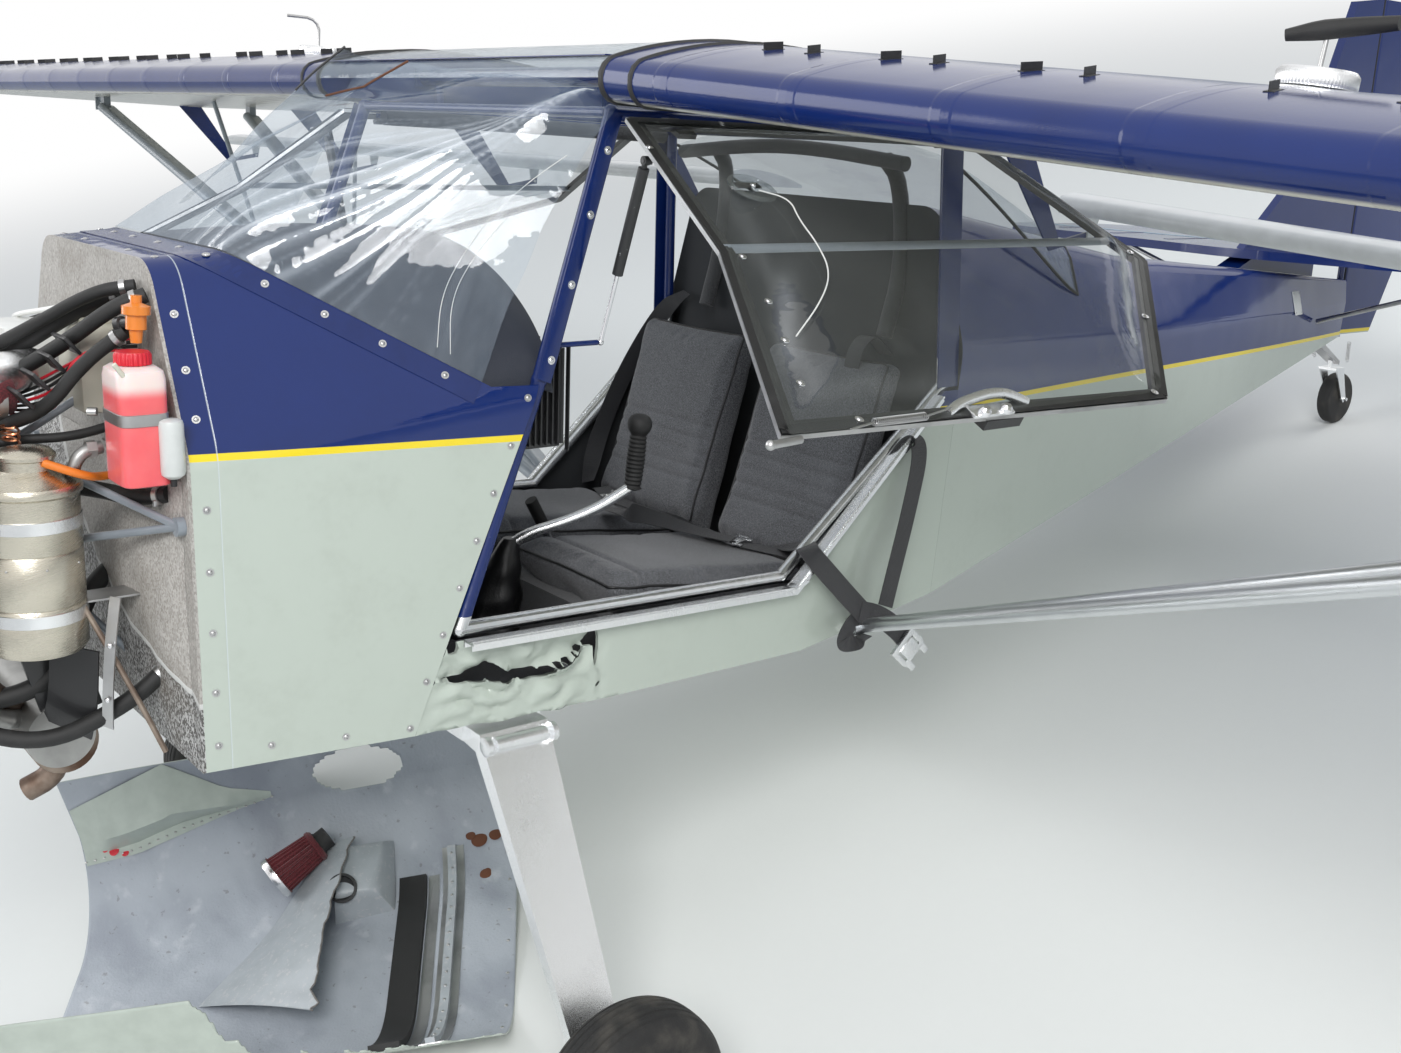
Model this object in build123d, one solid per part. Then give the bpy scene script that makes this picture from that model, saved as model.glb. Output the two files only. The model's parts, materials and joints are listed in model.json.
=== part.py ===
from build123d import *
import os
from math import acos, asin, atan2, cos, degrees, hypot, radians, sin

# Two-seat high-wing microlight aircraft with a tail wheel, cowlings off and doors swung open.
# It is drawn level, in millimetres: X to the left wing, Y aft, Z up, with the origin at the
# middle of the firewall's lower edge. At the end it is tipped back onto its three wheels.

# Clearances and walls
GAP = 0.3
RUN = 0.05
SKIN = 8.0
SHEET = 2.5

# Half width of the blocks that cut the fuselage, past its widest place
CUT_HALF = 700.0

# Fuselage sections: y, half width and z at the floor, at the side and at the shoulder, then
# the fillet at the side and the fillet at the shoulder
FIREWALL_SECTION = (0, 440, 0, 432, 537, 285, 845, 150, 75)
PANEL_SECTION = (600, 518, 0, 536, 634, 385, 895, 150, 75)
SEAT_SECTION = (1280, 515, 0, 538, 634, 400, 895, 150, 75)
BULKHEAD_SECTION = (1700, 500, 60, 540, 634, 440, 940, 150, 75)
DECK_SECTION = (2620, 345, 217, 359, 600, 270, 800, 90, 60)
TAIL_SECTION = (4236, 34, 472, 40, 590, 30, 668, 12, 10)
FIREWALL_T = 6.0

# Seams of the nose skin and the door opening, in the side view: y, z
COWL_AFT_LOW = (367, 0)
COWL_AFT_HIGH = (597, 634)
SCREEN_BASE_FRONT = (105, 868)
SCREEN_BASE_REAR = (510, 634)
SILL_FRONT = (430, 172)
SILL_REAR = (1240, 150)
SILL_BACK = (1656, 545)

# Instrument panel: hood wall, panel face y, thickness and lower edge, radio box, dials
HOOD_T = 4.0
HOOD_INSET = 30.0
PANEL_Y = 560.0
PANEL_T = 20.0
PANEL_LOW_Z = 560.0
RADIO_BOX = (370, 460, 560, 690, 500, 690)
DIAL_T = 6.0
DIALS = (
    (-250, 760, 42), (-130, 770, 42), (0, 775, 52), (130, 770, 42),
    (250, 760, 42), (-190, 660, 30), (190, 660, 30),
)

# Cabin frame
PILLAR_LOW = (514, 606, 640)
PILLAR_TOP = (490, 768, 1108)
POST_LOW = (510, 1672, 555)
POST_TOP = (490, 1650, 1082)
FRAME_R = 14.0
BEAD = 1.1
BRACE_R = 10.0
RIDGE_R = 8.0
BAR_FRONT = (492, 456, 190)
CARRY_R = 20.0
CARRY_PLACES = ((960, 1180), (1500, 1142))

# Windshield and roof glazing
SCREEN_T = 2.5
SCREEN_BASE_HALF = 528.0
SCREEN_TOP_HALF = 500.0
SCREEN_TOP_FRONT = (682, 1160)
SCREEN_TOP_SIDE = (742, 1118)

# Seats: they fill the width between the side tubes, with a gap in the middle
SEAT_GAP = 60.0
SEAT_SIDE_ROOM = 8.0
SEAT_W = BAR_FRONT[0] - FRAME_R - SEAT_SIDE_ROOM - SEAT_GAP / 2
SEAT_X = SEAT_GAP / 2 + SEAT_W / 2
CUSHION_T = 85.0
SEAT_FRONT = (800, 215)
SEAT_HEEL = (1395, 130)
SEAT_HEAD = (1565, 620)
BACK_T = 70.0

# Control stick
STICK_PATH = ((100, 725, 70), (120, 768, 225), (200, 926, 277), (222, 1033, 335))
GRIP_TOP = (222, 1048, 470)
STICK_R = 11.0
GRIP_R = 19.0

# Wing
WING_ROOT_X = 560.0
WING_TIP_X = 4750.0
WING_TIP_LENGTH = 420.0
WING_NOSE_Y = 690.0
WING_NOSE_Z = 1165.0
WING_CHORD = 1090.0
WING_TILT = 2.5
WING_CREST = 0.30
WING_RISE = 0.082
WING_NOSE_R = 0.036
WING_EDGE_T = 8.0
WING_DROP = {"left": 3.8, "right": 0.0}
TIP_SCALE = 0.62

# Flaperon, hung below and behind the wing
FLAP_ROOT_X = 590.0
FLAP_TIP_X = 4300.0
FLAP_NOSE_Y = 1928.0
FLAP_NOSE_Z = 958.0
FLAP_CHORD = 285.0
FLAP_PIN_BACK = 60.0
FLAP_PIN_DOWN = 62.0
FLAP_PIN_R = 5.0
HANGER_T = 5.0
HANGER_W = 100.0
HANGER_SET = 140.0
HANGER_XS = (640.0, 1700.0, 2900.0, 4100.0)

# Wing struts
STRUT_FOOT = (552, 1440, 42)
STRUT_FOOT_R = 17.0
STRUT_LUG = 34.0
TIE_R = 8.0
TIE_T = 6.0
STRUT_TOP_X = 2950.0
STRUT_FRONT_Y = 960.0
STRUT_REAR_Y = 1500.0
STRUT_CHORD = 62.0
STRUT_T = 30.0
JURY_SHARE = 0.62

# Landing gear
AXLE_Y = 560.0
AXLE_Z = -580.0
WHEEL_X = 922.0
TYRE_R = 180.0
TYRE_W = 130.0
RIM_R = 72.0
HUB_R = 34.0
AXLE_R = 16.0
LEG_T = 18.0
LEG_TOP_W = 150.0
LEG_FOOT_W = 96.0
LEG_INNER = (330, -14)
CLAMP = (380, 470, 86)
LEG_KNEE = (508, -40)
LEG_FOOT = (830, -580)

# Tail wheel
TAIL_WHEEL_Y = 4330.0
TAIL_WHEEL_Z = 240.0
TAIL_WHEEL_R = 90.0
TAIL_WHEEL_W = 44.0
SWIVEL_Y = 4265.0
SWIVEL_Z = 355.0
SWIVEL_R = 9.0
TAIL_AXLE_R = 6.0
TAIL_AXLE_HALF = 46.0

# Tail surfaces
STAB_Z = 772.0
BRACE_TOP_X = 700.0
STAB_NOSE_Y = 3540.0
ELEVATOR_HINGE_Y = 4010.0
STAB_HALF = 1150.0
ELEVATOR_CHORD = 370.0
TAIL_T = 28.0
FIN_TOP = 1600.0
RUDDER_HINGE_Y = 4276.0
RUDDER_CHORD = 400.0
TORQUE_R = 11.0
POST_R = 11.0
TAIL_PIN_R = 5.0
EAR_T = 8.0

# Engine bay
THRUST_Z = 520.0
MOUNT_FEET = ((405, 425, ((90, 520), (90, 340))), (180, 655, ((90, 520),)), (200, 120, ((90, 340),)))
ENGINE_BACK_Y = -200.0
ENGINE_FRONT_Y = -640.0
PROP_Y = -830.0
PROP_R = 900.0
SPINNER_R = 125.0
SPINNER_LENGTH = 250.0
BLADES = 3

# Left intake and exhaust of the engine, repeated on the right
INTAKES = (((200, -352, 480), (150, -300, 580)), ((200, -520, 480), (150, -300, 590)))
INTAKE_R = 15.0
CARB = ((150, -300, 560), (150, -300, 650))
CARB_R = 26.0
AIR_FILTER = ((150, -280, 612), (150, -205, 612))
AIR_FILTER_R = 36.0
EXHAUSTS = (
    ((210, -352, 380), (210, -352, 260), (150, -290, 90), (60, -170, 30)),
    ((210, -520, 380), (210, -520, 240), (205, -330, 110), (150, -240, 50), (90, -170, 20)),
)
EXHAUST_R = 17.0
MUFFLER = ((-200, -165, 20), (200, -165, 20))
MUFFLER_R = 58.0
PROP_TURN = 180.0
SHAFT_R = 30.0
TANK_R = 78.0
TANK_PLACE = (262, -205, 205)
TANK_H = 300.0
BOTTLE_PLACE = (372, -62, 500)
BOTTLE_SIZE = (106, 78, 190)

# Doors: y and z of the outline's corners when closed
DOOR_OUTLINE = ((752, 1071), (648, 626), (436, 182), (1235, 158), (1650, 560), (1622, 1050))
DOOR_HINGE = (536, 1092)
KNUCKLE_R = 8.0
KNUCKLE_PIN_R = 4.0
KNUCKLE_HALF = 30.0
DOOR_OPEN = 64.0
DOOR_FRAME_W = 24.0
DOOR_FRAME_T = 12.0
DOOR_STAND_OFF = 8.0
DOOR_BULGE = 48.0
DOOR_HINGE_YS = (860, 1520)

# Gas strut of each door: foot on the cabin frame, stud's place on the closed door
STAY_FOOT = (508, 742, 700)
STAY_STUD = (742, 978)
STAY_CYLINDER_R = 10.0
STAY_ROD_R = 4.0
STAY_CYLINDER_LENGTH = 215.0
STAY_PIN_R = 4.0
STAY_EYE_R = 8.0
STAY_EYE_HALF = 6.0
STAY_NECK = 14.0
STAY_SOCKET_R = 6.0
STAY_SIDE_ROOM = 1.5
STAY_INSET = 22.0

# Cowl lying on the ground: place on the floor, heading, length and its two ends
COWL_PLACE = (180, 183)
COWL_HEADING = 34.0
COWL_ROLL = 5.3
COWL_LENGTH = 1030.0
COWL_BIG = (430, 355)
COWL_SMALL = (390, 370)
COWL_T = 3.0
COWL_SHOULDER = 0.55

SIDES = (("left", 1), ("right", -1))
nodes = {}
floor_nodes = {}


def mirrored(shape):
    """The same shape on the other side of the aircraft."""
    return mirror(shape, about=Plane.YZ)


def on_side(shape, sign):
    """A shape drawn on the left, put on the side that the sign names."""
    return shape if sign > 0 else mirrored(shape)


def fused(shapes):
    """One shape made of all the shapes given."""
    first, *rest = shapes
    return first.fuse(*rest) if rest else first


def rod(start, end, radius):
    """A round bar from one point to another."""
    a, b = Vector(*start), Vector(*end)
    along = b - a
    bar = Cylinder(radius, along.length, align=(Align.CENTER, Align.CENTER, Align.MIN))
    return Plane(origin=a, z_dir=along) * bar


def bent_bar(points, radius):
    """Round bars joined by slightly larger balls at the corners, as weld beads."""
    bars = [rod(a, b, radius) for a, b in zip(points, points[1:])]
    balls = [Pos(*p) * Sphere(radius * BEAD) for p in points[1:-1]]
    return fused(bars + balls)


def box_at(x0, x1, y0, y1, z0, z1):
    """A box between two corners."""
    size = Box(x1 - x0, y1 - y0, z1 - z0)
    return Pos((x0 + x1) / 2, (y0 + y1) / 2, (z0 + z1) / 2) * size


def side_prism(points, x0=-CUT_HALF, x1=CUT_HALF):
    """A block from x0 to x1 whose side view has the corners y, z."""
    face = Plane.YZ * make_face(Polyline(*points, close=True))
    return Pos(x0, 0, 0) * extrude(face, x1 - x0, dir=(1, 0, 0))


def plan_prism(points, z0, z1):
    """A block from z0 to z1 whose plan has the corners x, y."""
    face = make_face(Polyline(*points, close=True))
    return Pos(0, 0, z0) * extrude(face, z1 - z0)


def hull_face(section, wall=0.0):
    """A fuselage section as a face, drawn in by the wall."""
    y, low_x, low_z, side_x, side_z, top_x, top_z, side_r, top_r = section
    half = [(low_x - wall, low_z + wall), (side_x - wall, side_z), (top_x - 0.6 * wall, top_z - wall)]
    corners = half + [(-x, z) for x, z in reversed(half)]
    face = make_face(Polyline(*corners, close=True))
    face = fillet([v for v in face.vertices() if abs(v.Y - side_z) < 0.01], side_r)
    face = fillet([v for v in face.vertices() if abs(v.Y - (top_z - wall)) < 0.01], max(top_r - wall, 3.0))
    return Plane(origin=(0, y, 0), x_dir=(1, 0, 0), z_dir=(0, -1, 0)) * face


def hull(sections, wall=0.0):
    """A ruled body through fuselage sections."""
    return loft([hull_face(s, wall) for s in sections], ruled=True)


def foil_face(x, nose_y, nose_z, chord, tilt, rise=WING_RISE, nose_share=WING_NOSE_R):
    """A wing section of tangent arcs, flat below, in the plane of that x."""
    nose_r = nose_share * chord
    crest = (WING_CREST * chord, rise * chord)
    front_r = ((crest[0] - nose_r) ** 2 + crest[1] ** 2 - nose_r ** 2) / (2 * (crest[1] - nose_r))
    front_mid = (crest[0], crest[1] - front_r)
    lean = atan2(-front_mid[1], nose_r - front_mid[0])
    join = (nose_r + nose_r * cos(lean), nose_r * sin(lean))
    half_lean = (lean + radians(90)) / 2
    front_via = (front_mid[0] + front_r * cos(half_lean), front_mid[1] + front_r * sin(half_lean))
    edge_top = (chord, -nose_r * 0.3)
    rear_r = ((chord - crest[0]) ** 2 + (crest[1] - edge_top[1]) ** 2) / (2 * (crest[1] - edge_top[1]))
    sweep = asin((chord - crest[0]) / rear_r) / 2
    rear_via = (crest[0] + rear_r * sin(sweep), crest[1] - rear_r * (1 - cos(sweep)))
    edge_low = (chord, edge_top[1] - WING_EDGE_T)
    reach = hypot(edge_low[0] - nose_r, edge_low[1])
    low_angle = atan2(edge_low[1], edge_low[0] - nose_r) - acos(nose_r / reach)
    low = (nose_r + nose_r * cos(low_angle), nose_r * sin(low_angle))
    outline = [
        ThreePointArc(low, (0, 0), join),
        ThreePointArc(join, front_via, crest),
        ThreePointArc(crest, rear_via, edge_top),
        Line(edge_top, edge_low),
        Line(edge_low, low),
    ]
    t = radians(tilt)
    place = Plane(origin=(x, nose_y, nose_z), x_dir=(0, cos(t), -sin(t)), z_dir=(1, 0, 0))
    return place * make_face(outline)


def wing_placed(shape, side, sign):
    """A shape drawn on the level left wing, put on its own wing with that wing's drop."""
    root = Pos(sign * WING_ROOT_X, 0, WING_NOSE_Z)
    drop = root * Rot(Y=sign * WING_DROP[side]) * root.inverse()
    return drop * on_side(shape, sign)


def wing_point(point, side, sign):
    """A point of the level left wing, put on its own wing."""
    x, y, z = point
    a = radians(WING_DROP[side])
    dx, dz = x - WING_ROOT_X, z - WING_NOSE_Z
    return (sign * (WING_ROOT_X + dx * cos(a) + dz * sin(a)), y, WING_NOSE_Z - dx * sin(a) + dz * cos(a))


def top_bar_z(y):
    """Height of the cabin's upper side bar."""
    share = (y - PILLAR_TOP[1]) / (POST_TOP[1] - PILLAR_TOP[1])
    return PILLAR_TOP[2] + share * (POST_TOP[2] - PILLAR_TOP[2])


def hull_floor_z(y, front=DECK_SECTION, rear=TAIL_SECTION):
    """Height of the fuselage's lower edge between two sections."""
    return front[2] + (y - front[0]) / (rear[0] - front[0]) * (rear[2] - front[2])


def wing_under_z(y):
    """Height of the level wing's flat underside, where y is behind its nose."""
    nose_r = WING_NOSE_R * WING_CHORD
    t = radians(WING_TILT)
    along = (y - WING_NOSE_Y) / cos(t)
    edge = -0.3 * nose_r - WING_EDGE_T
    down = -nose_r + (edge + nose_r) * (along - nose_r) / (WING_CHORD - nose_r)
    return WING_NOSE_Z - along * sin(t) + down * cos(t)


def make_nose():
    """The firewall, the nose skin behind it and the panel with its hood."""
    sections = [FIREWALL_SECTION, PANEL_SECTION]
    nodes["firewall"] = extrude(hull_face(FIREWALL_SECTION), FIREWALL_T, dir=(0, -1, 0))
    top = 900
    part = side_prism([
        (0, -50), (COWL_AFT_LOW[0], -1), COWL_AFT_LOW, COWL_AFT_HIGH, SCREEN_BASE_REAR, SCREEN_BASE_FRONT,
        (SCREEN_BASE_FRONT[0] - 20, top), (0, top),
    ])
    nodes["nose_skin"] = (hull(sections) - hull(sections, SHEET)) & part
    room = hull(sections, HOOD_INSET)
    hood_part = side_prism([(GAP, 740), (PANEL_Y - 1, PANEL_LOW_Z), (PANEL_Y - 1, 950), (GAP, 950)])
    hood = (room - hull(sections, HOOD_INSET + HOOD_T)) & hood_part
    panel = room & box_at(-600, 600, PANEL_Y - PANEL_T, PANEL_Y, PANEL_LOW_Z, 950)
    dials = [
        Pos(x, PANEL_Y, z) * Rot(X=-90) * Cylinder(r, DIAL_T, align=(Align.CENTER, Align.CENTER, Align.MIN))
        for x, z, r in DIALS
    ]
    nodes["instrument_panel"] = fused([panel, hood, *dials, box_at(*RADIO_BOX)])


def make_tub():
    """The lower cabin: floor, side walls under the sills and the walls up to the rear posts."""
    sections = [FIREWALL_SECTION, PANEL_SECTION, SEAT_SECTION, BULKHEAD_SECTION]
    shell = hull(sections) - hull(sections, SKIN)
    part = side_prism([
        (COWL_AFT_LOW[0] + GAP, -50), (COWL_AFT_LOW[0] + GAP, 0),
        (SILL_FRONT[0] + GAP, SILL_FRONT[1]), SILL_REAR, SILL_BACK,
        (BULKHEAD_SECTION[0] - GAP, SILL_BACK[1]), (BULKHEAD_SECTION[0] - GAP, -50),
    ])
    nodes["cabin_tub"] = shell & part


def frame_side():
    """The left side's tubes: front pillar, rear post, sill and top bar, with the door's hinge ears."""
    sill_rear = (BAR_FRONT[0], SILL_REAR[0] - 8, SILL_REAR[1] + 20)
    loop = [BAR_FRONT, PILLAR_LOW, PILLAR_TOP, POST_TOP, POST_LOW, sill_rear, BAR_FRONT]
    bars = [bent_bar(loop, FRAME_R), Pos(*BAR_FRONT) * Sphere(FRAME_R * BEAD)]
    foot = stay_points(1)[0]
    share = (foot[2] - PILLAR_LOW[2]) / (PILLAR_TOP[2] - PILLAR_LOW[2])
    hold = [a + (b - a) * share for a, b in zip(PILLAR_LOW, PILLAR_TOP)]
    stud_end = (foot[0], foot[1] - STAY_SOCKET_R - STAY_SIDE_ROOM, foot[2])
    bars.append(rod(tuple(hold), stud_end, STAY_SOCKET_R - 1))
    x, z = DOOR_HINGE
    for y in DOOR_HINGE_YS:
        for d in (-KNUCKLE_HALF - 4, KNUCKLE_HALF + 4):
            bars.append(box_at(PILLAR_TOP[0] - 4, x + 9, y + d - 3, y + d + 3, z - 9, z + 9))
        bars.append(rod((x, y - KNUCKLE_HALF - 5, z), (x, y + KNUCKLE_HALF + 5, z), KNUCKLE_PIN_R))
    side = bars[0]
    for bar in bars[1:]:
        side = side.fuse(bar)
    return side


def make_frame():
    """The welded tubes round the cabin: two sides, and between them the top with the wing carry-throughs."""
    left = frame_side()
    nodes["frame_side_left"] = left
    nodes["frame_side_right"] = mirrored(left)
    bars = []
    for y, z in CARRY_PLACES:
        bars.append(rod((-WING_ROOT_X + 6, y, z), (WING_ROOT_X - 6, y, z), CARRY_R))
        for side, s in SIDES:
            plate = box_at(WING_ROOT_X - 9, WING_ROOT_X - GAP, y - 28, y + 28, z - 22, z + 22)
            post_low = top_bar_z(y) + FRAME_R + 2 * GAP
            post = rod((s * PILLAR_TOP[0], y, post_low), (s * PILLAR_TOP[0], y, z), BRACE_R)
            bars += [wing_placed(plate, side, s), post]
    half = PILLAR_TOP[0] - FRAME_R * BEAD - GAP
    cross = [rod((-half, y, z), (half, y, z), BRACE_R) for _, y, z in (PILLAR_TOP, POST_TOP)]
    ridge = rod((0, PILLAR_TOP[1], PILLAR_TOP[2]), (0, POST_TOP[1], POST_TOP[2]), RIDGE_R)
    nodes["frame_top"] = Compound(children=[fused(bars[:5]), fused(bars[5:]), fused([*cross, ridge])])


def bow_face(plane, half, rise, wall):
    """A bowed strip, the section of curved sheet glazing: two side arcs and one in front."""
    edges = []
    for w in (0.0, wall):
        h, r = half - w, rise - w
        corner, side = (0.65 * h, 0.762 * r), (0.845 * h, 0.38 * r)
        edges += [
            ThreePointArc((-h, 0), (-side[0], side[1]), (-corner[0], corner[1])),
            ThreePointArc((-corner[0], corner[1]), (0, r), corner),
            ThreePointArc(corner, side, (h, 0)),
        ]
    ends = [Line((-half, 0), (-half + wall, 0)), Line((half, 0), (half - wall, 0))]
    return plane * make_face([*edges, *ends])


def make_glazing():
    """The windshield and the clear roof between the wings."""
    base_y = SCREEN_BASE_REAR[0] + 20
    fall = (SCREEN_BASE_FRONT[1] - SCREEN_BASE_REAR[1]) / (SCREEN_BASE_REAR[0] - SCREEN_BASE_FRONT[0])
    base_z = SCREEN_BASE_REAR[1] - 20 * fall + GAP * hypot(1, fall)
    slope = Vector(0, SCREEN_BASE_FRONT[0] - base_y, (base_y - SCREEN_BASE_FRONT[0]) * fall)
    base = Plane(origin=(0, base_y, base_z), x_dir=(1, 0, 0), z_dir=Vector(1, 0, 0).cross(slope))
    top_slope = Vector(0, SCREEN_TOP_FRONT[0] - SCREEN_TOP_SIDE[0], SCREEN_TOP_FRONT[1] - SCREEN_TOP_SIDE[1])
    top = Plane(
        origin=(0, *SCREEN_TOP_SIDE), x_dir=(1, 0, 0), z_dir=Vector(1, 0, 0).cross(top_slope),
    )
    nodes["windshield"] = loft([
        bow_face(base, SCREEN_BASE_HALF, slope.length, SCREEN_T),
        bow_face(top, SCREEN_TOP_HALF, top_slope.length, SCREEN_T),
    ])
    half = WING_ROOT_X - GAP
    foil = extrude(
        foil_face(-half, WING_NOSE_Y, WING_NOSE_Z, WING_CHORD, WING_TILT), 2 * half, dir=(1, 0, 0),
    )
    below = Pos(0, 0, -SCREEN_T) * foil
    upper = box_at(-600, 600, WING_NOSE_Y - 5, WING_NOSE_Y + WING_CHORD - 60, WING_NOSE_Z, WING_NOSE_Z + 200)
    nodes["roof_glazing"] = (foil - below) & upper


def make_seats():
    """Two seats side by side, each a cushion and a back, on one pan."""
    (fy, fz), (hy, hz), (ty, tz) = SEAT_FRONT, SEAT_HEEL, SEAT_HEAD
    x0, x1 = SEAT_X - SEAT_W / 2, SEAT_X + SEAT_W / 2
    low = hz - CUSHION_T
    for side, s in SIDES:
        cushion = side_prism([(fy, fz), (hy, hz), (hy, low), (fy + 20, fz - CUSHION_T)], x0, x1)
        back = side_prism(
            [(hy + 2, hz), (ty, tz), (ty + BACK_T, tz - 10), (hy + BACK_T + 2, low), (hy + 2, low)], x0, x1,
        )
        nodes[f"seat_cushion_{side}"] = on_side(cushion, s)
        nodes[f"seat_back_{side}"] = on_side(back, s)
    floor = SEAT_SECTION[0]
    rise = hull_floor_z(hy + 80, SEAT_SECTION, BULKHEAD_SECTION)
    nodes["seat_pan"] = side_prism([
        (fy + 20, fz - CUSHION_T - GAP), (hy, low - GAP), (hy + 80, low - GAP), (hy + 80, rise + SKIN + 1),
        (floor, SKIN + 1), (fy + 20, SKIN + 1),
    ], -475, 475)


def make_controls():
    """The stick with its grip and boot, and the rudder pedals."""
    foot = STICK_PATH[0]
    boot = Pos(foot[0], foot[1] + 8, SKIN + 1) * Cone(
        62, 20, 100, align=(Align.CENTER, Align.CENTER, Align.MIN),
    )
    stick = bent_bar([*STICK_PATH, GRIP_TOP], STICK_R)
    grip = rod(STICK_PATH[-1], GRIP_TOP, GRIP_R)
    knob = Pos(*GRIP_TOP) * Sphere(26)
    nodes["control_stick"] = fused([boot, stick, grip, knob])
    pedals = []
    for x in (-330, -190, 190, 330):
        leg = rod((x, 410, SKIN + GAP + 4.6), (x, 300, 170), 8)
        pedals.append(leg.fuse(rod((x - 45, 300, 170), (x + 45, 300, 170), 12)))
    nodes["rudder_pedals"] = Compound(children=pedals)


def make_wings():
    """Both wings with their caps, and the flaperons on their hangers."""
    tip = WING_TIP_X - WING_TIP_LENGTH
    level = [
        (WING_ROOT_X, 1.0), (tip, 1.0), (WING_TIP_X - 0.3 * WING_TIP_LENGTH, 0.88), (WING_TIP_X, TIP_SCALE),
    ]
    for side, s in SIDES:
        faces = [
            foil_face(x, WING_NOSE_Y + (1 - k) * 0.45 * WING_CHORD, WING_NOSE_Z, WING_CHORD * k, WING_TILT)
            for x, k in level
        ]
        wing = loft(faces, ruled=True)
        nodes[f"wing_{side}"] = wing_placed(wing, side, s)
        flap = loft([
            foil_face(
                x, FLAP_NOSE_Y, FLAP_NOSE_Z, FLAP_CHORD, WING_TILT, 0.10, 0.07,
            ) for x in (FLAP_ROOT_X, FLAP_TIP_X)
        ])
        pin_y, pin_z = FLAP_NOSE_Y + FLAP_PIN_BACK, FLAP_NOSE_Z - FLAP_PIN_DOWN
        lug_points = [
            (pin_y - 10, pin_z - 10), (pin_y + 10, pin_z - 10),
            (pin_y + 26, FLAP_NOSE_Z), (pin_y - 20, FLAP_NOSE_Z),
        ]
        lugs, hangers = [flap], []
        for x in HANGER_XS:
            lugs.append(side_prism(lug_points, x + HANGER_T + 1, x + 2 * HANGER_T + 1))
            lugs.append(rod((x - 2, pin_y, pin_z), (x + HANGER_T + 2, pin_y, pin_z), FLAP_PIN_R))
            root_y, root_w = WING_NOSE_Y + WING_CHORD - HANGER_SET, HANGER_W
            arm = side_prism([
                (root_y, wing_under_z(root_y) - GAP), (root_y + root_w, wing_under_z(root_y + root_w) - GAP),
                (pin_y - 102, pin_z - 12), (pin_y + 9, pin_z + 9),
                (pin_y + 9, pin_z - 9), (pin_y - 8, pin_z - 11),
                (pin_y - 130, pin_z - 34),
            ], x, x + HANGER_T)
            hole = rod((x - 1, pin_y, pin_z), (x + HANGER_T + 1, pin_y, pin_z), FLAP_PIN_R + RUN)
            hangers.append(arm - hole)
        nodes[f"flaperon_{side}"] = wing_placed(fused(lugs), side, s)
        nodes[f"flap_hangers_{side}"] = wing_placed(Compound(children=hangers), side, s)


def strut_bar(start, end, chord, thick):
    """A streamlined bar: round in front and tapered behind, with its long side fore and aft."""
    a, b = Vector(*start), Vector(*end)
    along = b - a
    shoulder, edge = -0.2 * chord, 1.5
    section = make_face([
        ThreePointArc((shoulder, -thick / 2), (-chord / 2, 0), (shoulder, thick / 2)),
        Line((shoulder, thick / 2), (chord / 2, edge)),
        Line((chord / 2, edge), (chord / 2, -edge)),
        Line((chord / 2, -edge), (shoulder, -thick / 2)),
    ])
    aft = Vector(0, 1, 0)
    plane = Plane(origin=a, x_dir=aft - along * (aft.dot(along) / along.dot(along)), z_dir=along)
    return extrude(plane * section, along.length, dir=tuple(along.normalized()))


def make_struts():
    """On each side the foot, two lift struts, their wing lugs and the jury struts."""
    for side, s in SIDES:
        x, y, z = STRUT_FOOT
        foot = (s * x, y, z)
        pieces = [
            rod((s * x, y - 45, z), (s * x, y + 45, z), STRUT_FOOT_R),
            on_side(box_at(x - 38, x, y - 25, y + 25, z - 8, z + 8), s),
        ]
        for strut_y in (STRUT_FRONT_Y, STRUT_REAR_Y):
            under = wing_under_z(strut_y + 12) - GAP
            top = wing_point((STRUT_TOP_X, strut_y, under - STRUT_LUG), side, s)
            lug = box_at(
                STRUT_TOP_X - 20, STRUT_TOP_X + 20, strut_y - 12, strut_y + 12, under - STRUT_LUG - 8, under,
            )
            jury = [a + (b - a) * JURY_SHARE for a, b in zip(foot, top)]
            head = wing_point((abs(jury[0]), strut_y + 0.1 * (STRUT_FOOT[1] - strut_y), under - 3), side, s)
            pieces += [
                strut_bar(foot, top, STRUT_CHORD, STRUT_T),
                wing_placed(lug, side, s), rod(tuple(jury), head, 7),
            ]
        plate = box_at(
            STRUT_TOP_X + 40, STRUT_TOP_X + 40 + TIE_T, STRUT_FRONT_Y - 22, STRUT_FRONT_Y + 22,
            wing_under_z(STRUT_FRONT_Y) - 46, wing_under_z(STRUT_FRONT_Y + 22) - GAP,
        )
        tie_z = wing_under_z(STRUT_FRONT_Y) - 26
        hole = rod((STRUT_TOP_X + 38, STRUT_FRONT_Y, tie_z), (STRUT_TOP_X + 50, STRUT_FRONT_Y, tie_z), TIE_R)
        bridge = box_at(
            STRUT_TOP_X + 18, STRUT_TOP_X + 42, STRUT_FRONT_Y - 10, STRUT_FRONT_Y + 10,
            wing_under_z(STRUT_FRONT_Y) - 12, wing_under_z(STRUT_FRONT_Y + 10) - GAP,
        )
        nodes[f"lift_struts_{side}"] = fused([*pieces, wing_placed((plate - hole).fuse(bridge), side, s)])


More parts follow.
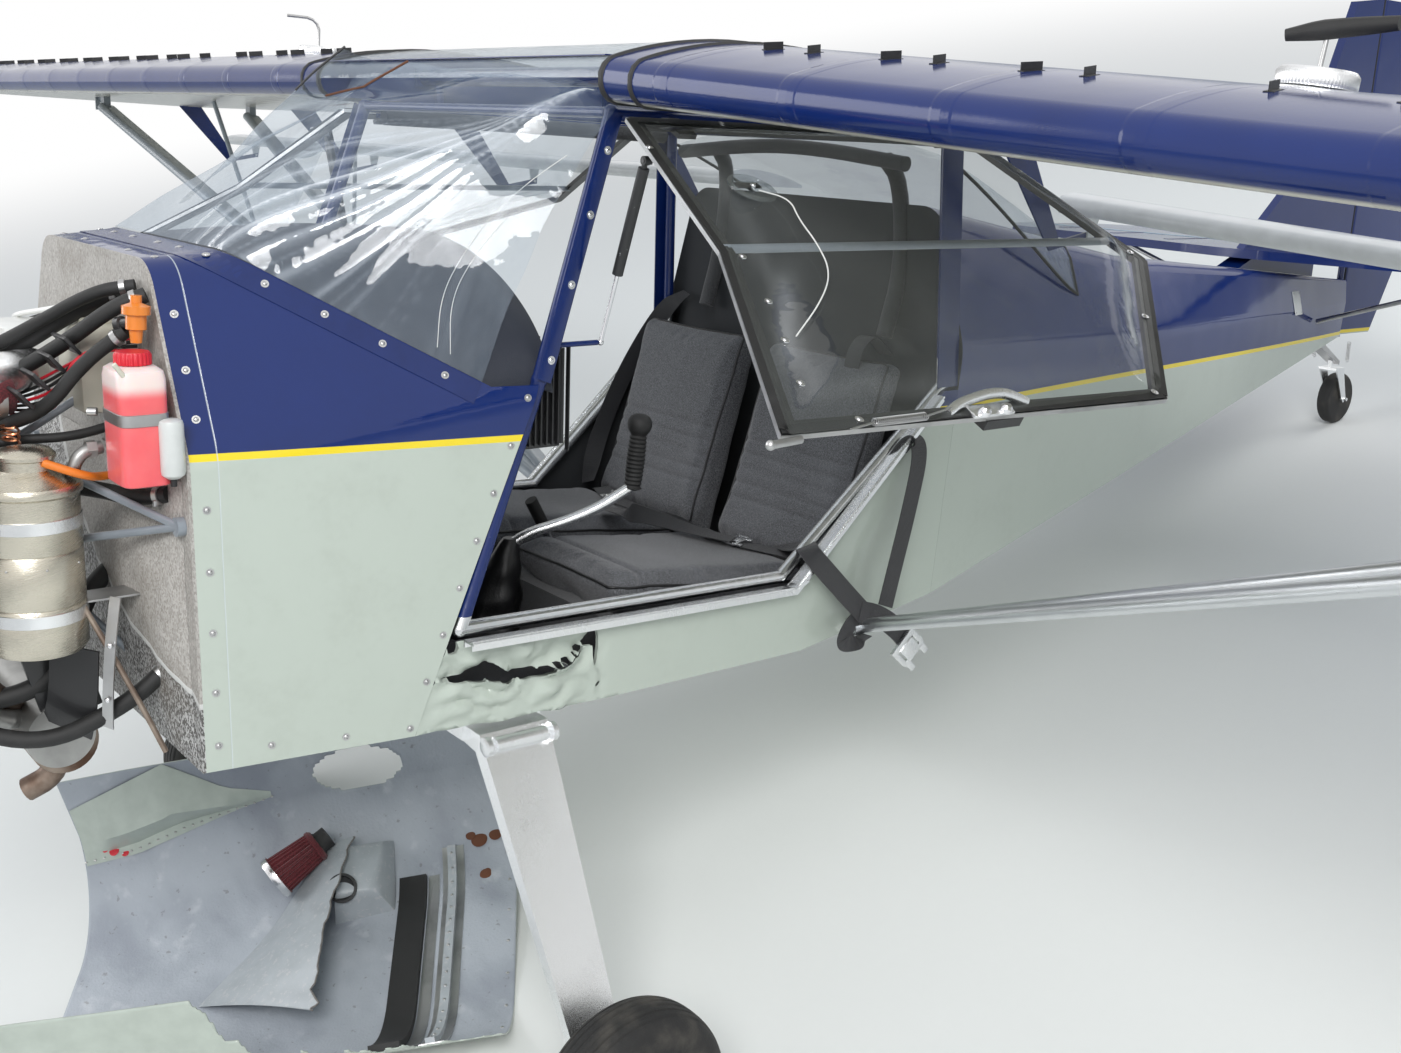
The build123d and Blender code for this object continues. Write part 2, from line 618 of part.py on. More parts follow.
def make_gear():
    """Sprung legs, axles, wheels and tyres."""
    for side, s in SIDES:
        (ix, iz), (kx, kz), (fx, fz) = LEG_INNER, LEG_KNEE, LEG_FOOT
        slope = atan2(fz - kz, fx - kx)
        nx, nz = -sin(slope) * LEG_T / 2, cos(slope) * LEG_T / 2
        outline = [
            (ix, iz), (kx + 6, iz - 2), (fx + nx, fz + nz),
            (fx - nx, fz - nz), (kx - 8, kz - LEG_T + 4), (ix, iz - LEG_T),
        ]
        slab = Plane.XZ * make_face(Polyline(*outline, close=True))
        slab = Pos(0, AXLE_Y - 100, 0) * extrude(slab, 200, dir=(0, 1, 0))
        plan = plan_prism([
            (ix - 5, AXLE_Y - LEG_TOP_W / 2), (kx, AXLE_Y - LEG_TOP_W / 2),
            (fx + 20, AXLE_Y - LEG_FOOT_W / 2),
            (fx + 20, AXLE_Y + LEG_FOOT_W / 2), (kx, AXLE_Y + LEG_TOP_W / 2),
            (ix - 5, AXLE_Y + LEG_TOP_W / 2),
        ], -600, 50)
        leg = slab & plan
        axle = rod((fx - 6, AXLE_Y, AXLE_Z), (WHEEL_X + TYRE_W / 2 + 2, AXLE_Y, AXLE_Z), AXLE_R)
        flange = rod((fx - 6, AXLE_Y, AXLE_Z), (fx + 12, AXLE_Y, AXLE_Z), 38)
        clamp = box_at(CLAMP[0], CLAMP[1], AXLE_Y - CLAMP[2], AXLE_Y + CLAMP[2], iz - 26, -GAP)
        nodes[f"gear_leg_{side}"] = on_side(fused([leg, flange, axle, clamp]), s)
        tyre_profile = Plane.XY * make_face(Polyline(
            (-TYRE_W / 2 + 25, RIM_R), (TYRE_W / 2 - 25, RIM_R),
            (TYRE_W / 2, RIM_R + 25), (TYRE_W / 2, TYRE_R - 45),
            (TYRE_W / 2 - 34, TYRE_R), (-TYRE_W / 2 + 34, TYRE_R),
            (-TYRE_W / 2, TYRE_R - 45), (-TYRE_W / 2, RIM_R + 25),
            close=True,
        ))
        tyre = revolve(tyre_profile, Axis.X)
        hub_profile = Plane.XY * make_face(Polyline(
            (-55, AXLE_R + RUN), (55, AXLE_R + RUN), (55, HUB_R),
            (12, HUB_R + 4), (12, RIM_R - 16), (50, RIM_R - 12),
            (50, RIM_R - GAP), (-50, RIM_R - GAP), (-50, RIM_R - 12),
            (-12, RIM_R - 16), (-12, HUB_R + 4), (-55, HUB_R), close=True,
        ))
        hub = revolve(hub_profile, Axis.X)
        place = Pos(WHEEL_X, AXLE_Y, AXLE_Z)
        nodes[f"tyre_{side}"] = on_side(place * tyre, s)
        nodes[f"wheel_hub_{side}"] = on_side(place * hub, s)


def make_tail():
    """The rear fuselage with fin, stabiliser, rudder, elevator and tail wheel."""
    nodes["aft_fuselage"] = hull([BULKHEAD_SECTION, DECK_SECTION, TAIL_SECTION])
    half_t = TAIL_T / 2
    under = STAB_Z - half_t
    front, rear = STAB_NOSE_Y, ELEVATOR_HINGE_Y - 22
    base = side_prism([(front - 60, 700), (front + 80, under), (rear, under), (rear, 655)], -40, 40)
    base = base - hull([DECK_SECTION, TAIL_SECTION], -GAP)
    hinge_y, hinge_z = RUDDER_HINGE_Y, TAIL_SECTION[2]
    stab = plan_prism([
        (STAB_HALF, rear), (STAB_HALF, rear - 150), (STAB_HALF - 120, rear - 290), (50, front), (-50, front),
        (-STAB_HALF + 120, rear - 290), (-STAB_HALF, rear - 150), (-STAB_HALF, rear),
    ], under, STAB_Z + half_t)
    blade = side_prism([
        (front + 60, STAB_Z + half_t), (rear, STAB_Z + half_t),
        (rear, STAB_Z + 40), (hinge_y - 29, STAB_Z + 40),
        (hinge_y - 29, FIN_TOP), (hinge_y - 190, FIN_TOP - 20), (front + 330, STAB_Z + 250),
    ], -half_t, half_t)
    post_y = TAIL_SECTION[0] + GAP + POST_R
    post = rod((0, post_y, hinge_z), (0, post_y, FIN_TOP), POST_R)
    blade = blade - rod((0, post_y, hinge_z), (0, post_y, FIN_TOP), POST_R - 0.5)
    caps = []
    for z, up in ((hinge_z - EAR_T, 1), (FIN_TOP + 5, -1)):
        cap = box_at(-9, 9, post_y - 8, hinge_y + 9, z, z + EAR_T)
        start = z + EAR_T / 2
        caps += [cap, rod((0, hinge_y, start), (0, hinge_y, start + up * 30), TAIL_PIN_R)]
    caps.append(box_at(-9, 9, post_y - 8, post_y + 8, FIN_TOP - 10, FIN_TOP + 6))
    caps.append(box_at(-9, 9, post_y - 8, post_y + 8, hinge_z - 6, hinge_z + 6))
    for x in (-68, 60):
        ear = box_at(x, x + EAR_T, rear - 10, ELEVATOR_HINGE_Y + 17, STAB_Z - 17, STAB_Z + 17)
        caps.append(
            ear - rod(
                (x - 1, ELEVATOR_HINGE_Y, STAB_Z), (x + EAR_T + 1, ELEVATOR_HINGE_Y, STAB_Z), TORQUE_R + RUN,
            ),
        )
    nodes["fin"] = fused([blade, post, stab, base, *caps])
    hinge = (ELEVATOR_HINGE_Y, STAB_Z)
    elevators = []
    for _, s in SIDES:
        elevators.append(plan_prism([
            (s * 78, hinge[0] - TORQUE_R), (s * STAB_HALF, hinge[0] - TORQUE_R),
            (s * (STAB_HALF - 40), hinge[0] + 260),
            (s * (STAB_HALF - 200), hinge[0] + ELEVATOR_CHORD),
            (s * 140, hinge[0] + ELEVATOR_CHORD), (s * 78, hinge[0] + 250),
        ], STAB_Z - 11, STAB_Z + 11))
    elevators.append(rod((-80, *hinge), (80, *hinge), TORQUE_R))
    nodes["elevator"] = fused(elevators)
    rudder = side_prism([
        (hinge_y, hinge_z + 1), (hinge_y + 200, hinge_z + 1), (hinge_y + RUDDER_CHORD, STAB_Z + 100),
        (hinge_y + RUDDER_CHORD - 20, FIN_TOP - 120),
        (hinge_y + RUDDER_CHORD - 160, FIN_TOP), (hinge_y, FIN_TOP),
    ], -TORQUE_R, TORQUE_R)
    rudder = rudder.fuse(rod((0, hinge_y, hinge_z + 1), (0, hinge_y, FIN_TOP), TORQUE_R))
    for z, up in ((hinge_z, 1), (FIN_TOP + 1, -1)):
        rudder = rudder - rod((0, hinge_y, z), (0, hinge_y, z + up * 32), TAIL_PIN_R + RUN)
    nodes["rudder"] = rudder
    braces = []
    for _, s in SIDES:
        braces.append(rod((s * 104, rear - 40, 545), (s * BRACE_TOP_X, rear - 60, under - 8), 8))
    nodes["tail_braces"] = Compound(children=braces)
    start, end = ELEVATOR_HINGE_Y, TAIL_SECTION[0] - 90
    spring = side_prism([
        (start, hull_floor_z(start) - 18),
        (start, hull_floor_z(start) - GAP), (end, hull_floor_z(end) - GAP),
        (SWIVEL_Y + 22, SWIVEL_Z + 24), (SWIVEL_Y + 22, SWIVEL_Z + 10), (end - 10, hull_floor_z(end) - 18),
    ], -22, 22)
    hole = rod((0, SWIVEL_Y, SWIVEL_Z), (0, SWIVEL_Y, SWIVEL_Z + 60), SWIVEL_R + RUN)
    nodes["tail_spring"] = spring - hole
    arms = [
        rod((0, SWIVEL_Y, SWIVEL_Z), (0, SWIVEL_Y, SWIVEL_Z + 40), SWIVEL_R),
        box_at(-34, 34, SWIVEL_Y - 16, SWIVEL_Y + 40, SWIVEL_Z - 8, SWIVEL_Z),
        *[side_prism([
            (SWIVEL_Y - 10, SWIVEL_Z - 6), (SWIVEL_Y + 38, SWIVEL_Z - 6), (TAIL_WHEEL_Y + 14, TAIL_WHEEL_Z),
            (TAIL_WHEEL_Y, TAIL_WHEEL_Z - 14), (TAIL_WHEEL_Y - 14, TAIL_WHEEL_Z),
        ], x, x + 5) for x in (-34, 29)],
        rod(
            (-TAIL_AXLE_HALF, TAIL_WHEEL_Y, TAIL_WHEEL_Z),
            (TAIL_AXLE_HALF, TAIL_WHEEL_Y, TAIL_WHEEL_Z), TAIL_AXLE_R,
        ),
    ]
    nodes["tail_wheel_fork"] = fused(arms)
    wheel = Cylinder(TAIL_WHEEL_R, TAIL_WHEEL_W) - Cylinder(TAIL_AXLE_R + RUN, TAIL_WHEEL_W + 2)
    wheel = fillet(wheel.edges().filter_by(GeomType.CIRCLE).sort_by(SortBy.RADIUS)[-2:], 14)
    nodes["tail_wheel"] = Pos(0, TAIL_WHEEL_Y, TAIL_WHEEL_Z) * Rot(Y=90) * wheel


def make_engine():
    """The engine with its pipes, its mount, tank, bottle and radiator, and the propeller."""
    block = box_at(-115, 115, ENGINE_FRONT_Y, ENGINE_BACK_Y, 300, 560)
    heads = []
    for y in (-352, -520):
        heads += [rod((-290, y, 430), (290, y, 430), 62)]
    gearbox = rod((0, ENGINE_FRONT_Y + 20, THRUST_Z), (0, ENGINE_FRONT_Y - 110, THRUST_Z), 90)
    fittings = [rod(*MUFFLER, MUFFLER_R)]
    for side, s in SIDES:
        pipes = [bent_bar(path, EXHAUST_R) for path in EXHAUSTS]
        pipes += [rod(*path, INTAKE_R) for path in INTAKES]
        pipes += [rod(*CARB, CARB_R), rod(*AIR_FILTER, AIR_FILTER_R)]
        fittings += [on_side(pipe, s) for pipe in pipes]
    engine = fused([block, *heads, gearbox, *fittings])
    shaft = rod((0, ENGINE_FRONT_Y - 100, THRUST_Z), (0, PROP_Y + 10, THRUST_Z), SHAFT_R)
    nodes["engine"] = fused([engine, shaft])
    mount = []
    pad = 14
    for _, s in SIDES:
        for x, z, ends in MOUNT_FEET:
            foot_y = -FIREWALL_T - GAP
            mount.append(rod((s * x, foot_y, z), (s * x, foot_y - pad, z), 16))
            for end_x, end_z in ends:
                end_y = ENGINE_BACK_Y + GAP
                mount.append(rod((s * end_x, end_y, end_z), (s * end_x, end_y + pad, end_z), 16))
                mount.append(rod((s * x, foot_y - pad / 2, z), (s * end_x, end_y + pad / 2, end_z), 7))
    mount.append(rod((-90, ENGINE_BACK_Y + 9, 520), (90, ENGINE_BACK_Y + 9, 520), 7))
    nodes["engine_mount"] = fused(mount)
    x, y, z = TANK_PLACE
    tank = Pos(x, y, z) * Cylinder(TANK_R, TANK_H, align=(Align.CENTER, Align.CENTER, Align.MIN))
    lid = Pos(x, y, z + TANK_H) * Cylinder(46, 34, align=(Align.CENTER, Align.CENTER, Align.MIN))
    strap = box_at(x - 30, x + 30, y, -FIREWALL_T, z + 60, z + 100)
    nodes["oil_tank"] = fused([tank, lid, strap])
    x, y, z = BOTTLE_PLACE
    w, d, h = BOTTLE_SIZE
    bottle = fillet(
        box_at(x - w / 2, x + w / 2, y - d / 2, -FIREWALL_T, z, z + h).edges().filter_by(Axis.Z), 14,
    )
    cap = Pos(x, y, z + h) * Cylinder(30, 34, align=(Align.CENTER, Align.CENTER, Align.MIN))
    nodes["coolant_bottle"] = fused([bottle, cap])
    nodes["radiator"] = fused([
        box_at(-160, 160, -420, -370, 60, 260), box_at(-20, 20, -390, -372, 255, 300 - GAP),
    ])
    hub = Pos(0, PROP_Y, THRUST_Z) * Rot(X=90) * Cylinder(75, 90)
    hub = hub - rod((0, PROP_Y + 60, THRUST_Z), (0, PROP_Y - 20, THRUST_Z), SHAFT_R + RUN)
    blades = []
    for i in range(BLADES):
        stations = ((70, 60, 34, 62), (320, 115, 22, 34), (650, 100, 13, 20), (PROP_R, 50, 5, 14))
        faces = []
        for r, c, t, twist in stations:
            lens = make_face([
                ThreePointArc((-c / 2, -1), (0, -t / 3), (c / 2, -1)),
                Line((c / 2, -1), (c / 2, 1)),
                ThreePointArc((c / 2, 1), (0, 2 * t / 3), (-c / 2, 1)),
                Line((-c / 2, 1), (-c / 2, -1)),
            ])
            plane = Plane(
                origin=(0, 0, r), x_dir=(cos(radians(twist)), sin(radians(twist)), 0), z_dir=(0, 0, 1),
            )
            faces.append(plane * lens)
        blade = loft(faces, ruled=True)
        blades.append(Pos(0, PROP_Y, THRUST_Z) * Rot(Y=PROP_TURN + 360 / BLADES * i) * blade)
    nodes["propeller"] = fused([hub, *blades])
    stations = ((1.0, 0.0), (0.95, 0.22), (0.82, 0.48), (0.6, 0.72), (0.34, 0.9), (0.0, 1.0))
    curve = [(SPINNER_R * r, SPINNER_LENGTH * along) for r, along in stations]
    spinner = revolve(Plane.XY * make_face(Polyline((0, 0), *curve, close=True)), Axis.Y)
    nodes["spinner"] = Pos(0, PROP_Y - 45 - GAP, THRUST_Z) * Rot(Z=180) * spinner


def door_place(sign):
    """The turn of a closed door to where it stands open."""
    hinge = Pos(sign * DOOR_HINGE[0], 0, DOOR_HINGE[1])
    return hinge * Rot(Y=-sign * DOOR_OPEN) * hinge.inverse()


def make_doors():
    """Top-hung doors: a flat frame, a bulged window, a cross tube, hinges and a latch."""
    x_in = DOOR_HINGE[0] + DOOR_STAND_OFF
    plane = Plane(origin=(x_in, 0, 0), x_dir=(0, 1, 0), z_dir=(1, 0, 0))
    outline = make_face(Polyline(*DOOR_OUTLINE, close=True))
    opening = offset(outline, amount=-DOOR_FRAME_W, kind=Kind.INTERSECTION)
    frame = plane * extrude(outline - opening, DOOR_FRAME_T)
    face_out = offset(outline, amount=-DOOR_FRAME_W / 2, kind=Kind.INTERSECTION)
    crown = offset(outline, amount=-DOOR_FRAME_W / 2 - 90, kind=Kind.INTERSECTION)
    lift = DOOR_FRAME_T + GAP
    outer = loft([Pos(0, 0, lift) * face_out, Pos(0, 0, lift + DOOR_BULGE) * crown], ruled=True)
    inner = loft([
        Pos(0, 0, lift - 1) * offset(face_out, amount=-4, kind=Kind.INTERSECTION),
        Pos(0, 0, lift + DOOR_BULGE - 3) * offset(crown, amount=-2, kind=Kind.INTERSECTION),
    ], ruled=True)
    window = plane * (outer - inner)
    tube = rod((x_in + 6, 655, 640), (x_in + 6, 1640, 640), 6)
    top_z = [z for y, z in (DOOR_OUTLINE[0], DOOR_OUTLINE[-1])]
    knuckles = []
    for y in DOOR_HINGE_YS:
        barrel = rod(
            (DOOR_HINGE[0], y - KNUCKLE_HALF, DOOR_HINGE[1]),
            (DOOR_HINGE[0], y + KNUCKLE_HALF, DOOR_HINGE[1]), KNUCKLE_R,
        )
        leaf = box_at(DOOR_HINGE[0] + 3, x_in + 4, y - 20, y + 20, min(top_z) - 20, DOOR_HINGE[1])
        bore = rod(
            (DOOR_HINGE[0], y - 40, DOOR_HINGE[1]),
            (DOOR_HINGE[0], y + 40, DOOR_HINGE[1]), KNUCKLE_PIN_R + RUN,
        )
        knuckles.append(barrel.fuse(leaf) - bore)
    handle = box_at(x_in - 14, x_in + 2, 820, 900, 165, 185)
    stud_y, stud_z = STAY_STUD
    pin_x = x_in - STAY_INSET
    cheek_y = stud_y + STAY_EYE_HALF + 2
    cheek = box_at(pin_x - 5, x_in + 2, cheek_y, cheek_y + 4, stud_z - 5, stud_z + 5)
    pin = rod((pin_x, stud_y - STAY_EYE_HALF - 1, stud_z), (pin_x, cheek_y + 2, stud_z), STAY_PIN_R)
    frame = fused([frame, tube, *knuckles, handle, cheek, pin])
    for side, s in SIDES:
        nodes[f"door_frame_{side}"] = door_place(s) * on_side(frame, s)
        nodes[f"door_window_{side}"] = door_place(s) * on_side(window, s)


def stay_points(sign):
    """The foot of a gas strut and its stud on the open door."""
    x_in = DOOR_HINGE[0] + DOOR_STAND_OFF
    dx, dz = x_in - STAY_INSET - DOOR_HINGE[0], STAY_STUD[1] - DOOR_HINGE[1]
    a = radians(DOOR_OPEN)
    stud = (
        DOOR_HINGE[0] + dx * cos(a) - dz * sin(a), STAY_STUD[0], DOOR_HINGE[1] + dx * sin(a) + dz * cos(a),
    )
    return (sign * STAY_FOOT[0], *STAY_FOOT[1:]), (sign * stud[0], *stud[1:])


def make_stays():
    """The gas struts: the cylinder hangs on the door, its rod reaches down to the frame."""
    for side, s in SIDES:
        foot, stud = stay_points(s)
        a, b = Vector(*foot), Vector(*stud)
        up = (b - a).normalized()
        cyl_low, cyl_high = b - up * STAY_CYLINDER_LENGTH, b - up * STAY_NECK
        half = Vector(0, STAY_EYE_HALF, 0)
        body = rod(tuple(cyl_low), tuple(cyl_high), STAY_CYLINDER_R)
        body = body.fuse(rod(tuple(cyl_high - up * 2), tuple(b), STAY_EYE_HALF - 1))
        body = body.fuse(rod(tuple(b - half), tuple(b + half), STAY_EYE_R))
        body = body - rod(tuple(b - half * 2), tuple(b + half * 2), STAY_PIN_R + RUN)
        body = body - rod(tuple(cyl_low - up), tuple(cyl_high - up * 12), STAY_ROD_R + RUN)
        nodes[f"stay_cylinder_{side}"] = body
        piston = rod(tuple(a), tuple(cyl_low + up * 60), STAY_ROD_R)
        nodes[f"stay_rod_{side}"] = piston.fuse(Pos(*foot) * Sphere(STAY_SOCKET_R))


def cowl_face(half, deep, inset, along):
    """The cowl's trough section: a flat bottom, rounded corners and upright sides."""
    h, low = half - inset, inset
    flat, shoulder = 0.35 * h, COWL_SHOULDER * deep
    rise = shoulder - low
    corner_r = ((h - flat) ** 2 + rise ** 2) / (2 * rise)
    half_turn = asin((h - flat) / corner_r) / 2
    via = (flat + corner_r * sin(half_turn), low + corner_r * (1 - cos(half_turn)))
    face = make_face([
        Line((-h, deep), (h, deep)),
        Line((h, deep), (h, shoulder)),
        ThreePointArc((h, shoulder), via, (flat, low)),
        Line((flat, low), (-flat, low)),
        ThreePointArc((-flat, low), (-via[0], via[1]), (-h, shoulder)),
        Line((-h, shoulder), (-h, deep)),
    ])
    return Plane(origin=(0, -along, 0), x_dir=(1, 0, 0), z_dir=(0, -1, 0)) * face


def make_ground_cowl():
    """The lower cowl, lying open side up on the floor beside the wheels."""
    ends = ((0, COWL_BIG), (COWL_LENGTH, COWL_SMALL))
    outside = loft([cowl_face(*size, 0.0, along) for along, size in ends], ruled=True)
    inside = loft([cowl_face(*size, COWL_T, along) for along, size in ends], ruled=True)
    cowl = Rot(Z=-COWL_HEADING) * Rot(Y=COWL_ROLL) * (outside - inside)
    floor_nodes["lower_cowl"] = Pos(*COWL_PLACE, 1.0 - cowl.bounding_box().min.Z) * cowl


def parked_tilt():
    """The nose-up angle and the point on the floor under the main wheels."""
    dy, dz = TAIL_WHEEL_Y - AXLE_Y, TAIL_WHEEL_Z - AXLE_Z
    angle = atan2(dz, dy) + asin((TYRE_R - TAIL_WHEEL_R) / hypot(dy, dz))
    touch = (AXLE_Y + TYRE_R * sin(angle), AXLE_Z - TYRE_R * cos(angle))
    return degrees(angle), touch


def parked():
    """The place of the level drawing when the aircraft stands on its wheels."""
    angle, touch = parked_tilt()
    return Rot(X=-angle) * Pos(0, -touch[0], -touch[1])


make_nose()
make_tub()
make_frame()
make_glazing()
make_seats()
make_controls()
make_wings()
make_struts()
make_gear()
make_tail()
make_engine()
make_doors()
make_stays()
make_ground_cowl()

stand = parked()
standing = {name: stand * shape for name, shape in nodes.items()} | floor_nodes
reach = Compound(children=[Compound(s.wrapped) for s in standing.values()]).bounding_box()
centred = Pos(0, -(reach.min.Y + reach.max.Y) / 2, 0)
os.makedirs("parts", exist_ok=True)
for name, shape in standing.items():
    export_step(centred * shape, f"parts/{name}.step")
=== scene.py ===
"""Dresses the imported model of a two-seat microlight aircraft with a tail wheel.

The aircraft stands parked with its cowlings off and both doors swung open. Detail is drawn in the
level drawing of the aircraft, X to the left wing, Y aft, Z up, in metres from the middle of the
firewall's lower edge, and row() puts it on the standing aircraft.
"""
import json
import math

import bmesh
import bpy
import numpy as np
from mathutils import Matrix, Vector, noise
from mathutils.bvhtree import BVHTree


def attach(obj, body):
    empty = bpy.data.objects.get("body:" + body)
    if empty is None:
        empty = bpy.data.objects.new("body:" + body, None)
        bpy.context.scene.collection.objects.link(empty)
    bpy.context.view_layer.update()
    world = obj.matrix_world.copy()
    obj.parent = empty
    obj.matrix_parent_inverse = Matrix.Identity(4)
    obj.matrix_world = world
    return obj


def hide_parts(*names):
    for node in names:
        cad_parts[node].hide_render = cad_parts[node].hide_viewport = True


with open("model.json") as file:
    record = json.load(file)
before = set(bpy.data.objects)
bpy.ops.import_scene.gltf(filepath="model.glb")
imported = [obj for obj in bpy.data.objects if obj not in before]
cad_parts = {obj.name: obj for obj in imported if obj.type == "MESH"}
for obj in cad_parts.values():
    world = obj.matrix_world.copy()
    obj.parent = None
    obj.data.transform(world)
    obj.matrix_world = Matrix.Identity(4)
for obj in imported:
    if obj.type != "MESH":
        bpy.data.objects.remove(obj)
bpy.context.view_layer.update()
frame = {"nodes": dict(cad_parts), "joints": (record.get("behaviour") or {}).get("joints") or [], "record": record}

bl_info = {
    "name": "Microlight aircraft dressing",
    "version": (1, 0, 0),
    "blender": (4, 5, 0),
    "location": "3D View > Sidebar > Microlight",
    "description": "Skins, cabin, engine bay and glazing over a packed microlight aircraft",
    "category": "Object",
}

RUDDER_HINGE_LEVEL = (0.0, 4.276, 0.772)


def level_to_row():
    """The turn and shift from the level drawing to the standing aircraft, read from the rudder's hinge."""
    hinge = next(j for j in frame["joints"] if j["name"] == "rudder_hinge")
    tilt = math.atan2(hinge["axis"][1], hinge["axis"][2])
    turned = Matrix.Rotation(-tilt, 4, "X") @ Matrix.Translation(-Vector(RUDDER_HINGE_LEVEL))
    return Matrix.Translation(Vector(hinge["pos_m"])) @ turned


TO_ROW = level_to_row()
TO_LEVEL = TO_ROW.inverted()
SIDES = (("left", 1), ("right", -1))


def row(point):
    """A point of the level drawing on the standing aircraft."""
    return TO_ROW @ Vector(point)


# ---- Materials ----


class Signal:
    """The value that leaves a node, with arithmetic."""

    def __init__(self, bench, socket):
        self.bench, self.socket = bench, socket

    def __add__(self, other):
        return self.bench.maths("ADD", self, other)

    def __sub__(self, other):
        return self.bench.maths("SUBTRACT", self, other)

    def __rsub__(self, other):
        return self.bench.maths("SUBTRACT", other, self)

    def __mul__(self, other):
        return self.bench.maths("MULTIPLY", self, other)

    def __truediv__(self, other):
        return self.bench.maths("DIVIDE", self, other)

    def __rtruediv__(self, other):
        return self.bench.maths("DIVIDE", other, self)

    __radd__, __rmul__ = __add__, __mul__

    def step(self, low, high):
        """0 below low, 1 above high, smooth between."""
        values = {"Value": self, "From Min": low, "From Max": high}
        return self.bench.out("ShaderNodeMapRange", {"interpolation_type": "SMOOTHSTEP"}, values)


class Bench:
    """Builds one material from nodes."""

    def __init__(self, name, preview):
        self.material = bpy.data.materials.new(name)
        self.material.use_nodes = True
        self.material.diffuse_color = (*preview, 1)
        self.tree = self.material.node_tree
        self.tree.nodes.clear()

    def feed(self, socket, value):
        """Links a signal to a socket, or sets a plain value there."""
        if isinstance(value, Signal):
            self.tree.links.new(value.socket, socket)
            return
        if isinstance(value, (tuple, list)) and len(value) == 3 and len(socket.default_value) == 4:
            value = (*value, 1.0)
        socket.default_value = value

    def node(self, kind, settings=None, sockets=None):
        """A node of that type with its settings, then its sockets."""
        made = self.tree.nodes.new(kind)
        for key, value in (settings or {}).items():
            setattr(made, key, value)
        for key, value in (sockets or {}).items():
            self.feed(made.inputs[key], value)
        return made

    def out(self, kind, settings=None, sockets=None, key=0):
        """One output of a new node."""
        return Signal(self, self.node(kind, settings, sockets).outputs[key])

    def maths(self, operation, a, b=0.0):
        return self.out("ShaderNodeMath", {"operation": operation}, {0: a, 1: b})

    def vector(self, operation, a, b=(0, 0, 0)):
        key = "Value" if operation in ("DOT_PRODUCT", "LENGTH") else "Vector"
        return self.out("ShaderNodeVectorMath", {"operation": operation}, {0: a, 1: b}, key)

    def mix(self, factor, a, b):
        return self.out("ShaderNodeMix", {"data_type": "RGBA"}, {0: factor, 6: a, 7: b}, 2)

    def place(self):
        """Object coordinates, in metres on the standing aircraft."""
        return self.out("ShaderNodeTexCoord", key="Object")

    def level(self, axis):
        """One coordinate of the level drawing."""
        turn = TO_LEVEL[axis]
        return self.vector("DOT_PRODUCT", self.place(), tuple(turn[:3])) + turn[3]

    def facing(self, axis):
        """How far the surface faces along one axis of the level drawing."""
        return self.vector("DOT_PRODUCT", self.out("ShaderNodeNewGeometry", key="Normal"),
            tuple(TO_LEVEL[axis][:3]))

    def noise(self, scale, detail=3.0, stretch=(1, 1, 1), rough=0.5):
        """Soft noise with that many features a metre."""
        at = self.vector("MULTIPLY", self.place(), stretch)
        return self.out("ShaderNodeTexNoise", None, {"Vector": at, "Scale": scale, "Detail": detail,
            "Roughness": rough})

    def cells(self, scale, key="Distance", stretch=(1, 1, 1)):
        at = self.vector("MULTIPLY", self.place(), stretch)
        return self.out("ShaderNodeTexVoronoi", None, {"Vector": at, "Scale": scale}, key)

    def given(self, name):
        """A value that the mesh carries for each point."""
        return self.out("ShaderNodeAttribute", {"attribute_name": name}, key="Fac")

    def surface(self, colour, rough=0.5, metal=0.0, height=None, depth=0.001, alpha=None, fixed=None):
        """Closes the material with its shader."""
        shader = self.node("ShaderNodeBsdfPrincipled")
        values = {"Base Color": colour, "Roughness": rough, "Metallic": metal, **(fixed or {})}
        if alpha is not None:
            values["Alpha"] = alpha
        if height is not None:
            values["Normal"] = self.out("ShaderNodeBump", None, {"Strength": 1.0, "Distance": depth,
                "Height": height})
        for key, value in values.items():
            self.feed(shader.inputs[key], value)
        end = self.node("ShaderNodeOutputMaterial")
        self.tree.links.new(shader.outputs[0], end.inputs[0])
        return self.material


def settings():
    return bpy.context.scene.microlight_paint


def stripe_height(bench):
    """Height of the yellow stripe's middle along the fuselage."""
    y = bench.level(1)
    return 0.541 - y.step(0.6, 1.7) * 0.036 - y.step(1.7, 4.1) * 0.022


def zoned(bench, soil=0.06):
    """Blue above the stripe, yellow on it, pale below, with a little soil."""
    look = settings()
    z, middle = bench.level(2), stripe_height(bench)
    grime = bench.noise(9, 5) * 0.7 + bench.noise(60, 3) * 0.3
    pale = bench.mix(grime.step(0.45, 0.8) * soil * 3, tuple(look.lower_pale), (0.33, 0.35, 0.3))
    blue = bench.mix(grime, tuple(look.cover_blue), tuple(c * 1.25 for c in look.cover_blue))
    half = look.stripe_width / 2
    lower = bench.mix((z - middle).step(-half - 0.0006, -half + 0.0006), pale, tuple(look.stripe_yellow))
    return bench.mix((z - middle).step(half - 0.0006, half + 0.0006), lower, blue)


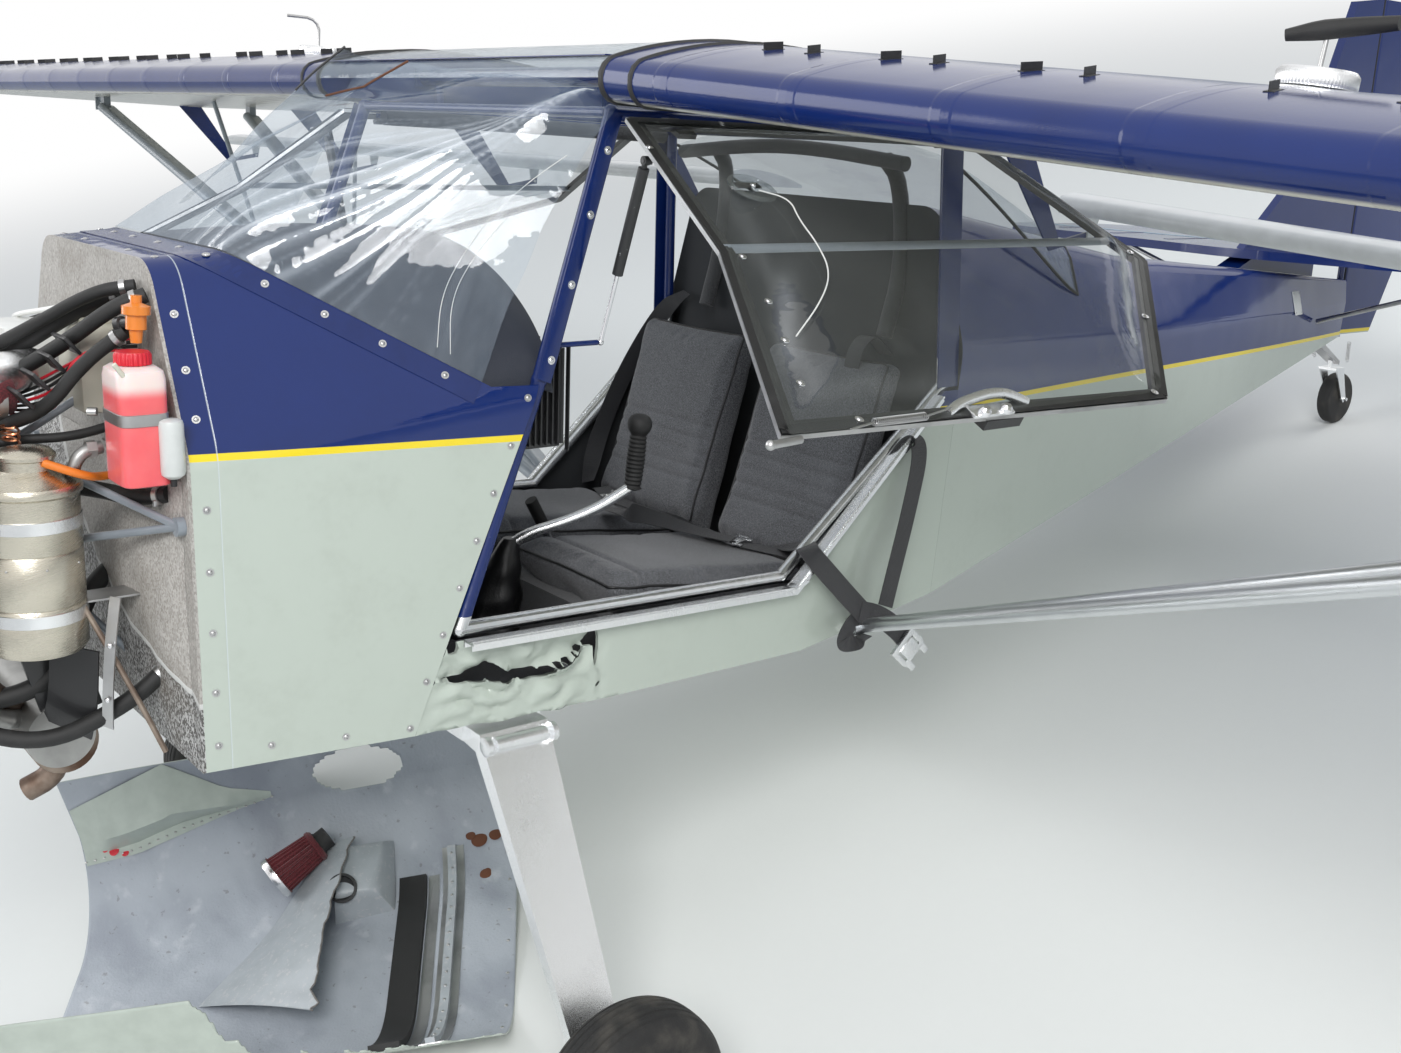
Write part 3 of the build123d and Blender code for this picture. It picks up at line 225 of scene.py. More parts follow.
def hull_paint():
    """Outside paint of the fuselage; the faces turned inwards are the dark lining."""
    bench = Bench("hull_paint", (0.02, 0.05, 0.3))
    inward = bench.facing(0) * bench.level(0) + bench.facing(2) * (bench.level(2) - 0.45) * 0.8
    front_wall = (bench.facing(1) * -1).step(0.6, 0.8) * bench.level(1).step(1.0, 1.1)
    lining = bench.maths("MAXIMUM", (inward * -1).step(0.0, 0.004), front_wall)
    lint = bench.noise(900, 2)
    dark = bench.mix(lint, (0.012, 0.013, 0.015), (0.05, 0.052, 0.056))
    colour = bench.mix(lining, zoned(bench), dark)
    waves = bench.noise(3, 2) * 0.9 + bench.noise(220, 2) * 0.012 + lint * lining * 0.05
    rough = lining * 0.75 + bench.noise(14, 4) * 0.06 + 0.08
    return bench.surface(colour, rough, 0.0, waves, 0.006)


def nose_paint():
    """The nose sheets: outside paint with drawn edge lines, inside bare primer grey."""
    bench = Bench("nose_paint", (0.02, 0.05, 0.3))
    y = bench.level(1)
    outward = bench.facing(0) * bench.level(0) + bench.facing(2) * (bench.level(2) - 0.4)
    inside = (outward * -1).step(0.0, 0.004)
    line = (y - 0.043).step(-0.0012, 0.0) * (0.045 - y).step(0.0, 0.0012)
    colour = bench.mix(line * 0.65, zoned(bench, 0.09), (0.55, 0.6, 0.62))
    colour = bench.mix(inside, colour, (0.32, 0.34, 0.33))
    waves = bench.noise(5, 3) * 0.5 + bench.noise(38, 2) * 0.02 - line * 0.05
    rough = inside * 0.4 + bench.noise(30, 4) * 0.05 + 0.05
    return bench.surface(colour, rough, 0.0, waves, 0.005)


RIB_PITCH = 0.31


def cover_paint(name, lower, under=True):
    """Doped cloth cover over ribs: blue above, and paler underneath on a wing."""
    bench = Bench(name, (0.02, 0.05, 0.3))
    look = settings()
    rib = bench.maths("PINGPONG", bench.level(0) + 0.04, RIB_PITCH / 2) / (RIB_PITCH / 2)
    tape = rib.step(0.86, 0.9)
    soil = bench.noise(7, 5, (1, 0.3, 1))
    blue = bench.mix(soil, tuple(c * 0.85 for c in look.cover_blue),
        tuple(c * 1.3 for c in look.cover_blue))
    colour = blue
    if under:
        belly = (bench.facing(2) * -1).step(0.8, 0.93)
        pale = bench.mix(soil * 0.6 + tape * 0.25, lower, tuple(c * 0.72 for c in lower))
        colour = bench.mix(belly, blue, pale)
    height = rib * rib * 0.4 + tape * 0.12 + bench.noise(260, 2) * 0.02 + bench.noise(4, 2) * 0.5
    rough = soil * 0.08 + 0.1
    return bench.surface(colour, rough, 0.0, height, 0.004)


def enamel(name, colour, rough=0.25, chips=0.0, coat=0.3):
    """Sprayed or powder paint with fine orange peel, and chips where it is worn."""
    bench = Bench(name, colour)
    grime = bench.noise(24, 5)
    paint = bench.mix(grime, tuple(c * 0.8 for c in colour), tuple(min(1.0, c * 1.15) for c in colour))
    worn = bench.noise(70, 6, rough=0.7).step(0.76 - chips, 0.8 - chips) if chips else 0.0
    shade = bench.mix(worn, paint, (0.42, 0.43, 0.44)) if chips else paint
    height = bench.noise(300, 2) * 0.3 + grime * 0.3
    return bench.surface(shade, grime * 0.12 + rough, 0.0, height, 0.0006, fixed={"Coat Weight": coat})


def frame_paint():
    """Blue enamel on the cabin's tubes, with bare alloy cover strips along the sills."""
    bench = Bench("frame_paint", (0.02, 0.05, 0.3))
    y = bench.level(1)
    sill = bench.level(2) - bench.maths("MAXIMUM", (y - 1.236) * 0.95, 0.0)
    bare = (sill - 0.215).step(0.0, 0.001) * -1 + 1
    grain = bench.noise(60, 4)
    blue = tuple(settings().cover_blue)
    colour = bench.mix(bare, blue, bench.mix(grain, (0.62, 0.63, 0.64), (0.8, 0.81, 0.82)))
    return bench.surface(colour, grain * 0.2 + 0.12, bare, grain, 0.0004)


def alloy(name, colour, rough=0.25, grain=(1, 1, 40), dull=0.25):
    """Bare metal with drawn grain, stains and small scratches."""
    bench = Bench(name, colour)
    lines = bench.noise(30, 4, grain, 0.7)
    stain = bench.noise(11, 5)
    shade = bench.mix(stain.step(0.4, 0.75) * dull, colour, tuple(c * 0.55 for c in colour))
    return bench.surface(shade, lines * 0.22 + stain * 0.12 + rough - 0.12, 1.0, lines * 0.5 + stain * 0.4,
        0.0006)


def moulded(name, colour, rough=0.5, grain=900.0):
    """Moulded plastic or rubber with a fine grain and dust."""
    bench = Bench(name, colour)
    dust = bench.noise(18, 5).step(0.5, 0.85)
    shade = bench.mix(dust * 0.35, colour, tuple(c * 0.6 + 0.07 for c in colour))
    return bench.surface(shade, dust * 0.2 + rough, 0.0, bench.noise(grain, 2) + bench.noise(40, 3) * 0.6,
        0.0005)


def woven(name, colour, pitch=0.0022, heather=0.5, sheen=0.2):
    """Coarse woven cloth with mottled threads."""
    bench = Bench(name, colour)
    turns = 2 * math.pi / pitch
    warp = bench.maths("SINE", bench.level(0) * turns) * bench.maths("SINE",
        (bench.level(1) + bench.level(2)) * turns)
    threads = bench.noise(300, 3, (1, 4, 4)) * 0.5 + bench.noise(300, 3, (4, 1, 1)) * 0.5
    mottle = threads.step(0.42, 0.62)
    shade = bench.mix(mottle * heather, tuple(c * 0.4 for c in colour),
        tuple(min(1, c * 2.8) for c in colour))
    shade = bench.mix(bench.noise(5, 4).step(0.45, 0.8) * 0.3, shade, tuple(c * 1.7 for c in colour))
    return bench.surface(shade, 0.88, 0.0, warp * 0.2 + threads, 0.0006, fixed={"Sheen Weight": sheen})


def webbing():
    """Flat belt webbing, ribbed along its length."""
    bench = Bench("belt_webbing", (0.012, 0.012, 0.014))
    along = bench.given("along")
    ribs = bench.maths("SINE", along * 2600.0)
    lint = bench.noise(700, 2)
    return bench.surface(bench.mix(lint, (0.004, 0.004, 0.005), (0.03, 0.03, 0.034)), 0.5, 0.0,
        ribs * 0.5 + lint, 0.0006, fixed={"Sheen Weight": 0.15}, )


def clear_sheet(name, tint, base, crease_and_painted_reflection=0.0, dust=0.03):
    """Thin clear plastic: mostly see-through, glossy, with painted reflection that whitens it where its
    crease_and_painted_reflection attribute is high.
    """
    bench = Bench(name, tint)
    haze = bench.noise(6, 5, (1, 3, 1)).step(0.45, 0.9) * dust + bench.noise(140, 3).step(0.7, 0.78) * 0.015
    # painted reflection: the mesh attribute marks where the sheet is painted whiter and less clear, standing in
    # for light reflected off its folds and bulges
    painted_reflection = bench.given("crease_and_painted_reflection") if crease_and_painted_reflection else 0.0
    rim = bench.out("ShaderNodeLayerWeight", None, {"Blend": 0.28}, "Facing")
    amount = haze + painted_reflection * crease_and_painted_reflection + rim * rim * 0.42 + base
    # painted reflection: whitish colour where the attribute is high
    colour = bench.mix(painted_reflection, tint, (0.86, 0.9, 0.94)) if crease_and_painted_reflection else tint
    gloss = bench.node("ShaderNodeBsdfPrincipled")
    for key, value in {"Base Color": colour, "Roughness": 0.035, "IOR": 1.9,
            "Specular IOR Level": 1.0}.items():
        bench.feed(gloss.inputs[key], value)
    waves = bench.noise(7, 3, (1, 1.5, 1)) * 1.0 + bench.noise(33, 2) * 0.03
    bump = bench.out("ShaderNodeBump", None, {"Strength": 1.0, "Distance": 0.004, "Height": waves})
    bench.feed(gloss.inputs["Normal"], bump)
    through = bench.node("ShaderNodeBsdfTransparent", None, {"Color": (0.93, 0.95, 0.96)})
    mixed = bench.node("ShaderNodeMixShader", None, {0: amount})
    bench.tree.links.new(through.outputs[0], mixed.inputs[1])
    bench.tree.links.new(gloss.outputs[0], mixed.inputs[2])
    end = bench.node("ShaderNodeOutputMaterial")
    bench.tree.links.new(mixed.outputs[0], end.inputs[0])
    return bench.material


def foil_padding():
    """Heat padding: warm grey above, and below a slanting seam a coarse weave with silver glints."""
    bench = Bench("foil_padding", (0.5, 0.48, 0.45))
    fleck = bench.vector("DOT_PRODUCT", bench.cells(520, "Color", (1, 1, 0.4)), (0.33, 0.33, 0.33))
    seam = bench.level(2) + bench.level(0) * 0.55 - 0.36
    coarse = (seam * -1).step(-0.002, 0.002)
    strip = seam.step(-0.006, -0.004) * (seam * -1).step(-0.006, -0.004)
    shade = bench.mix(fleck.step(0.2, 0.8), (0.3, 0.28, 0.255), (0.48, 0.46, 0.43))
    weave = bench.mix(fleck.step(0.45, 0.62), (0.1, 0.095, 0.09), (0.52, 0.52, 0.51))
    shade = bench.mix(coarse, shade, weave)
    shade = bench.mix(bench.noise(7, 5).step(0.5, 0.8) * 0.5, shade, (0.17, 0.145, 0.115))
    shade = bench.mix(strip, shade, (0.6, 0.6, 0.58))
    height = bench.noise(22, 3) + fleck * 0.12 + strip * 0.2
    return bench.surface(shade, fleck * -0.15 + 0.75, coarse * fleck.step(0.5, 0.7) * 0.6, height, 0.004)


def coolant():
    """Translucent bottle: pink coolant up to its level, cloudy white above."""
    bench = Bench("coolant_in_bottle", (0.8, 0.2, 0.22))
    full = (bench.level(2) - 0.652).step(-0.012, 0.012)
    cloud = bench.noise(14, 3)
    red = bench.mix(cloud, (0.78, 0.07, 0.09), (0.86, 0.2, 0.2))
    colour = bench.mix(full, red, (0.8, 0.68, 0.64))
    return bench.surface(colour, 0.28, 0.0, bench.noise(40, 2), 0.0008,
        fixed={"Subsurface Weight": 0.35, "Subsurface Scale": 0.02, "Coat Weight": 0.3})


def blade_wood():
    """Grey composite blades with a fine grain."""
    bench = Bench("blade_finish", (0.03, 0.03, 0.035))
    grain = bench.noise(40, 4, (1, 1, 0.2))
    return bench.surface(bench.mix(grain, (0.015, 0.016, 0.018), (0.06, 0.062, 0.068)), grain * 0.2 + 0.25,
        0.0, grain, 0.0005, fixed={"Coat Weight": 0.4})


def cowl_inside():
    """Sanded grey laminate with soot."""
    bench = Bench("cowl_inside", (0.42, 0.44, 0.47))
    soot = bench.noise(3.2, 6, (1, 1.6, 1)).step(0.42, 0.72)
    grey = bench.mix(soot * 0.7, (0.4, 0.43, 0.47), (0.21, 0.23, 0.27))
    grey = bench.mix(bench.noise(17, 6).step(0.58, 0.75) * 0.4, grey, (0.6, 0.62, 0.64))
    grey = bench.mix(bench.noise(60, 4).step(0.66, 0.72) * 0.5, grey, (0.16, 0.15, 0.14))
    return bench.surface(grey, bench.noise(20, 4) * 0.2 + 0.36, 0.0, bench.noise(140, 5), 0.0012)


def tyre_rubber():
    bench = Bench("tyre_rubber", (0.02, 0.02, 0.02))
    dust = bench.noise(15, 5).step(0.4, 0.8)
    return bench.surface(bench.mix(dust, (0.012, 0.012, 0.012), (0.075, 0.068, 0.058)), dust * 0.1 + 0.75,
        0.0, bench.noise(400, 3), 0.001)


def charred_pipe():
    """Exhaust pipe, heated brown and blue."""
    bench = Bench("exhaust_pipe", (0.2, 0.15, 0.12))
    burn = bench.noise(13, 5)
    shade = bench.mix(burn.step(0.3, 0.7), (0.11, 0.06, 0.04), (0.36, 0.3, 0.25))
    return bench.surface(shade, burn * 0.3 + 0.35, 0.8, burn, 0.0015)


FINISHES = {
    "hull_paint": hull_paint,
    "frame_paint": frame_paint,
    "nose_paint": nose_paint,
    "wing_cover": lambda: cover_paint("wing_cover", (0.55, 0.53, 0.46)),
    "tail_cover": lambda: cover_paint("tail_cover", (0.5, 0.5, 0.46), False),
    "blue_enamel": lambda: enamel("blue_enamel", tuple(settings().cover_blue), 0.12, 0.0, 0.0),
    "pale_enamel": lambda: enamel("pale_enamel", tuple(settings().lower_pale), 0.3, 0.06),
    "mount_grey": lambda: enamel("mount_grey", (0.25, 0.28, 0.31), 0.3, 0.08),
    "strut_silver": lambda: alloy("strut_silver", (0.72, 0.74, 0.76), 0.28, (1, 20, 20)),
    "flap_silver": lambda: enamel("flap_silver", (0.6, 0.62, 0.63), 0.3, 0.02, 0.4),
    "polished_alloy": lambda: alloy("polished_alloy", (0.86, 0.87, 0.88), 0.2, (30, 30, 1), 0.15),
    "cast_alloy": lambda: alloy("cast_alloy", (0.42, 0.42, 0.41), 0.42, (1, 1, 1), 0.6),
    "stainless": lambda: alloy("stainless", (0.62, 0.58, 0.49), 0.22, (1, 1, 30), 0.4),
    "steel": lambda: alloy("steel", (0.5, 0.5, 0.5), 0.3, (1, 1, 1), 0.5),
    "chrome": lambda: alloy("chrome", (0.8, 0.8, 0.82), 0.14, (1, 1, 1), 0.2),
    "black_anodised": lambda: enamel("black_anodised", (0.012, 0.012, 0.013), 0.3, 0.05, 0.2),
    "black_steel": lambda: enamel("black_steel", (0.018, 0.019, 0.02), 0.4, 0.1, 0.0),
    "hood_skin": lambda: moulded("hood_skin", (0.018, 0.022, 0.034), 0.5),
    "black_plastic": lambda: moulded("black_plastic", (0.014, 0.014, 0.015), 0.42),
    "black_rubber": lambda: moulded("black_rubber", (0.012, 0.012, 0.012), 0.6),
    "black_hide": lambda: moulded("black_hide", (0.01, 0.01, 0.011), 0.38, 260.0),
    "cream_plastic": lambda: moulded("cream_plastic", (0.62, 0.6, 0.5), 0.4),
    "white_plastic": lambda: moulded("white_plastic", (0.75, 0.75, 0.72), 0.35),
    "red_plastic": lambda: moulded("red_plastic", (0.62, 0.015, 0.03), 0.3),
    "orange_hose": lambda: moulded("orange_hose", (0.75, 0.2, 0.02), 0.35),
    "orange_anodised": lambda: enamel("orange_anodised", (0.75, 0.22, 0.02), 0.25, 0.0, 0.5),
    "filter_red": lambda: woven("filter_red", (0.1, 0.012, 0.016), 0.003, 0.6),
    "copper": lambda: alloy("copper", (0.75, 0.33, 0.18), 0.3, (1, 1, 1)),
    "rust": lambda: moulded("rust", (0.13, 0.05, 0.025), 0.9, 300.0),
    "seat_cloth": lambda: woven("seat_cloth", (0.115, 0.117, 0.125)),
    "foam_wrap": lambda: woven("foam_wrap", (0.07, 0.07, 0.072), 0.006, 0.3),
    "carpet": lambda: woven("carpet", (0.02, 0.021, 0.024), 0.003, 0.6),
    "belt_webbing": webbing,
    # the fourth argument sets how strongly the painted reflection whitens the door and windshield sheets
    "clear_door": lambda: clear_sheet("clear_door", (0.16, 0.17, 0.16), 0.16, 0.6, 0.08),
    "clear_screen": lambda: clear_sheet("clear_screen", (0.38, 0.47, 0.58), 0.13, 0.6, 0.1),
    "clear_roof": lambda: clear_sheet("clear_roof", (0.6, 0.66, 0.7), 0.12, 0.0, 0.1),
    "foil_padding": foil_padding,
    "coolant_in_bottle": coolant,
    "blade_finish": blade_wood,
    "cowl_inside": cowl_inside,
    "tyre_rubber": tyre_rubber,
    "exhaust_pipe": charred_pipe,
    "rail_alloy": lambda: alloy("rail_alloy", (0.5, 0.5, 0.5), 0.35, (1, 1, 1), 0.8),
    "cowl_grey": lambda: enamel("cowl_grey", (0.36, 0.39, 0.41), 0.4, 0.2, 0.1),
    "charred_edge": lambda: moulded("charred_edge", (0.16, 0.15, 0.14), 0.8),
    "tape_pale": lambda: enamel("tape_pale", (0.3, 0.42, 0.5), 0.35, 0.1, 0.1),
    "blue_tape": lambda: enamel("blue_tape", tuple(settings().cover_blue), 0.24, 0.0, 0.4),
    "pale_plate": lambda: enamel("pale_plate", (0.62, 0.64, 0.62), 0.35, 0.05, 0.2),
}
made_finishes = {}


def finish(name):
    """The material of that name, made once."""
    if name not in made_finishes:
        made_finishes[name] = FINISHES[name]()
    return made_finishes[name]


# ---- Shapes ----


class Form:
    """Points and faces of one piece, collected in the level drawing, each face with its finish."""

    def __init__(self):
        self.points, self.faces, self.marks, self.finishes, self.along = [], [], [], [], []

    def add(self, points, faces, name, along=None):
        base = len(self.points)
        self.points += [Vector(p) for p in points]
        self.along += list(along) if along is not None else [0.0] * len(points)
        if name not in self.finishes:
            self.finishes.append(name)
        for face in faces:
            self.faces.append([base + i for i in face])
            self.marks.append(self.finishes.index(name))

    def block(self, centre, size, name, turn=None, bevel=0.0):
        """A block with chamfered edges."""
        bm = bmesh.new()
        bmesh.ops.create_cube(bm, size=1.0)
        bmesh.ops.scale(bm, vec=size, verts=bm.verts)
        if bevel:
            bmesh.ops.bevel(bm, geom=bm.edges[:], offset=bevel, segments=2, affect="EDGES", profile=0.5)
        self.take(bm, Matrix.Translation(centre) @ (turn or Matrix()), name)

    def take(self, bm, place, name):
        """Adds a bmesh at a place and frees it."""
        bm.verts.index_update()
        self.add([place @ v.co for v in bm.verts], [[v.index for v in f.verts] for f in bm.faces], name)
        bm.free()

    def lathe(self, foot, way, profile, name, steps=32):
        """A turned shape: radius and distance along the way for each ring."""
        turn = Vector(way).to_track_quat("Z", "Y").to_matrix()
        foot = Vector(foot)
        rings = []
        for r, z in profile:
            rings.append([foot + turn @ Vector((r * math.cos(a), r * math.sin(a),
                z)) for a in (2 * math.pi * i / steps for i in range(steps))])
        self.skin(rings, name, closed=True)

    def skin(self, rings, name, closed=True, caps=True, along=None):
        """Faces between rings of points, with closed ends."""
        n = len(rings[0])
        points = [p for ring in rings for p in ring]
        faces = []
        for k in range(len(rings) - 1):
            for i in range(n if closed else n - 1):
                j = (i + 1) % n
                faces.append((k * n + i, k * n + j, (k + 1) * n + j, (k + 1) * n + i))
        if closed and caps:
            faces.append(tuple(reversed(range(n))))
            faces.append(tuple((len(rings) - 1) * n + i for i in range(n)))
        self.add(points, faces, name, along)

    def tube(self, path, radius, name, sides=12, smooth=0, radii=None):
        """A round tube along points, with its path rounded first."""
        path = rounded([Vector(p) for p in path], smooth)
        rings = []
        lengths = [0.0]
        for a, b in zip(path, path[1:]):
            lengths.append(lengths[-1] + (b - a).length)
        side = None
        for i, p in enumerate(path):
            ahead = (path[min(i + 1, len(path) - 1)] - path[max(i - 1, 0)]).normalized()
            if side is None:
                side = ahead.orthogonal().normalized()
            side = (side - ahead * side.dot(ahead)).normalized()
            up = ahead.cross(side)
            r = radius if radii is None else np.interp(lengths[i] / lengths[-1], *zip(*radii))
            rings.append([p + side * r * math.cos(a) + up * r * math.sin(a)
                          for a in (2 * math.pi * k / sides for k in range(sides))])
        self.skin(rings, name, along=[lengths[i] for i in range(len(path)) for _ in range(sides)])

    def strap(self, path, width, name="belt_webbing", thick=0.0016, across=(0, 1, 0), smooth=4):
        """Flat webbing along points, its width along the way given for each point."""
        ways = [Vector(across)] * len(path) if isinstance(across[0],
            (int, float)) else [Vector(w) for w in across]
        line = rounded([Vector(p) for p in path], smooth)
        turns = rounded(ways, smooth)
        rings, run = [], [0.0]
        for a, b in zip(line, line[1:]):
            run.append(run[-1] + (b - a).length)
        for i, p in enumerate(line):
            ahead = (line[min(i + 1, len(line) - 1)] - line[max(i - 1, 0)]).normalized()
            side = (turns[i] - ahead * turns[i].dot(ahead)).normalized() * width / 2
            up = ahead.cross(side).normalized() * thick / 2
            rings.append([p - side - up, p + side - up, p + side + up, p - side + up])
        self.skin(rings, name, along=[run[i] for i in range(len(line)) for _ in range(4)])

    def ball(self, centre, radius, name, squash=1.0, way=(0, 0, 1)):
        """A ball, flattened along the way."""
        steps = 10
        profile = [(radius * math.sin(math.pi * i / steps) + 1e-5,
            -radius * squash * math.cos(math.pi * i / steps)) for i in range(steps + 1)]
        self.lathe(centre, way, profile, name, 20)

    def piece(self, label, body, slot, nodes=(), angle=38, place=TO_ROW):
        """Makes the object of all that was collected."""
        mesh = bpy.data.meshes.new(label)
        mesh.from_pydata([tuple(place @ p) for p in self.points], [], self.faces)
        for name in self.finishes:
            mesh.materials.append(finish(name))
        mesh.polygons.foreach_set("material_index", self.marks)
        if any(self.along):
            mesh.attributes.new("along", "FLOAT", "POINT").data.foreach_set("value", self.along)
        bm = bmesh.new()
        bm.from_mesh(mesh)
        bmesh.ops.recalc_face_normals(bm, faces=bm.faces)
        bm.to_mesh(mesh)
        bm.free()
        return settled(mesh, label, body, nodes, angle)


def settled(mesh, label, body, nodes=(), angle=38):
    """Puts a finished mesh in the scene, riding on its body."""
    mesh.shade_smooth()
    mesh.set_sharp_from_angle(angle=math.radians(angle))
    made = bpy.data.objects.new(label, mesh)
    bpy.context.scene.collection.objects.link(made)
    if nodes:
        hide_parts(*nodes)
    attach(made, body)
    return made


def rounded(path, times):
    """Corner cutting that keeps both ends."""
    for _ in range(times):
        cut = [path[0]]
        for a, b in zip(path, path[1:]):
            cut += [a * 0.75 + b * 0.25, a * 0.25 + b * 0.75]
        path = cut + [path[-1]]
    return path


surfaces = {}


def surface(node):
    """The CAD node's faces in the level drawing, for casting rays."""
    if node not in surfaces:
        data = frame["nodes"][node].data
        points = [TO_LEVEL @ v.co for v in data.vertices]
        surfaces[node] = BVHTree.FromPolygons(points, [tuple(p.vertices) for p in data.polygons])
    return surfaces[node]


def hit(node, start, way):
    """Where a ray meets a CAD node, and the surface's way out there."""
    where, normal, _, _ = surface(node).ray_cast(Vector(start), Vector(way).normalized())
    if where is None:
        raise RuntimeError(f"no surface of {node} from {tuple(start)} along {tuple(way)}")
    return where, normal


def geometry_tree(name, inputs, build):
    """A geometry node tree with named inputs, closed by Realize Instances and Set Material."""
    tree = bpy.data.node_groups.new(name, "GeometryNodeTree")
    tree.interface.new_socket("Geometry", in_out="INPUT", socket_type="NodeSocketGeometry")
    for label, kind in inputs:
        tree.interface.new_socket(label, in_out="INPUT", socket_type=kind)
    tree.interface.new_socket("Geometry", in_out="OUTPUT", socket_type="NodeSocketGeometry")
    start, end = tree.nodes.new("NodeGroupInput"), tree.nodes.new("NodeGroupOutput")

    def node(kind, settings=None, sockets=None):
        made = tree.nodes.new(kind)
        for key, value in (settings or {}).items():
            setattr(made, key, value)
        for key, value in (sockets or {}).items():
            if isinstance(value, bpy.types.NodeSocket):
                tree.links.new(value, made.inputs[key])
            else:
                made.inputs[key].default_value = value
        return made.outputs[0]

    copies = build(node, start.outputs)
    real = node("GeometryNodeRealizeInstances", None, {0: copies})
    tree.links.new(node("GeometryNodeSetMaterial", None, {0: real, "Material": start.outputs["Material"]}),
        end.inputs[0])
    return tree


def screw_tree():
    """A domed head on a washer at every point, turned to the point's lean."""
    def build(node, given):
        washer = node("GeometryNodeMeshCylinder", None, {"Vertices": 14, "Radius": given["Washer Radius"],
            "Depth": given["Washer Height"]})
        head = node("GeometryNodeMeshUVSphere", None, {"Segments": 12, "Rings": 6,
            "Radius": given["Head Radius"]})
        flat = node("ShaderNodeCombineXYZ", None, {"X": 1.0, "Y": 1.0, "Z": given["Head Flatness"]})
        head = node("GeometryNodeTransform", None, {0: head, "Scale": flat})
        both = tree_join(node, washer, head)
        lean = node("GeometryNodeInputNamedAttribute", {"data_type": "FLOAT_VECTOR"}, {"Name": "lean"})
        turn = node("FunctionNodeAlignRotationToVector", {"axis": "Z"}, {"Vector": lean})
        return node("GeometryNodeInstanceOnPoints", None, {0: given["Geometry"], "Instance": both,
            "Rotation": turn})

    return geometry_tree("screw_field", [("Washer Radius", "NodeSocketFloat"),
        ("Washer Height", "NodeSocketFloat"), ("Head Radius", "NodeSocketFloat"),
        ("Head Flatness", "NodeSocketFloat"), ("Material", "NodeSocketMaterial")], build)


def vane_tree():
    """A thin upright vane at every point, turned to the point's lean and heading."""
    def build(node, given):
        size = node("ShaderNodeCombineXYZ", None, {"X": given["Thickness"], "Y": given["Length"],
            "Z": given["Height"]})
        vane = node("GeometryNodeMeshCube", None, {"Size": size})
        foot_size = node("ShaderNodeCombineXYZ", None, {"X": given["Foot Width"], "Y": given["Length"],
            "Z": 0.0012})
        foot = node("GeometryNodeMeshCube", None, {"Size": foot_size})
        half = node("ShaderNodeMath", {"operation": "DIVIDE"}, {0: given["Height"], 1: 2.0})
        lift = node("ShaderNodeCombineXYZ", None, {"Z": half})
        vane = node("GeometryNodeTransform", None, {0: vane, "Translation": lift})
        both = tree_join(node, vane, foot)
        lean = node("GeometryNodeInputNamedAttribute", {"data_type": "FLOAT_VECTOR"}, {"Name": "lean"})
        heading = node("GeometryNodeInputNamedAttribute", {"data_type": "FLOAT_VECTOR"},
            {"Name": "heading"})
        turn = node("FunctionNodeAxesToRotation", {"primary_axis": "Z", "secondary_axis": "Y"},
            {0: lean, 1: heading})
        return node("GeometryNodeInstanceOnPoints", None, {0: given["Geometry"], "Instance": both,
            "Rotation": turn})

    return geometry_tree("vane_field", [("Thickness", "NodeSocketFloat"), ("Length", "NodeSocketFloat"),
        ("Height", "NodeSocketFloat"), ("Foot Width", "NodeSocketFloat"),
        ("Material", "NodeSocketMaterial")], build)


def tree_join(node, first, second):
    """Join Geometry of two parts."""
    joined = node("GeometryNodeJoinGeometry", None, {0: first})
    tree = joined.node.id_data
    tree.links.new(second, joined.node.inputs[0])
    return joined


trees = {}


def field(label, tree_name, spots, sizes, material, body, angle=38):
    """Runs a geometry node tree over points with a lean and a heading, and keeps a plain mesh."""
    if tree_name not in trees:
        trees[tree_name] = {"screw": screw_tree, "vane": vane_tree}[tree_name]()
    mesh = bpy.data.meshes.new(label)
    mesh.from_pydata([tuple(row(s[0])) for s in spots], [], [])
    turn = TO_ROW.to_3x3()
    for at, name in ((1, "lean"), (2, "heading")):
        if len(spots[0]) > at:
            values = [c for s in spots for c in turn @ Vector(s[at])]
            mesh.attributes.new(name, "FLOAT_VECTOR", "POINT").data.foreach_set("vector", values)
    carrier = bpy.data.objects.new(label + "_points", mesh)
    bpy.context.scene.collection.objects.link(carrier)
    modifier = carrier.modifiers.new("field", "NODES")
    modifier.node_group = trees[tree_name]
    sockets = {s.name: s.identifier for s in trees[tree_name].interface.items_tree if s.in_out == "INPUT"}
    for name, value in {**sizes, "Material": finish(material)}.items():
        modifier[sockets[name]] = value
    real = bpy.data.meshes.new_from_object(carrier.evaluated_get(bpy.context.evaluated_depsgraph_get()))
    carrier.modifiers.clear()
    bpy.data.objects.remove(carrier)
    real.name = label
    return settled(real, label, body, (), angle)


def screws(label, spots, body="airframe", radius=0.0052, material="chrome"):
    """Round-headed screws on washers."""
    sizes = {"Washer Radius": radius * 1.5, "Washer Height": 0.0014, "Head Radius": radius,
        "Head Flatness": 0.6}
    return field(label, "screw", spots, sizes, material, body)


def body_of_node(node):
    return next(b for b, members in frame["record"]["behaviour"]["bodies"].items() if node in members)


def dress(node, material, angle=32):
    """A merged, smooth copy of a CAD node with its finish."""
    mesh = frame["nodes"][node].data.copy()
    mesh.name = node + "_dressed"
    for name in [a.name for a in mesh.attributes if a.name.startswith("custom_normal")]:
        mesh.attributes.remove(mesh.attributes[name])
    bm = bmesh.new()
    bm.from_mesh(mesh)
    bmesh.ops.remove_doubles(bm, verts=bm.verts, dist=2e-5)
    for edge in bm.edges:
        edge.smooth = True
    bm.to_mesh(mesh)
    bm.free()
    mesh.materials.clear()
    mesh.materials.append(finish(material))
    mesh.polygons.foreach_set("material_index", [0] * len(mesh.polygons))
    return settled(mesh, node + "_dressed", body_of_node(node), (node,), angle)


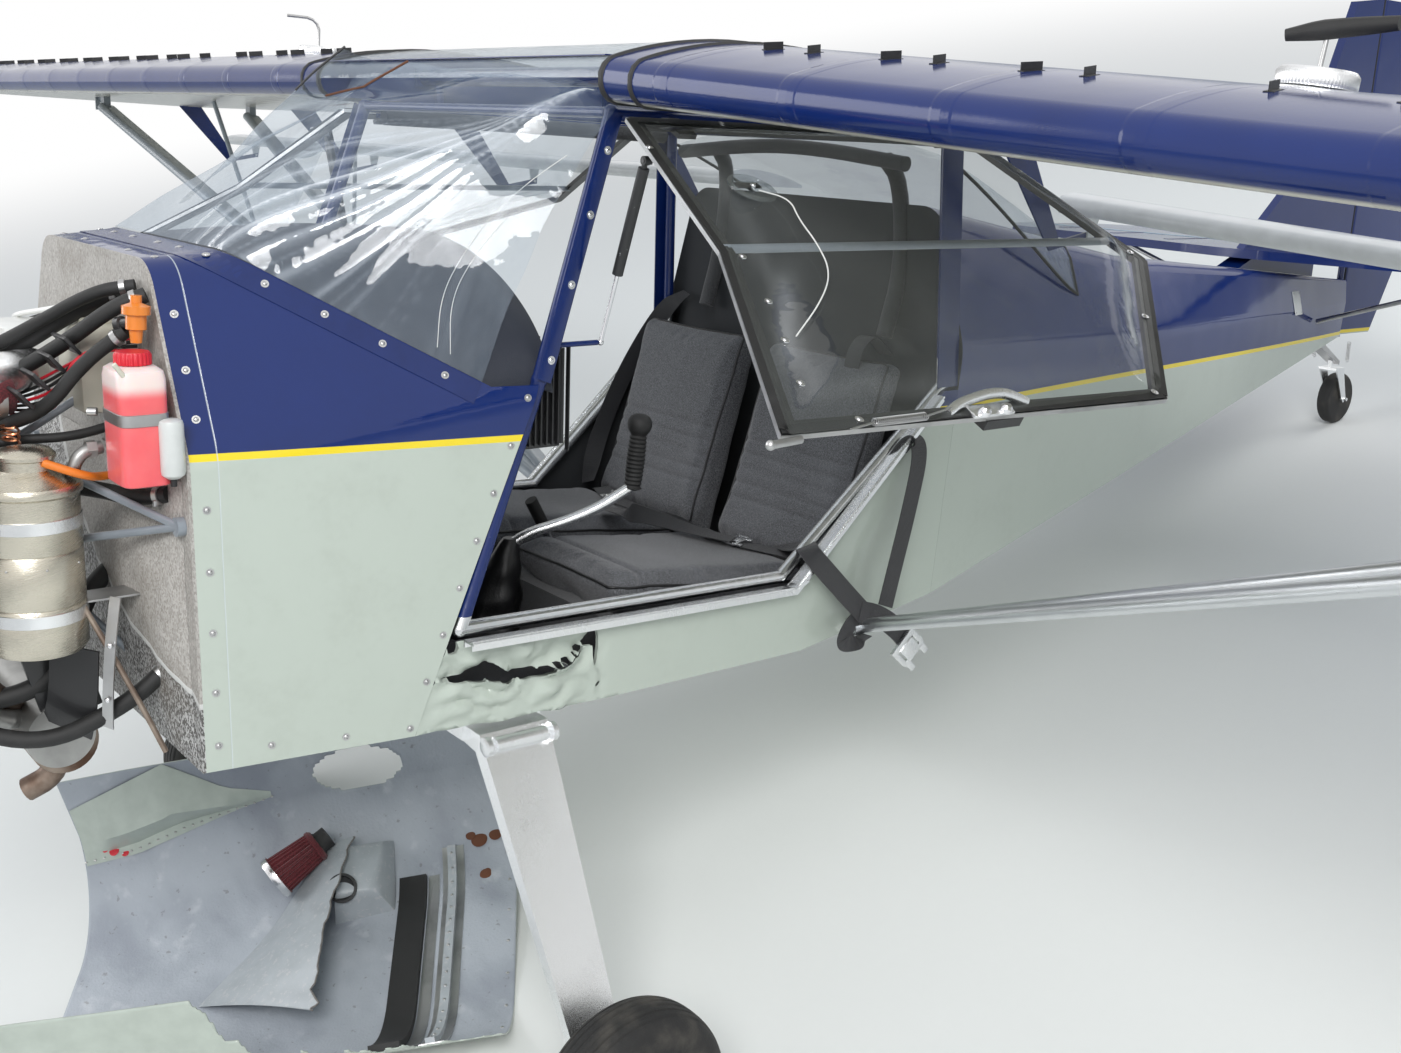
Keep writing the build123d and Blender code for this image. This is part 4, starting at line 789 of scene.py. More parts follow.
DRESSED = (
    ("firewall", "foil_padding", "foil_pad", 30),
    ("nose_skin", "nose_paint", "blue_sheet", 40),
    ("aft_fuselage", "hull_paint", "blue_cover", 40),
    ("frame_side_left", "frame_paint", "frame_paint", 50),
    ("frame_side_right", "frame_paint", "frame_paint", 50),
    ("frame_top", "blue_enamel", "frame_paint", 50),
    ("seat_pan", "carpet", "panel_grey", 30),
    ("rudder_pedals", "black_steel", "black_metal", 50),
    ("wing_left", "wing_cover", "blue_cover", 24),
    ("wing_right", "wing_cover", "blue_cover", 24),
    ("fin", "tail_cover", "blue_cover", 40),
    ("elevator", "tail_cover", "blue_cover", 40),
    ("rudder", "hull_paint", "blue_cover", 40),
    ("flaperon_left", "flap_silver", "flap_skin", 30),
    ("flaperon_right", "flap_silver", "flap_skin", 30),
    ("flap_hangers_left", "blue_enamel", "bare_alloy", 30),
    ("flap_hangers_right", "blue_enamel", "bare_alloy", 30),
    ("lift_struts_left", "strut_silver", "strut_alloy", 40),
    ("lift_struts_right", "mount_grey", "strut_alloy", 40),
    ("gear_leg_left", "polished_alloy", "bare_alloy", 40),
    ("gear_leg_right", "polished_alloy", "bare_alloy", 40),
    ("wheel_hub_left", "cast_alloy", "bare_alloy", 40),
    ("wheel_hub_right", "cast_alloy", "bare_alloy", 40),
    ("tail_braces", "steel", "steel", 50),
    ("tail_spring", "steel", "steel", 40),
    ("tail_wheel_fork", "polished_alloy", "steel", 40),
    ("tail_wheel", "tyre_rubber", "tyre_rubber", 50),
    ("engine", "cast_alloy", "engine_alloy", 40),
    ("engine_mount", "mount_grey", "mount_grey", 50),
    ("radiator", "black_anodised", "black_metal", 40),
    ("propeller", "blade_finish", "blade_finish", 40),
    ("spinner", "pale_enamel", "spinner_paint", 40),
    ("door_frame_left", "black_anodised", "door_edge", 35),
    ("door_frame_right", "black_anodised", "door_edge", 35),
    ("stay_cylinder_left", "black_steel", "stay_black", 50),
    ("stay_cylinder_right", "black_steel", "stay_black", 50),
    ("stay_rod_left", "chrome", "rod_chrome", 50),
    ("stay_rod_right", "chrome", "rod_chrome", 50),
    ("roof_glazing", "clear_roof", "glazing", 40),
)


def dress_all():
    for node, material, slot, angle in DRESSED:
        dress(node, material, angle)


# ---- Tub with the crushed sill ----

TEAR = ((0.407, 0.098, 0.0), (0.46, 0.092, 0.003), (0.506, 0.108, 0.013), (0.548, 0.085, 0.005),
    (0.614, 0.08, 0.006), (0.681, 0.106, 0.002), (0.733, 0.136, 0.006), (0.739, 0.085, 0.004),
    (0.747, 0.027, 0.0))
SIDE_X = 0.35
CRUSH_FRONT, CRUSH_REAR = 0.36, 0.8
CRUSH_Y, CRUSH_HALF_LENGTH = 0.57, 0.2
CRUSH_Z, CRUSH_HALF_HEIGHT = 0.075, 0.095
DENT_Y, DENT_Z, DENT_DEPTH = 1.5, 0.17, 0.014


def tear_gap(y, z):
    """A left-side place's distance from the tear, half the tear's width there, and which side it is on."""
    best = (9.0, 0.0, 0.0)
    for (y0, z0, w0), (y1, z1, w1) in zip(TEAR, TEAR[1:]):
        run = (y1 - y0) ** 2 + (z1 - z0) ** 2
        t = max(0.0, min(1.0, ((y - y0) * (y1 - y0) + (z - z0) * (z1 - z0)) / run))
        away = math.hypot(y - y0 - (y1 - y0) * t, z - z0 - (z1 - z0) * t)
        if away < best[0]:
            best = (away, w0 + (w1 - w0) * t, (y1 - y0) * (z - z0) - (z1 - z0) * (y - y0))
    return best


def make_tub():
    """The cabin tub, its left side crushed and torn above the landing gear."""
    bm = bmesh.new()
    bm.from_mesh(frame["nodes"]["cabin_tub"].data)
    bmesh.ops.remove_doubles(bm, verts=bm.verts, dist=2e-5)
    bmesh.ops.dissolve_limit(bm, angle_limit=0.004, verts=bm.verts, edges=bm.edges)
    bmesh.ops.transform(bm, matrix=TO_LEVEL, verts=bm.verts)

    def cut(axis, at, whole):
        """Cuts the crushed side, or all of the tub, on one plane."""
        near = []
        for f in bm.faces:
            c = f.calc_center_median()
            if whole or (c.x > 0.3 and CRUSH_FRONT < c.y < CRUSH_REAR):
                near.append(f)
        near += list({e for f in near for e in f.edges}) + list({v for f in near for v in f.verts})
        spot, way = [0.0] * 3, [0.0] * 3
        spot[axis], way[axis] = float(at), 1.0
        bmesh.ops.bisect_plane(bm, geom=near, dist=1e-6, plane_co=spot, plane_no=way)

    for y in (CRUSH_FRONT, CRUSH_REAR, 1.43, 1.47, 1.5, 1.53, 1.57):
        cut(1, y, True)
    for y in np.arange(0.368, CRUSH_REAR, 0.0085):
        cut(1, y, False)
    for z in np.arange(-0.03, 0.18, 0.0075):
        cut(2, z, False)
    gone = []
    for f in bm.faces:
        c = f.calc_center_median()
        if c.x > SIDE_X and CRUSH_FRONT < c.y < CRUSH_REAR:
            away, wide, _ = tear_gap(c.y, c.z)
            hole = math.hypot((c.y - 0.437) / 0.01, (c.z - 0.158) / 0.012) < 1
            if away < wide or hole:
                gone.append(f)
    bmesh.ops.delete(bm, geom=gone, context="FACES")
    torn = [v for v in bm.verts if v.is_boundary and v.co.x > SIDE_X and 0.38 < v.co.y < 0.79]
    for _ in range(3):
        bmesh.ops.smooth_vert(bm, verts=torn, factor=0.5, use_axis_x=True, use_axis_y=True, use_axis_z=True)
    for v in bm.verts:
        if v.co.x < SIDE_X:
            continue
        y, z = v.co.y, v.co.z
        reach = max(0.0, 1 - ((y - CRUSH_Y) / CRUSH_HALF_LENGTH) ** 4)
        reach *= max(0.0, 1 - ((z - CRUSH_Z) / CRUSH_HALF_HEIGHT) ** 4)
        if reach > 0 and abs(y - CRUSH_Y) < CRUSH_HALF_LENGTH:
            away, _, above = tear_gap(y, z)
            ridge = abs(noise.noise(Vector((0, y * 15 + z * 6, z * 22 - y * 7))))
            small = abs(noise.noise(Vector((3, y * 34 - z * 26, z * 36))))
            v.co.x += reach * (ridge * 0.034 + small * 0.006 - 0.013)
            v.co.x += reach * math.exp(-away / 0.022) * (-0.01 if above > 0 else 0.009)
            v.co.z += reach * 0.007 * noise.noise(Vector((7, y * 14, z * 7)))
        dent = math.hypot((y - DENT_Y) / 0.07, (z - DENT_Z) / 0.11)
        if dent < 1:
            v.co.x -= (1 - dent) ** 1.5 * DENT_DEPTH
    bmesh.ops.transform(bm, matrix=TO_ROW, verts=bm.verts)
    mesh = bpy.data.meshes.new("cabin_tub_dressed")
    bmesh.ops.triangulate(bm, faces=bm.faces)
    bm.to_mesh(mesh)
    bm.free()
    mesh.materials.append(finish("hull_paint"))
    settled(mesh, "cabin_tub_dressed", "airframe", ("cabin_tub",), 22)


# ---- Sills, pillars, seams and their screws ----

PILLAR_LOW, PILLAR_HIGH = (0.533, 0.606, 0.64), (0.506, 0.768, 1.108)
SCREEN_LINE = ((0.105, 0.868), (0.51, 0.634))
COWL_EDGE = ((0.367, 0.0), (0.597, 0.634))


def screen_base(turn, below=0.012):
    """A point of the windshield's seam on the nose skin; turn goes from -90, right, to 90, left."""
    (y0, z0), (y1, z1) = SCREEN_LINE
    ahead = Vector((0, y0 - y1, z0 - z1)).normalized()
    down = Vector((0, -ahead.z, ahead.y))
    if down.z > 0:
        down = -down
    centre = Vector((0, y1, z1)) + down * below
    a = math.radians(turn)
    way = Vector((math.sin(a), 0, 0)) + ahead * math.cos(a)
    return hit("nose_skin", centre + way * 1.5, -way)


def make_seams():
    """Screws along every seam of the nose and the pillars, and the blue strip under the windshield."""
    spots = []
    for s in (1, -1):
        for z in (0.045, 0.14, 0.245, 0.35, 0.455, 0.6, 0.675):
            spots.append(hit("nose_skin", (s * 2, 0.022, z), (-s, 0, 0)))
        for x in (0.12, 0.25, 0.33):
            spots.append(hit("nose_skin", (s * x, 0.022, 2), (0, 0, -1)))
        for k in range(8):
            t = 0.02 + k / 7 * 0.94
            (y0, z0), (y1, z1) = COWL_EDGE
            spots.append(hit("nose_skin", (s * 2, y0 + (y1 - y0) * t - 0.014, z0 + (z1 - z0) * t + 0.004),
                (-s, 0, 0)))
        for turn in (8, 20, 31, 42, 54, 67, 81):
            where, lean = screen_base(s * turn, 0.02)
            spots.append((where + lean * 0.0022, lean))
        spots += [hit("nose_skin", (s * 2, 0.11, 0.03), (-s, 0, 0)),
            hit("nose_skin", (s * 2, 0.24, 0.022), (-s, 0, 0))]
    screws("nose_screws", spots, "airframe", 0.0046, "steel")
    edge = Form()
    for s in (1, -1):
        rings = []
        for turn in np.linspace(0, 88, 40):
            rings.append([screen_base(s * turn, d)[0] + screen_base(s * turn, d)[1] * h for d,
                h in ((0.003, 0.0006), (0.003, 0.0022), (0.042, 0.0018), (0.042, 0.0006))])
        edge.skin(rings, "blue_enamel")
    edge.piece("screen_strip", "airframe", "blue_sheet")
    pillars, pins = Form(), []
    for s in (1, -1):
        low = Vector((s * PILLAR_LOW[0], *PILLAR_LOW[1:]))
        high = Vector((s * PILLAR_HIGH[0], *PILLAR_HIGH[1:]))
        along = (high - low).normalized()
        out = Vector((s, 0, 0))
        out = (out - along * out.dot(along)).normalized()
        wide = along.cross(out).normalized()
        fore, aft = (0.019, 0.013)[::s]
        rings = []
        for p in (low, high):
            rings.append([p + wide * w + out * o for w, o in ((-fore, -0.0005), (aft, -0.0005),
                (aft, 0.001), (aft * 0.8, 0.0025), (-fore * 0.8, 0.0025), (-fore, 0.001))])
        pillars.skin(rings, "blue_enamel")
        for t in (0.08, 0.36, 0.62, 0.86):
            pins.append((low + (high - low) * t + out * 0.0025, out))
        rear_low, rear_high = Vector((s * 0.527, 1.672, 0.553)), Vector((s * 0.507, 1.65, 1.075))
        rings = []
        for p in (rear_low, rear_high):
            rings.append([p + Vector((s * a, b, 0)) for a, b in ((-0.0005, -0.034), (-0.0005, 0.03),
                (0.003, 0.03), (0.003, -0.034))])
        pillars.skin(rings, "blue_enamel")
    pillars.piece("pillar_strips", "airframe", "frame_paint")
    screws("pillar_screws", pins)
    sills, low_form = Form(), Form()
    for s in (1, -1):
        path = [Vector((s * 0.533, y, z + 0.004)) for y, z in ((0.452, 0.172), (1.236, 0.151),
            (1.64, 0.532))]
        sills.strap(path, 0.034, "polished_alloy", 0.004, across=(1, 0, 0), smooth=0)
        outer = [p + Vector((s * 0.0105, 0, -0.004)) for p in path]
        sills.strap(outer, 0.018, "polished_alloy", 0.003, across=((0, 0, 1), (0, 0, 1), (0, -1, 1)),
            smooth=0)
        inner = [p + Vector((-s * 0.017, 0, -0.006)) for p in path]
        sills.strap(inner, 0.014, "polished_alloy", 0.003, across=((0, 0, 1), (0, 0, 1), (0, -1, 1)),
            smooth=0)
        low_form.block((s * 0.534, 1.243, 0.16), (0.03, 0.05, 0.006), "polished_alloy",
            Matrix.Rotation(math.radians(22), 4, "X"), 0.001)
    sills.piece("sill_channels", "airframe", "bare_alloy")
    low_form.piece("sill_corners", "airframe", "bare_alloy")


# ---- Windshield, roof edge and rear window ----

TEAR_AT = 0.53
FAN_TOP, FAN_OUT = Vector((0.5, 0.7, 1.165)), Vector((0.25, -0.75, 0.6)).normalized()
FAN_ACROSS = (Vector((-1, 0, 0)) + FAN_OUT * FAN_OUT.x).normalized()
FAN_DOWN = FAN_OUT.cross(FAN_ACROSS)
FOLDS = ((31, 0.016, 0.005), (26, 0.01, 0.004), (37, 0.009, 0.004), (44, 0.008, 0.005), (19, 0.009, 0.005),
    (51, 0.004, 0.003), (10, 0.006, 0.004), (58, 0.003, 0.003))


def screen_point(u, v):
    """A point of the sprung windshield: u from right pillar to left one, v from its foot to its top."""
    foot, lean = screen_base(-88 + 176 * u, 0.001)
    foot = foot + lean * 0.004
    c = 2 * u - 1
    held = Vector((c * 0.535, 0.7 + 0.055 * abs(c) ** 6, 1.176 - 0.05 * abs(c) ** 8))
    pop = math.exp(-((u - 0.53) / (0.12 if u < 0.53 else 0.17)) ** 2)
    if u > TEAR_AT:
        pop *= 1 - max(0.0, min(1.0, (v - 0.62) / 0.2)) * min(1.0, 0.55 + (u - TEAR_AT) * 6)
    top = held + Vector((0.02, -0.235, 0.032)) * pop
    p = foot.lerp(top, v)
    loose = max(0.0, min(1.0, (u - 0.46) / 0.3))
    p += Vector((c * 0.5, -0.7, 0.55)).normalized() * math.sin(math.pi * v) * (0.01 + 0.04 * loose)
    wave = noise.noise(Vector((u * 5, v * 4, 2))) * 0.012
    return p + Vector((0.2 * c, -0.7, 0.6)) * wave * math.sin(math.pi * min(1, v * 1.02))


def fan(p):
    """Direction and distance of a point from the corner that the folds fan out of."""
    d = p - FAN_TOP
    return math.atan2(d.dot(FAN_DOWN), d.dot(FAN_ACROSS)), math.hypot(d.dot(FAN_DOWN), d.dot(FAN_ACROSS))


def crease_and_painted_reflection(p, feet):
    """How far the sheet is pushed out by its sharp folds, and how much painted reflection whitens it there."""
    turn, far = fan(p)
    run = min(1.0, far / 0.8)
    fade = math.sin(math.pi * (0.1 + 0.84 * run)) ** 0.6
    push, white = 0.0, 0.0
    for foot, height, width in feet:
        away = abs(turn - foot) * far
        push += height * math.exp(-away / (width * 3)) * fade
        # painted reflection: a white line along each fold
        white += 0.8 * height / 0.016 * math.exp(-((away / (width * (0.5 + run))) ** 2)) * fade
    # painted sheen: fine streaks fanning from the corner, strongest in a broad band round the first fold
    fine = noise.noise(Vector((turn * 70, far * 1.2, 0))) + 0.7 * noise.noise(Vector((turn * 210,
        far * 1.7, 4)))
    painted_sheen = math.exp(-((turn - feet[0][0]) / 0.3) ** 2) * 0.75 + 0.12
    white += max(0.0, fine - 0.12) * painted_sheen * 0.75 + 0.05 * painted_sheen
    return FAN_OUT * push, min(1.0, white)


def make_screen():
    """The sprung and creased windshield with painted reflection and sheen, split beside its peak, with fine cracks
    near the left pillar.
    """
    columns, rows = 240, 100
    feet = [(fan(screen_base(turn, 0.001)[0])[0], height, width) for turn, height, width in FOLDS]
    grid, painted_reflection_at_points = [], []
    for i in range(columns + 1):
        line = []
        for j in range(rows + 1):
            p = screen_point(i / columns, j / rows)
            push, white = crease_and_painted_reflection(p, feet)
            held = math.sin(math.pi * min(1.0, j / rows * 1.02)) ** 0.3 if 0 < j < rows else 0.0
            line.append(p + push * held)
            painted_reflection_at_points.append(white)
        grid.append(line)
    tear_column = int(TEAR_AT * columns) + 1
    faces = []
    for i in range(columns):
        for j in range(rows):
            if i == tear_column - 1 and j > rows * 0.74:
                continue
            a = i * (rows + 1) + j
            faces.append((a, a + rows + 1, a + rows + 2, a + 1))
    mesh = bpy.data.meshes.new("windshield_sheet")
    mesh.from_pydata([tuple(row(p)) for line in grid for p in line], [], faces)
    # the painted reflection and sheen values go on the sheet for its clear_screen finish
    mesh.attributes.new("crease_and_painted_reflection", "FLOAT", "POINT").data.foreach_set("value", painted_reflection_at_points)
    mesh.materials.append(finish("clear_screen"))
    settled(mesh, "windshield_sheet", "airframe", ("windshield",), 70)
    lip = Form()
    for column, name in ((tear_column, "rust"), (tear_column - 1, "black_plastic")):
        edge = [grid[column][j] + Vector((0, -0.001, 0.001)) for j in range(int(rows * 0.74), rows + 1)]
        lip.tube(edge, 0.0022, name, 6)
    for shift, reach in ((0.0, 6), (0.014, 4)):
        spots = ((0.945, 0.03), (0.925, 0.17), (0.93, 0.32), (0.945, 0.47), (0.965, 0.62),
            (0.985, 0.74))[:reach]
        crack = [grid[int((u + shift) * columns)][int(v * rows)] + FAN_OUT * 0.001 for u, v in spots]
        lip.tube(crack, 0.0007, "white_plastic", 5, 3)
    lip.piece("screen_tear_edges", "airframe", "glazing")


def make_rear_window():
    """The clear sheet from the rear cross bar down to the deck, with its rubber edge."""
    pane, edge = Form(), Form()
    rings = []
    for t in np.linspace(0, 1, 12):
        half = 0.485 - 0.1 * t
        y = 1.665 + 0.62 * t
        ring = []
        for c in np.linspace(-1, 1, 24):
            x = c * half
            z_deck = hit("aft_fuselage", (x, max(y, 1.71), 2), (0, 0, -1))[0].z + 0.006
            z_top = 1.09 - 0.045 * abs(c) ** 3
            ring.append(Vector((x, y, z_top * (1 - t) ** 1.25 + z_deck * (1 - (1 - t) ** 1.25))))
        rings.append(ring)
    pane.skin(rings, "clear_roof", closed=False)
    pane.piece("rear_window", "airframe", "glazing", angle=80)
    edge.tube([r[0] for r in rings] + rings[-1][1:] + [r[-1] for r in reversed(rings[:-1])], 0.004,
        "black_rubber", 8)
    edge.piece("rear_window_edge", "airframe", "door_edge")


def section_points(node, x, front, back, steps=26):
    """Points round a wing at x with the surface's way out: from the back over the nose to the back below."""
    spots = []
    for upper in (True, False):
        share = np.linspace(1, 0.004, steps) ** 1.6 if upper else np.linspace(0.004, 1, steps) ** 1.6
        for t in share:
            y = front + (back - front) * float(t)
            start = (x, y, 2.4 if upper else 0.4)
            spots.append(hit(node, start, (0, 0, -1 if upper else 1)))
    return spots


def make_wing_trim():
    """Rubber seals at the wing roots, fuel caps with their vents, and blue bands over the roof."""
    seals, caps, vents = Form(), Form(), Form()
    for side, s in SIDES:
        for x, wide in ((0.566, 0.009), (0.652, 0.007)):
            ring = section_points(f"wing_{side}", s * x, 0.691, 1.7)
            rings = []
            for p, n in ring:
                across = Vector((1, 0, 0))
                rings.append([p - across * wide - n * 0.002, p - across * wide * 0.5 + n * 0.004,
                    p + across * wide * 0.5 + n * 0.004, p + across * wide - n * 0.002])
            seals.skin(rings, "black_rubber")
        x, y = (1.645, 1.1) if s > 0 else (-1.351, 1.05)
        p, n = hit(f"wing_{side}", (x, y, 2.4), (0, 0, -1))
        caps.lathe(p - n * 0.002, n, [(0.0001, 0), (0.066, 0), (0.066, 0.004), (0.054, 0.006),
            (0.0001, 0.006)], "polished_alloy", 40)
        teeth = 72
        rim = []
        for z, r in ((0.006, 0.052), (0.01, 0.054), (0.024, 0.054), (0.03, 0.049), (0.031, 0.0001)):
            ring = []
            turn = n.to_track_quat("Z", "Y").to_matrix()
            for i in range(teeth * 2):
                a = math.pi * i / teeth
                rr = r - (0.0016 if i % 2 and 0.008 < z < 0.026 else 0.0)
                ring.append(p + turn @ Vector((rr * math.cos(a), rr * math.sin(a), z)))
            rim.append(ring)
        caps.skin(rim, "polished_alloy")
        top = p + n * 0.03
        if s > 0:
            caps.tube([top, top + n * 0.052], 0.0035, "steel", 10)
            bent = top + n * 0.052
            vents.tube([bent + Vector((-0.05, -0.02, -0.008)), bent, bent + Vector((0.09, 0.012, 0.006))],
                0.012, "black_rubber", 12, 2, radii=((0, 0.008), (0.3, 0.0135), (0.7, 0.012), (1, 0.0095)))
        else:
            caps.tube([top, top + n * 0.075, top + n * 0.075 + Vector((-0.02, -0.085, 0.004))], 0.004,
                "steel", 10, 2)
    seals.piece("wing_root_seals", "airframe", "door_edge")
    caps.piece("fuel_caps", "airframe", "bare_alloy")
    vents.piece("fuel_vent", "airframe", "door_edge")
    roof = Form()
    for y in (0.72, 1.14, 1.54):
        pts = [hit("roof_glazing", (x, y, 2.4), (0, 0, -1))[0] + Vector((0, 0,
            0.002)) for x in np.linspace(-0.55, 0.55, 12)]
        roof.strap(pts, 0.022, "blue_enamel", 0.002, across=(0, 1, 0), smooth=0)
    roof.piece("roof_bands", "airframe", "blue_sheet")


def make_vanes():
    """Pairs of small upright vanes along the front of both wings."""
    look = bpy.context.scene.microlight_trim
    for side, s in SIDES:
        spots = []
        for k in range(13):
            for j, yaw in ((0, 14), (1, -14)):
                x = 0.805 + k * look.vane_pitch + j * 0.1
                if x > 4.35 or abs(x - 1.645) < 0.03:
                    continue
                p, n = hit(f"wing_{side}", (s * x, 0.87, 2.4), (0, 0, -1))
                a = math.radians(yaw)
                spots.append((p, n, Vector((math.sin(a), math.cos(a), -0.05))))
        sizes = {"Thickness": 0.0014, "Length": 0.036, "Height": look.vane_height, "Foot Width": 0.014}
        field(f"wing_vanes_{side}", "vane", spots, sizes, "black_plastic", "airframe")


# ---- Doors ----

DOOR_HINGE, DOOR_OPEN, DOOR_FACE = (0.536, 1.092), 64.0, 0.5563
DOOR_FRONT = ((0.158, 0.436), (0.182, 0.436), (0.626, 0.648), (1.071, 0.752))
DOOR_REAR = ((0.158, 1.235), (0.56, 1.65), (1.05, 1.622), (1.071, 1.6))


def door_turn(s):
    """From the closed door to where it stands open, on the side of that sign."""
    hinge = Vector((s * DOOR_HINGE[0], 0, DOOR_HINGE[1]))
    return Matrix.Translation(hinge) @ Matrix.Rotation(math.radians(-s * DOOR_OPEN), 4,
        "Y") @ Matrix.Translation(-hinge)


def door_edge(table, z):
    """How far back a side edge of the door is at that height."""
    return float(np.interp(z, [t[0] for t in table], [t[1] for t in table]))


def bubble(y, z, foot=0.012):
    """How far the door's window is blown outwards at that place."""
    front, rear = door_edge(DOOR_FRONT, z), door_edge(DOOR_REAR, z)
    low = 0.182 + (0.158 - 0.182) * max(0.0, min(1.0, (y - 0.436) / 0.8))
    if y > 1.235:
        low = 0.158 + (y - 1.235) * 0.969
    away = min((y - front) * 0.9, (rear - y) * (0.72 if z < 0.56 else 1.0),
        (z - low) * (0.75 if y > 1.235 else 1.0), 1.062 - z)
    t = max(0.0, min(1.0, (away - foot - 0.014) / 0.1))
    return 0.0455 * t * t * (3 - 2 * t), away


def make_doors():
    """Blown windows with painted reflections, in dark frames, with vents, cross tubes, latches, springs, cables
    and screws.
    """
    for side, s in SIDES:
        turn = TO_ROW @ door_turn(s)
        pane = Form()
        rows, columns = 72, 72
        rings = []
        for j in range(rows + 1):
            z = 0.172 + (1.056 - 0.172) * j / rows
            front, rear = door_edge(DOOR_FRONT, z) + 0.01, door_edge(DOOR_REAR, z) - 0.01
            if j == 0:
                rear = 1.225
            ring = []
            for i in range(columns + 1):
                y = front + (rear - front) * i / columns
                lift, _ = bubble(y, z)
                ripple = noise.noise(Vector((s, y * 6, z * 6))) * 0.002
                ring.append(Vector((s * (DOOR_FACE + 0.0012 + lift + ripple * min(1, lift * 60)), y, z)))
            rings.append(ring)
        pane.skin(rings, "clear_door", closed=False)
        mesh_piece = pane.piece(f"door_pane_{side}", f"door_{side}", "glazing", (f"door_window_{side}",),
            80, turn)
        # painted reflection on the pane: a bright band round the shoulder of the bulge, strongest low at the rear,
        # and a faint slanting sheen streak
        painted_reflection_at_points = []
        for v in mesh_piece.data.vertices:
            p = turn.inverted() @ v.co
            away = bubble(p.y, p.z)[1]
            ripple = 0.014 * noise.noise(Vector((p.y * 9, p.z * 9, s)))
            strong = 0.95 if p.y > 1.3 and p.z < 0.62 else 0.12
            flash = math.exp(-((away - 0.06 + ripple) / 0.013) ** 2) * strong
            sheen = math.exp(-((p.y - 0.34 - 0.66 * p.z) / 0.022) ** 2 - ((p.z - 0.42) / 0.11) ** 4)
            painted_reflection_at_points.append(min(1.0, flash + sheen * 0.2))
        mesh_piece.data.attributes.new("crease_and_painted_reflection", "FLOAT", "POINT").data.foreach_set("value", painted_reflection_at_points)
        trim = Form()
        tube = [(s * (DOOR_FACE - 0.006), 0.662, 0.64), (s * (DOOR_FACE - 0.006), 1.632, 0.64)]
        trim.tube(tube, 0.0075, "mount_grey", 12)
        for y in (0.664, 1.63):
            trim.block((s * (DOOR_FACE - 0.006), y, 0.64), (0.004, 0.026, 0.018), "mount_grey", None, 0.002)
        lining = [Vector((s * (DOOR_FACE + 0.0004), y, z)) for y, z in ((0.752, 1.062), (0.655, 0.626),
            (0.445, 0.188), (1.232, 0.166), (1.642, 0.562), (1.615, 1.046))]
        for a, b in zip(lining, lining[1:] + lining[:1]):
            trim.strap([a, b], 0.019, "black_rubber", 0.0012, across=Vector((s, 0,
                0)).cross(b - a).normalized(), smooth=0)
        rim = [Vector((s * (DOOR_FACE - 0.0065), y, z)) for y, z in ((0.7495, 1.0735), (0.6457, 0.6265),
            (0.4325, 0.1795), (1.2365, 0.1555), (1.6525, 0.5595), (1.6245, 1.0525))]
        for a, b in zip(rim, rim[1:] + rim[:1]):
            trim.strap([a, b], 0.008, "rail_alloy", 0.0012, across=(1, 0, 0), smooth=0)
        trim.piece(f"door_trim_{side}", f"door_{side}", "door_edge", place=turn)
        vent_at = Vector((s * (DOOR_FACE + 0.001 + bubble(0.785, 0.752)[0]), 0.785, 0.752))
        vent = Form()
        vent.lathe(vent_at, (s, 0, 0), [(0.036, -0.001), (0.043, 0.0), (0.043, 0.004), (0.037, 0.006),
            (0.035, 0.002), (0.036, -0.001)], "clear_door", 40)
        vent.block(vent_at + Vector((s * 0.003, -0.006, 0.006)), (0.003, 0.05, 0.016), "black_plastic",
            None, 0.001)
        scoop = []
        for t in np.linspace(0, math.pi, 9):
            scoop.append([vent_at + Vector((s * (0.003 + 0.018 * math.sin(t) * k), 0.032 * math.cos(t),
                0.022 - 0.04 * k)) for k in (0.15, 0.5, 0.8, 1.0)])
        vent.skin(scoop, "clear_door", closed=False)
        vent.ball(vent_at + Vector((s * 0.006, 0, 0)), 0.005, "chrome")
        cable = []
        for wy, wz, off in ((0.785, 0.735, 0.006), (0.79, 0.668, 0.022), (0.763, 0.607, 0.022),
                (0.744, 0.534, 0.02), (0.711, 0.457, 0.018), (0.655, 0.402, 0.012), (0.593, 0.366, 0.004)):
            cable.append((s * (DOOR_FACE + bubble(wy, wz)[0] + off), wy, wz))
        vent.tube(cable, 0.0012, "white_plastic", 6, 3)
        vent.piece(f"door_vent_{side}", f"door_{side}", "door_edge", place=turn)
        latch = Form()
        lx = DOOR_FACE + 0.002
        latch.tube([(s * lx, 0.742, 0.18), (s * (lx + 0.01), 0.775, 0.19), (s * (lx + 0.016), 0.86, 0.198),
            (s * lx, 0.915, 0.185)], 0.008, "polished_alloy", 12, 2)
        latch.block((s * (lx + 0.003), 0.822, 0.172), (0.006, 0.085, 0.026), "polished_alloy", None, 0.002)
        for y in (0.8, 0.846):
            latch.lathe((s * (lx + 0.005), y, 0.164), (s, 0, 0), [(0.0001, 0), (0.0095, 0),
                (0.0095, 0.007), (0.006, 0.011), (0.0001, 0.011)], "chrome", 16)
        coil = []
        for i in range(26 * 8):
            a = 2 * math.pi * i / 8
            t = i / (26 * 8)
            coil.append((s * (lx + 0.008 + 0.0055 * math.cos(a)), 0.585 + 0.1 * t,
                0.17 + 0.0055 * math.sin(a)))
        latch.tube(coil, 0.001, "steel", 5)
        latch.tube([(s * (lx + 0.008), 0.685, 0.17), (s * (lx + 0.009), 0.745, 0.18)], 0.0016, "steel", 6)
        latch.tube([(s * (lx + 0.008), 0.585, 0.17), (s * (lx + 0.004), 0.54, 0.166)], 0.0016, "steel", 6)
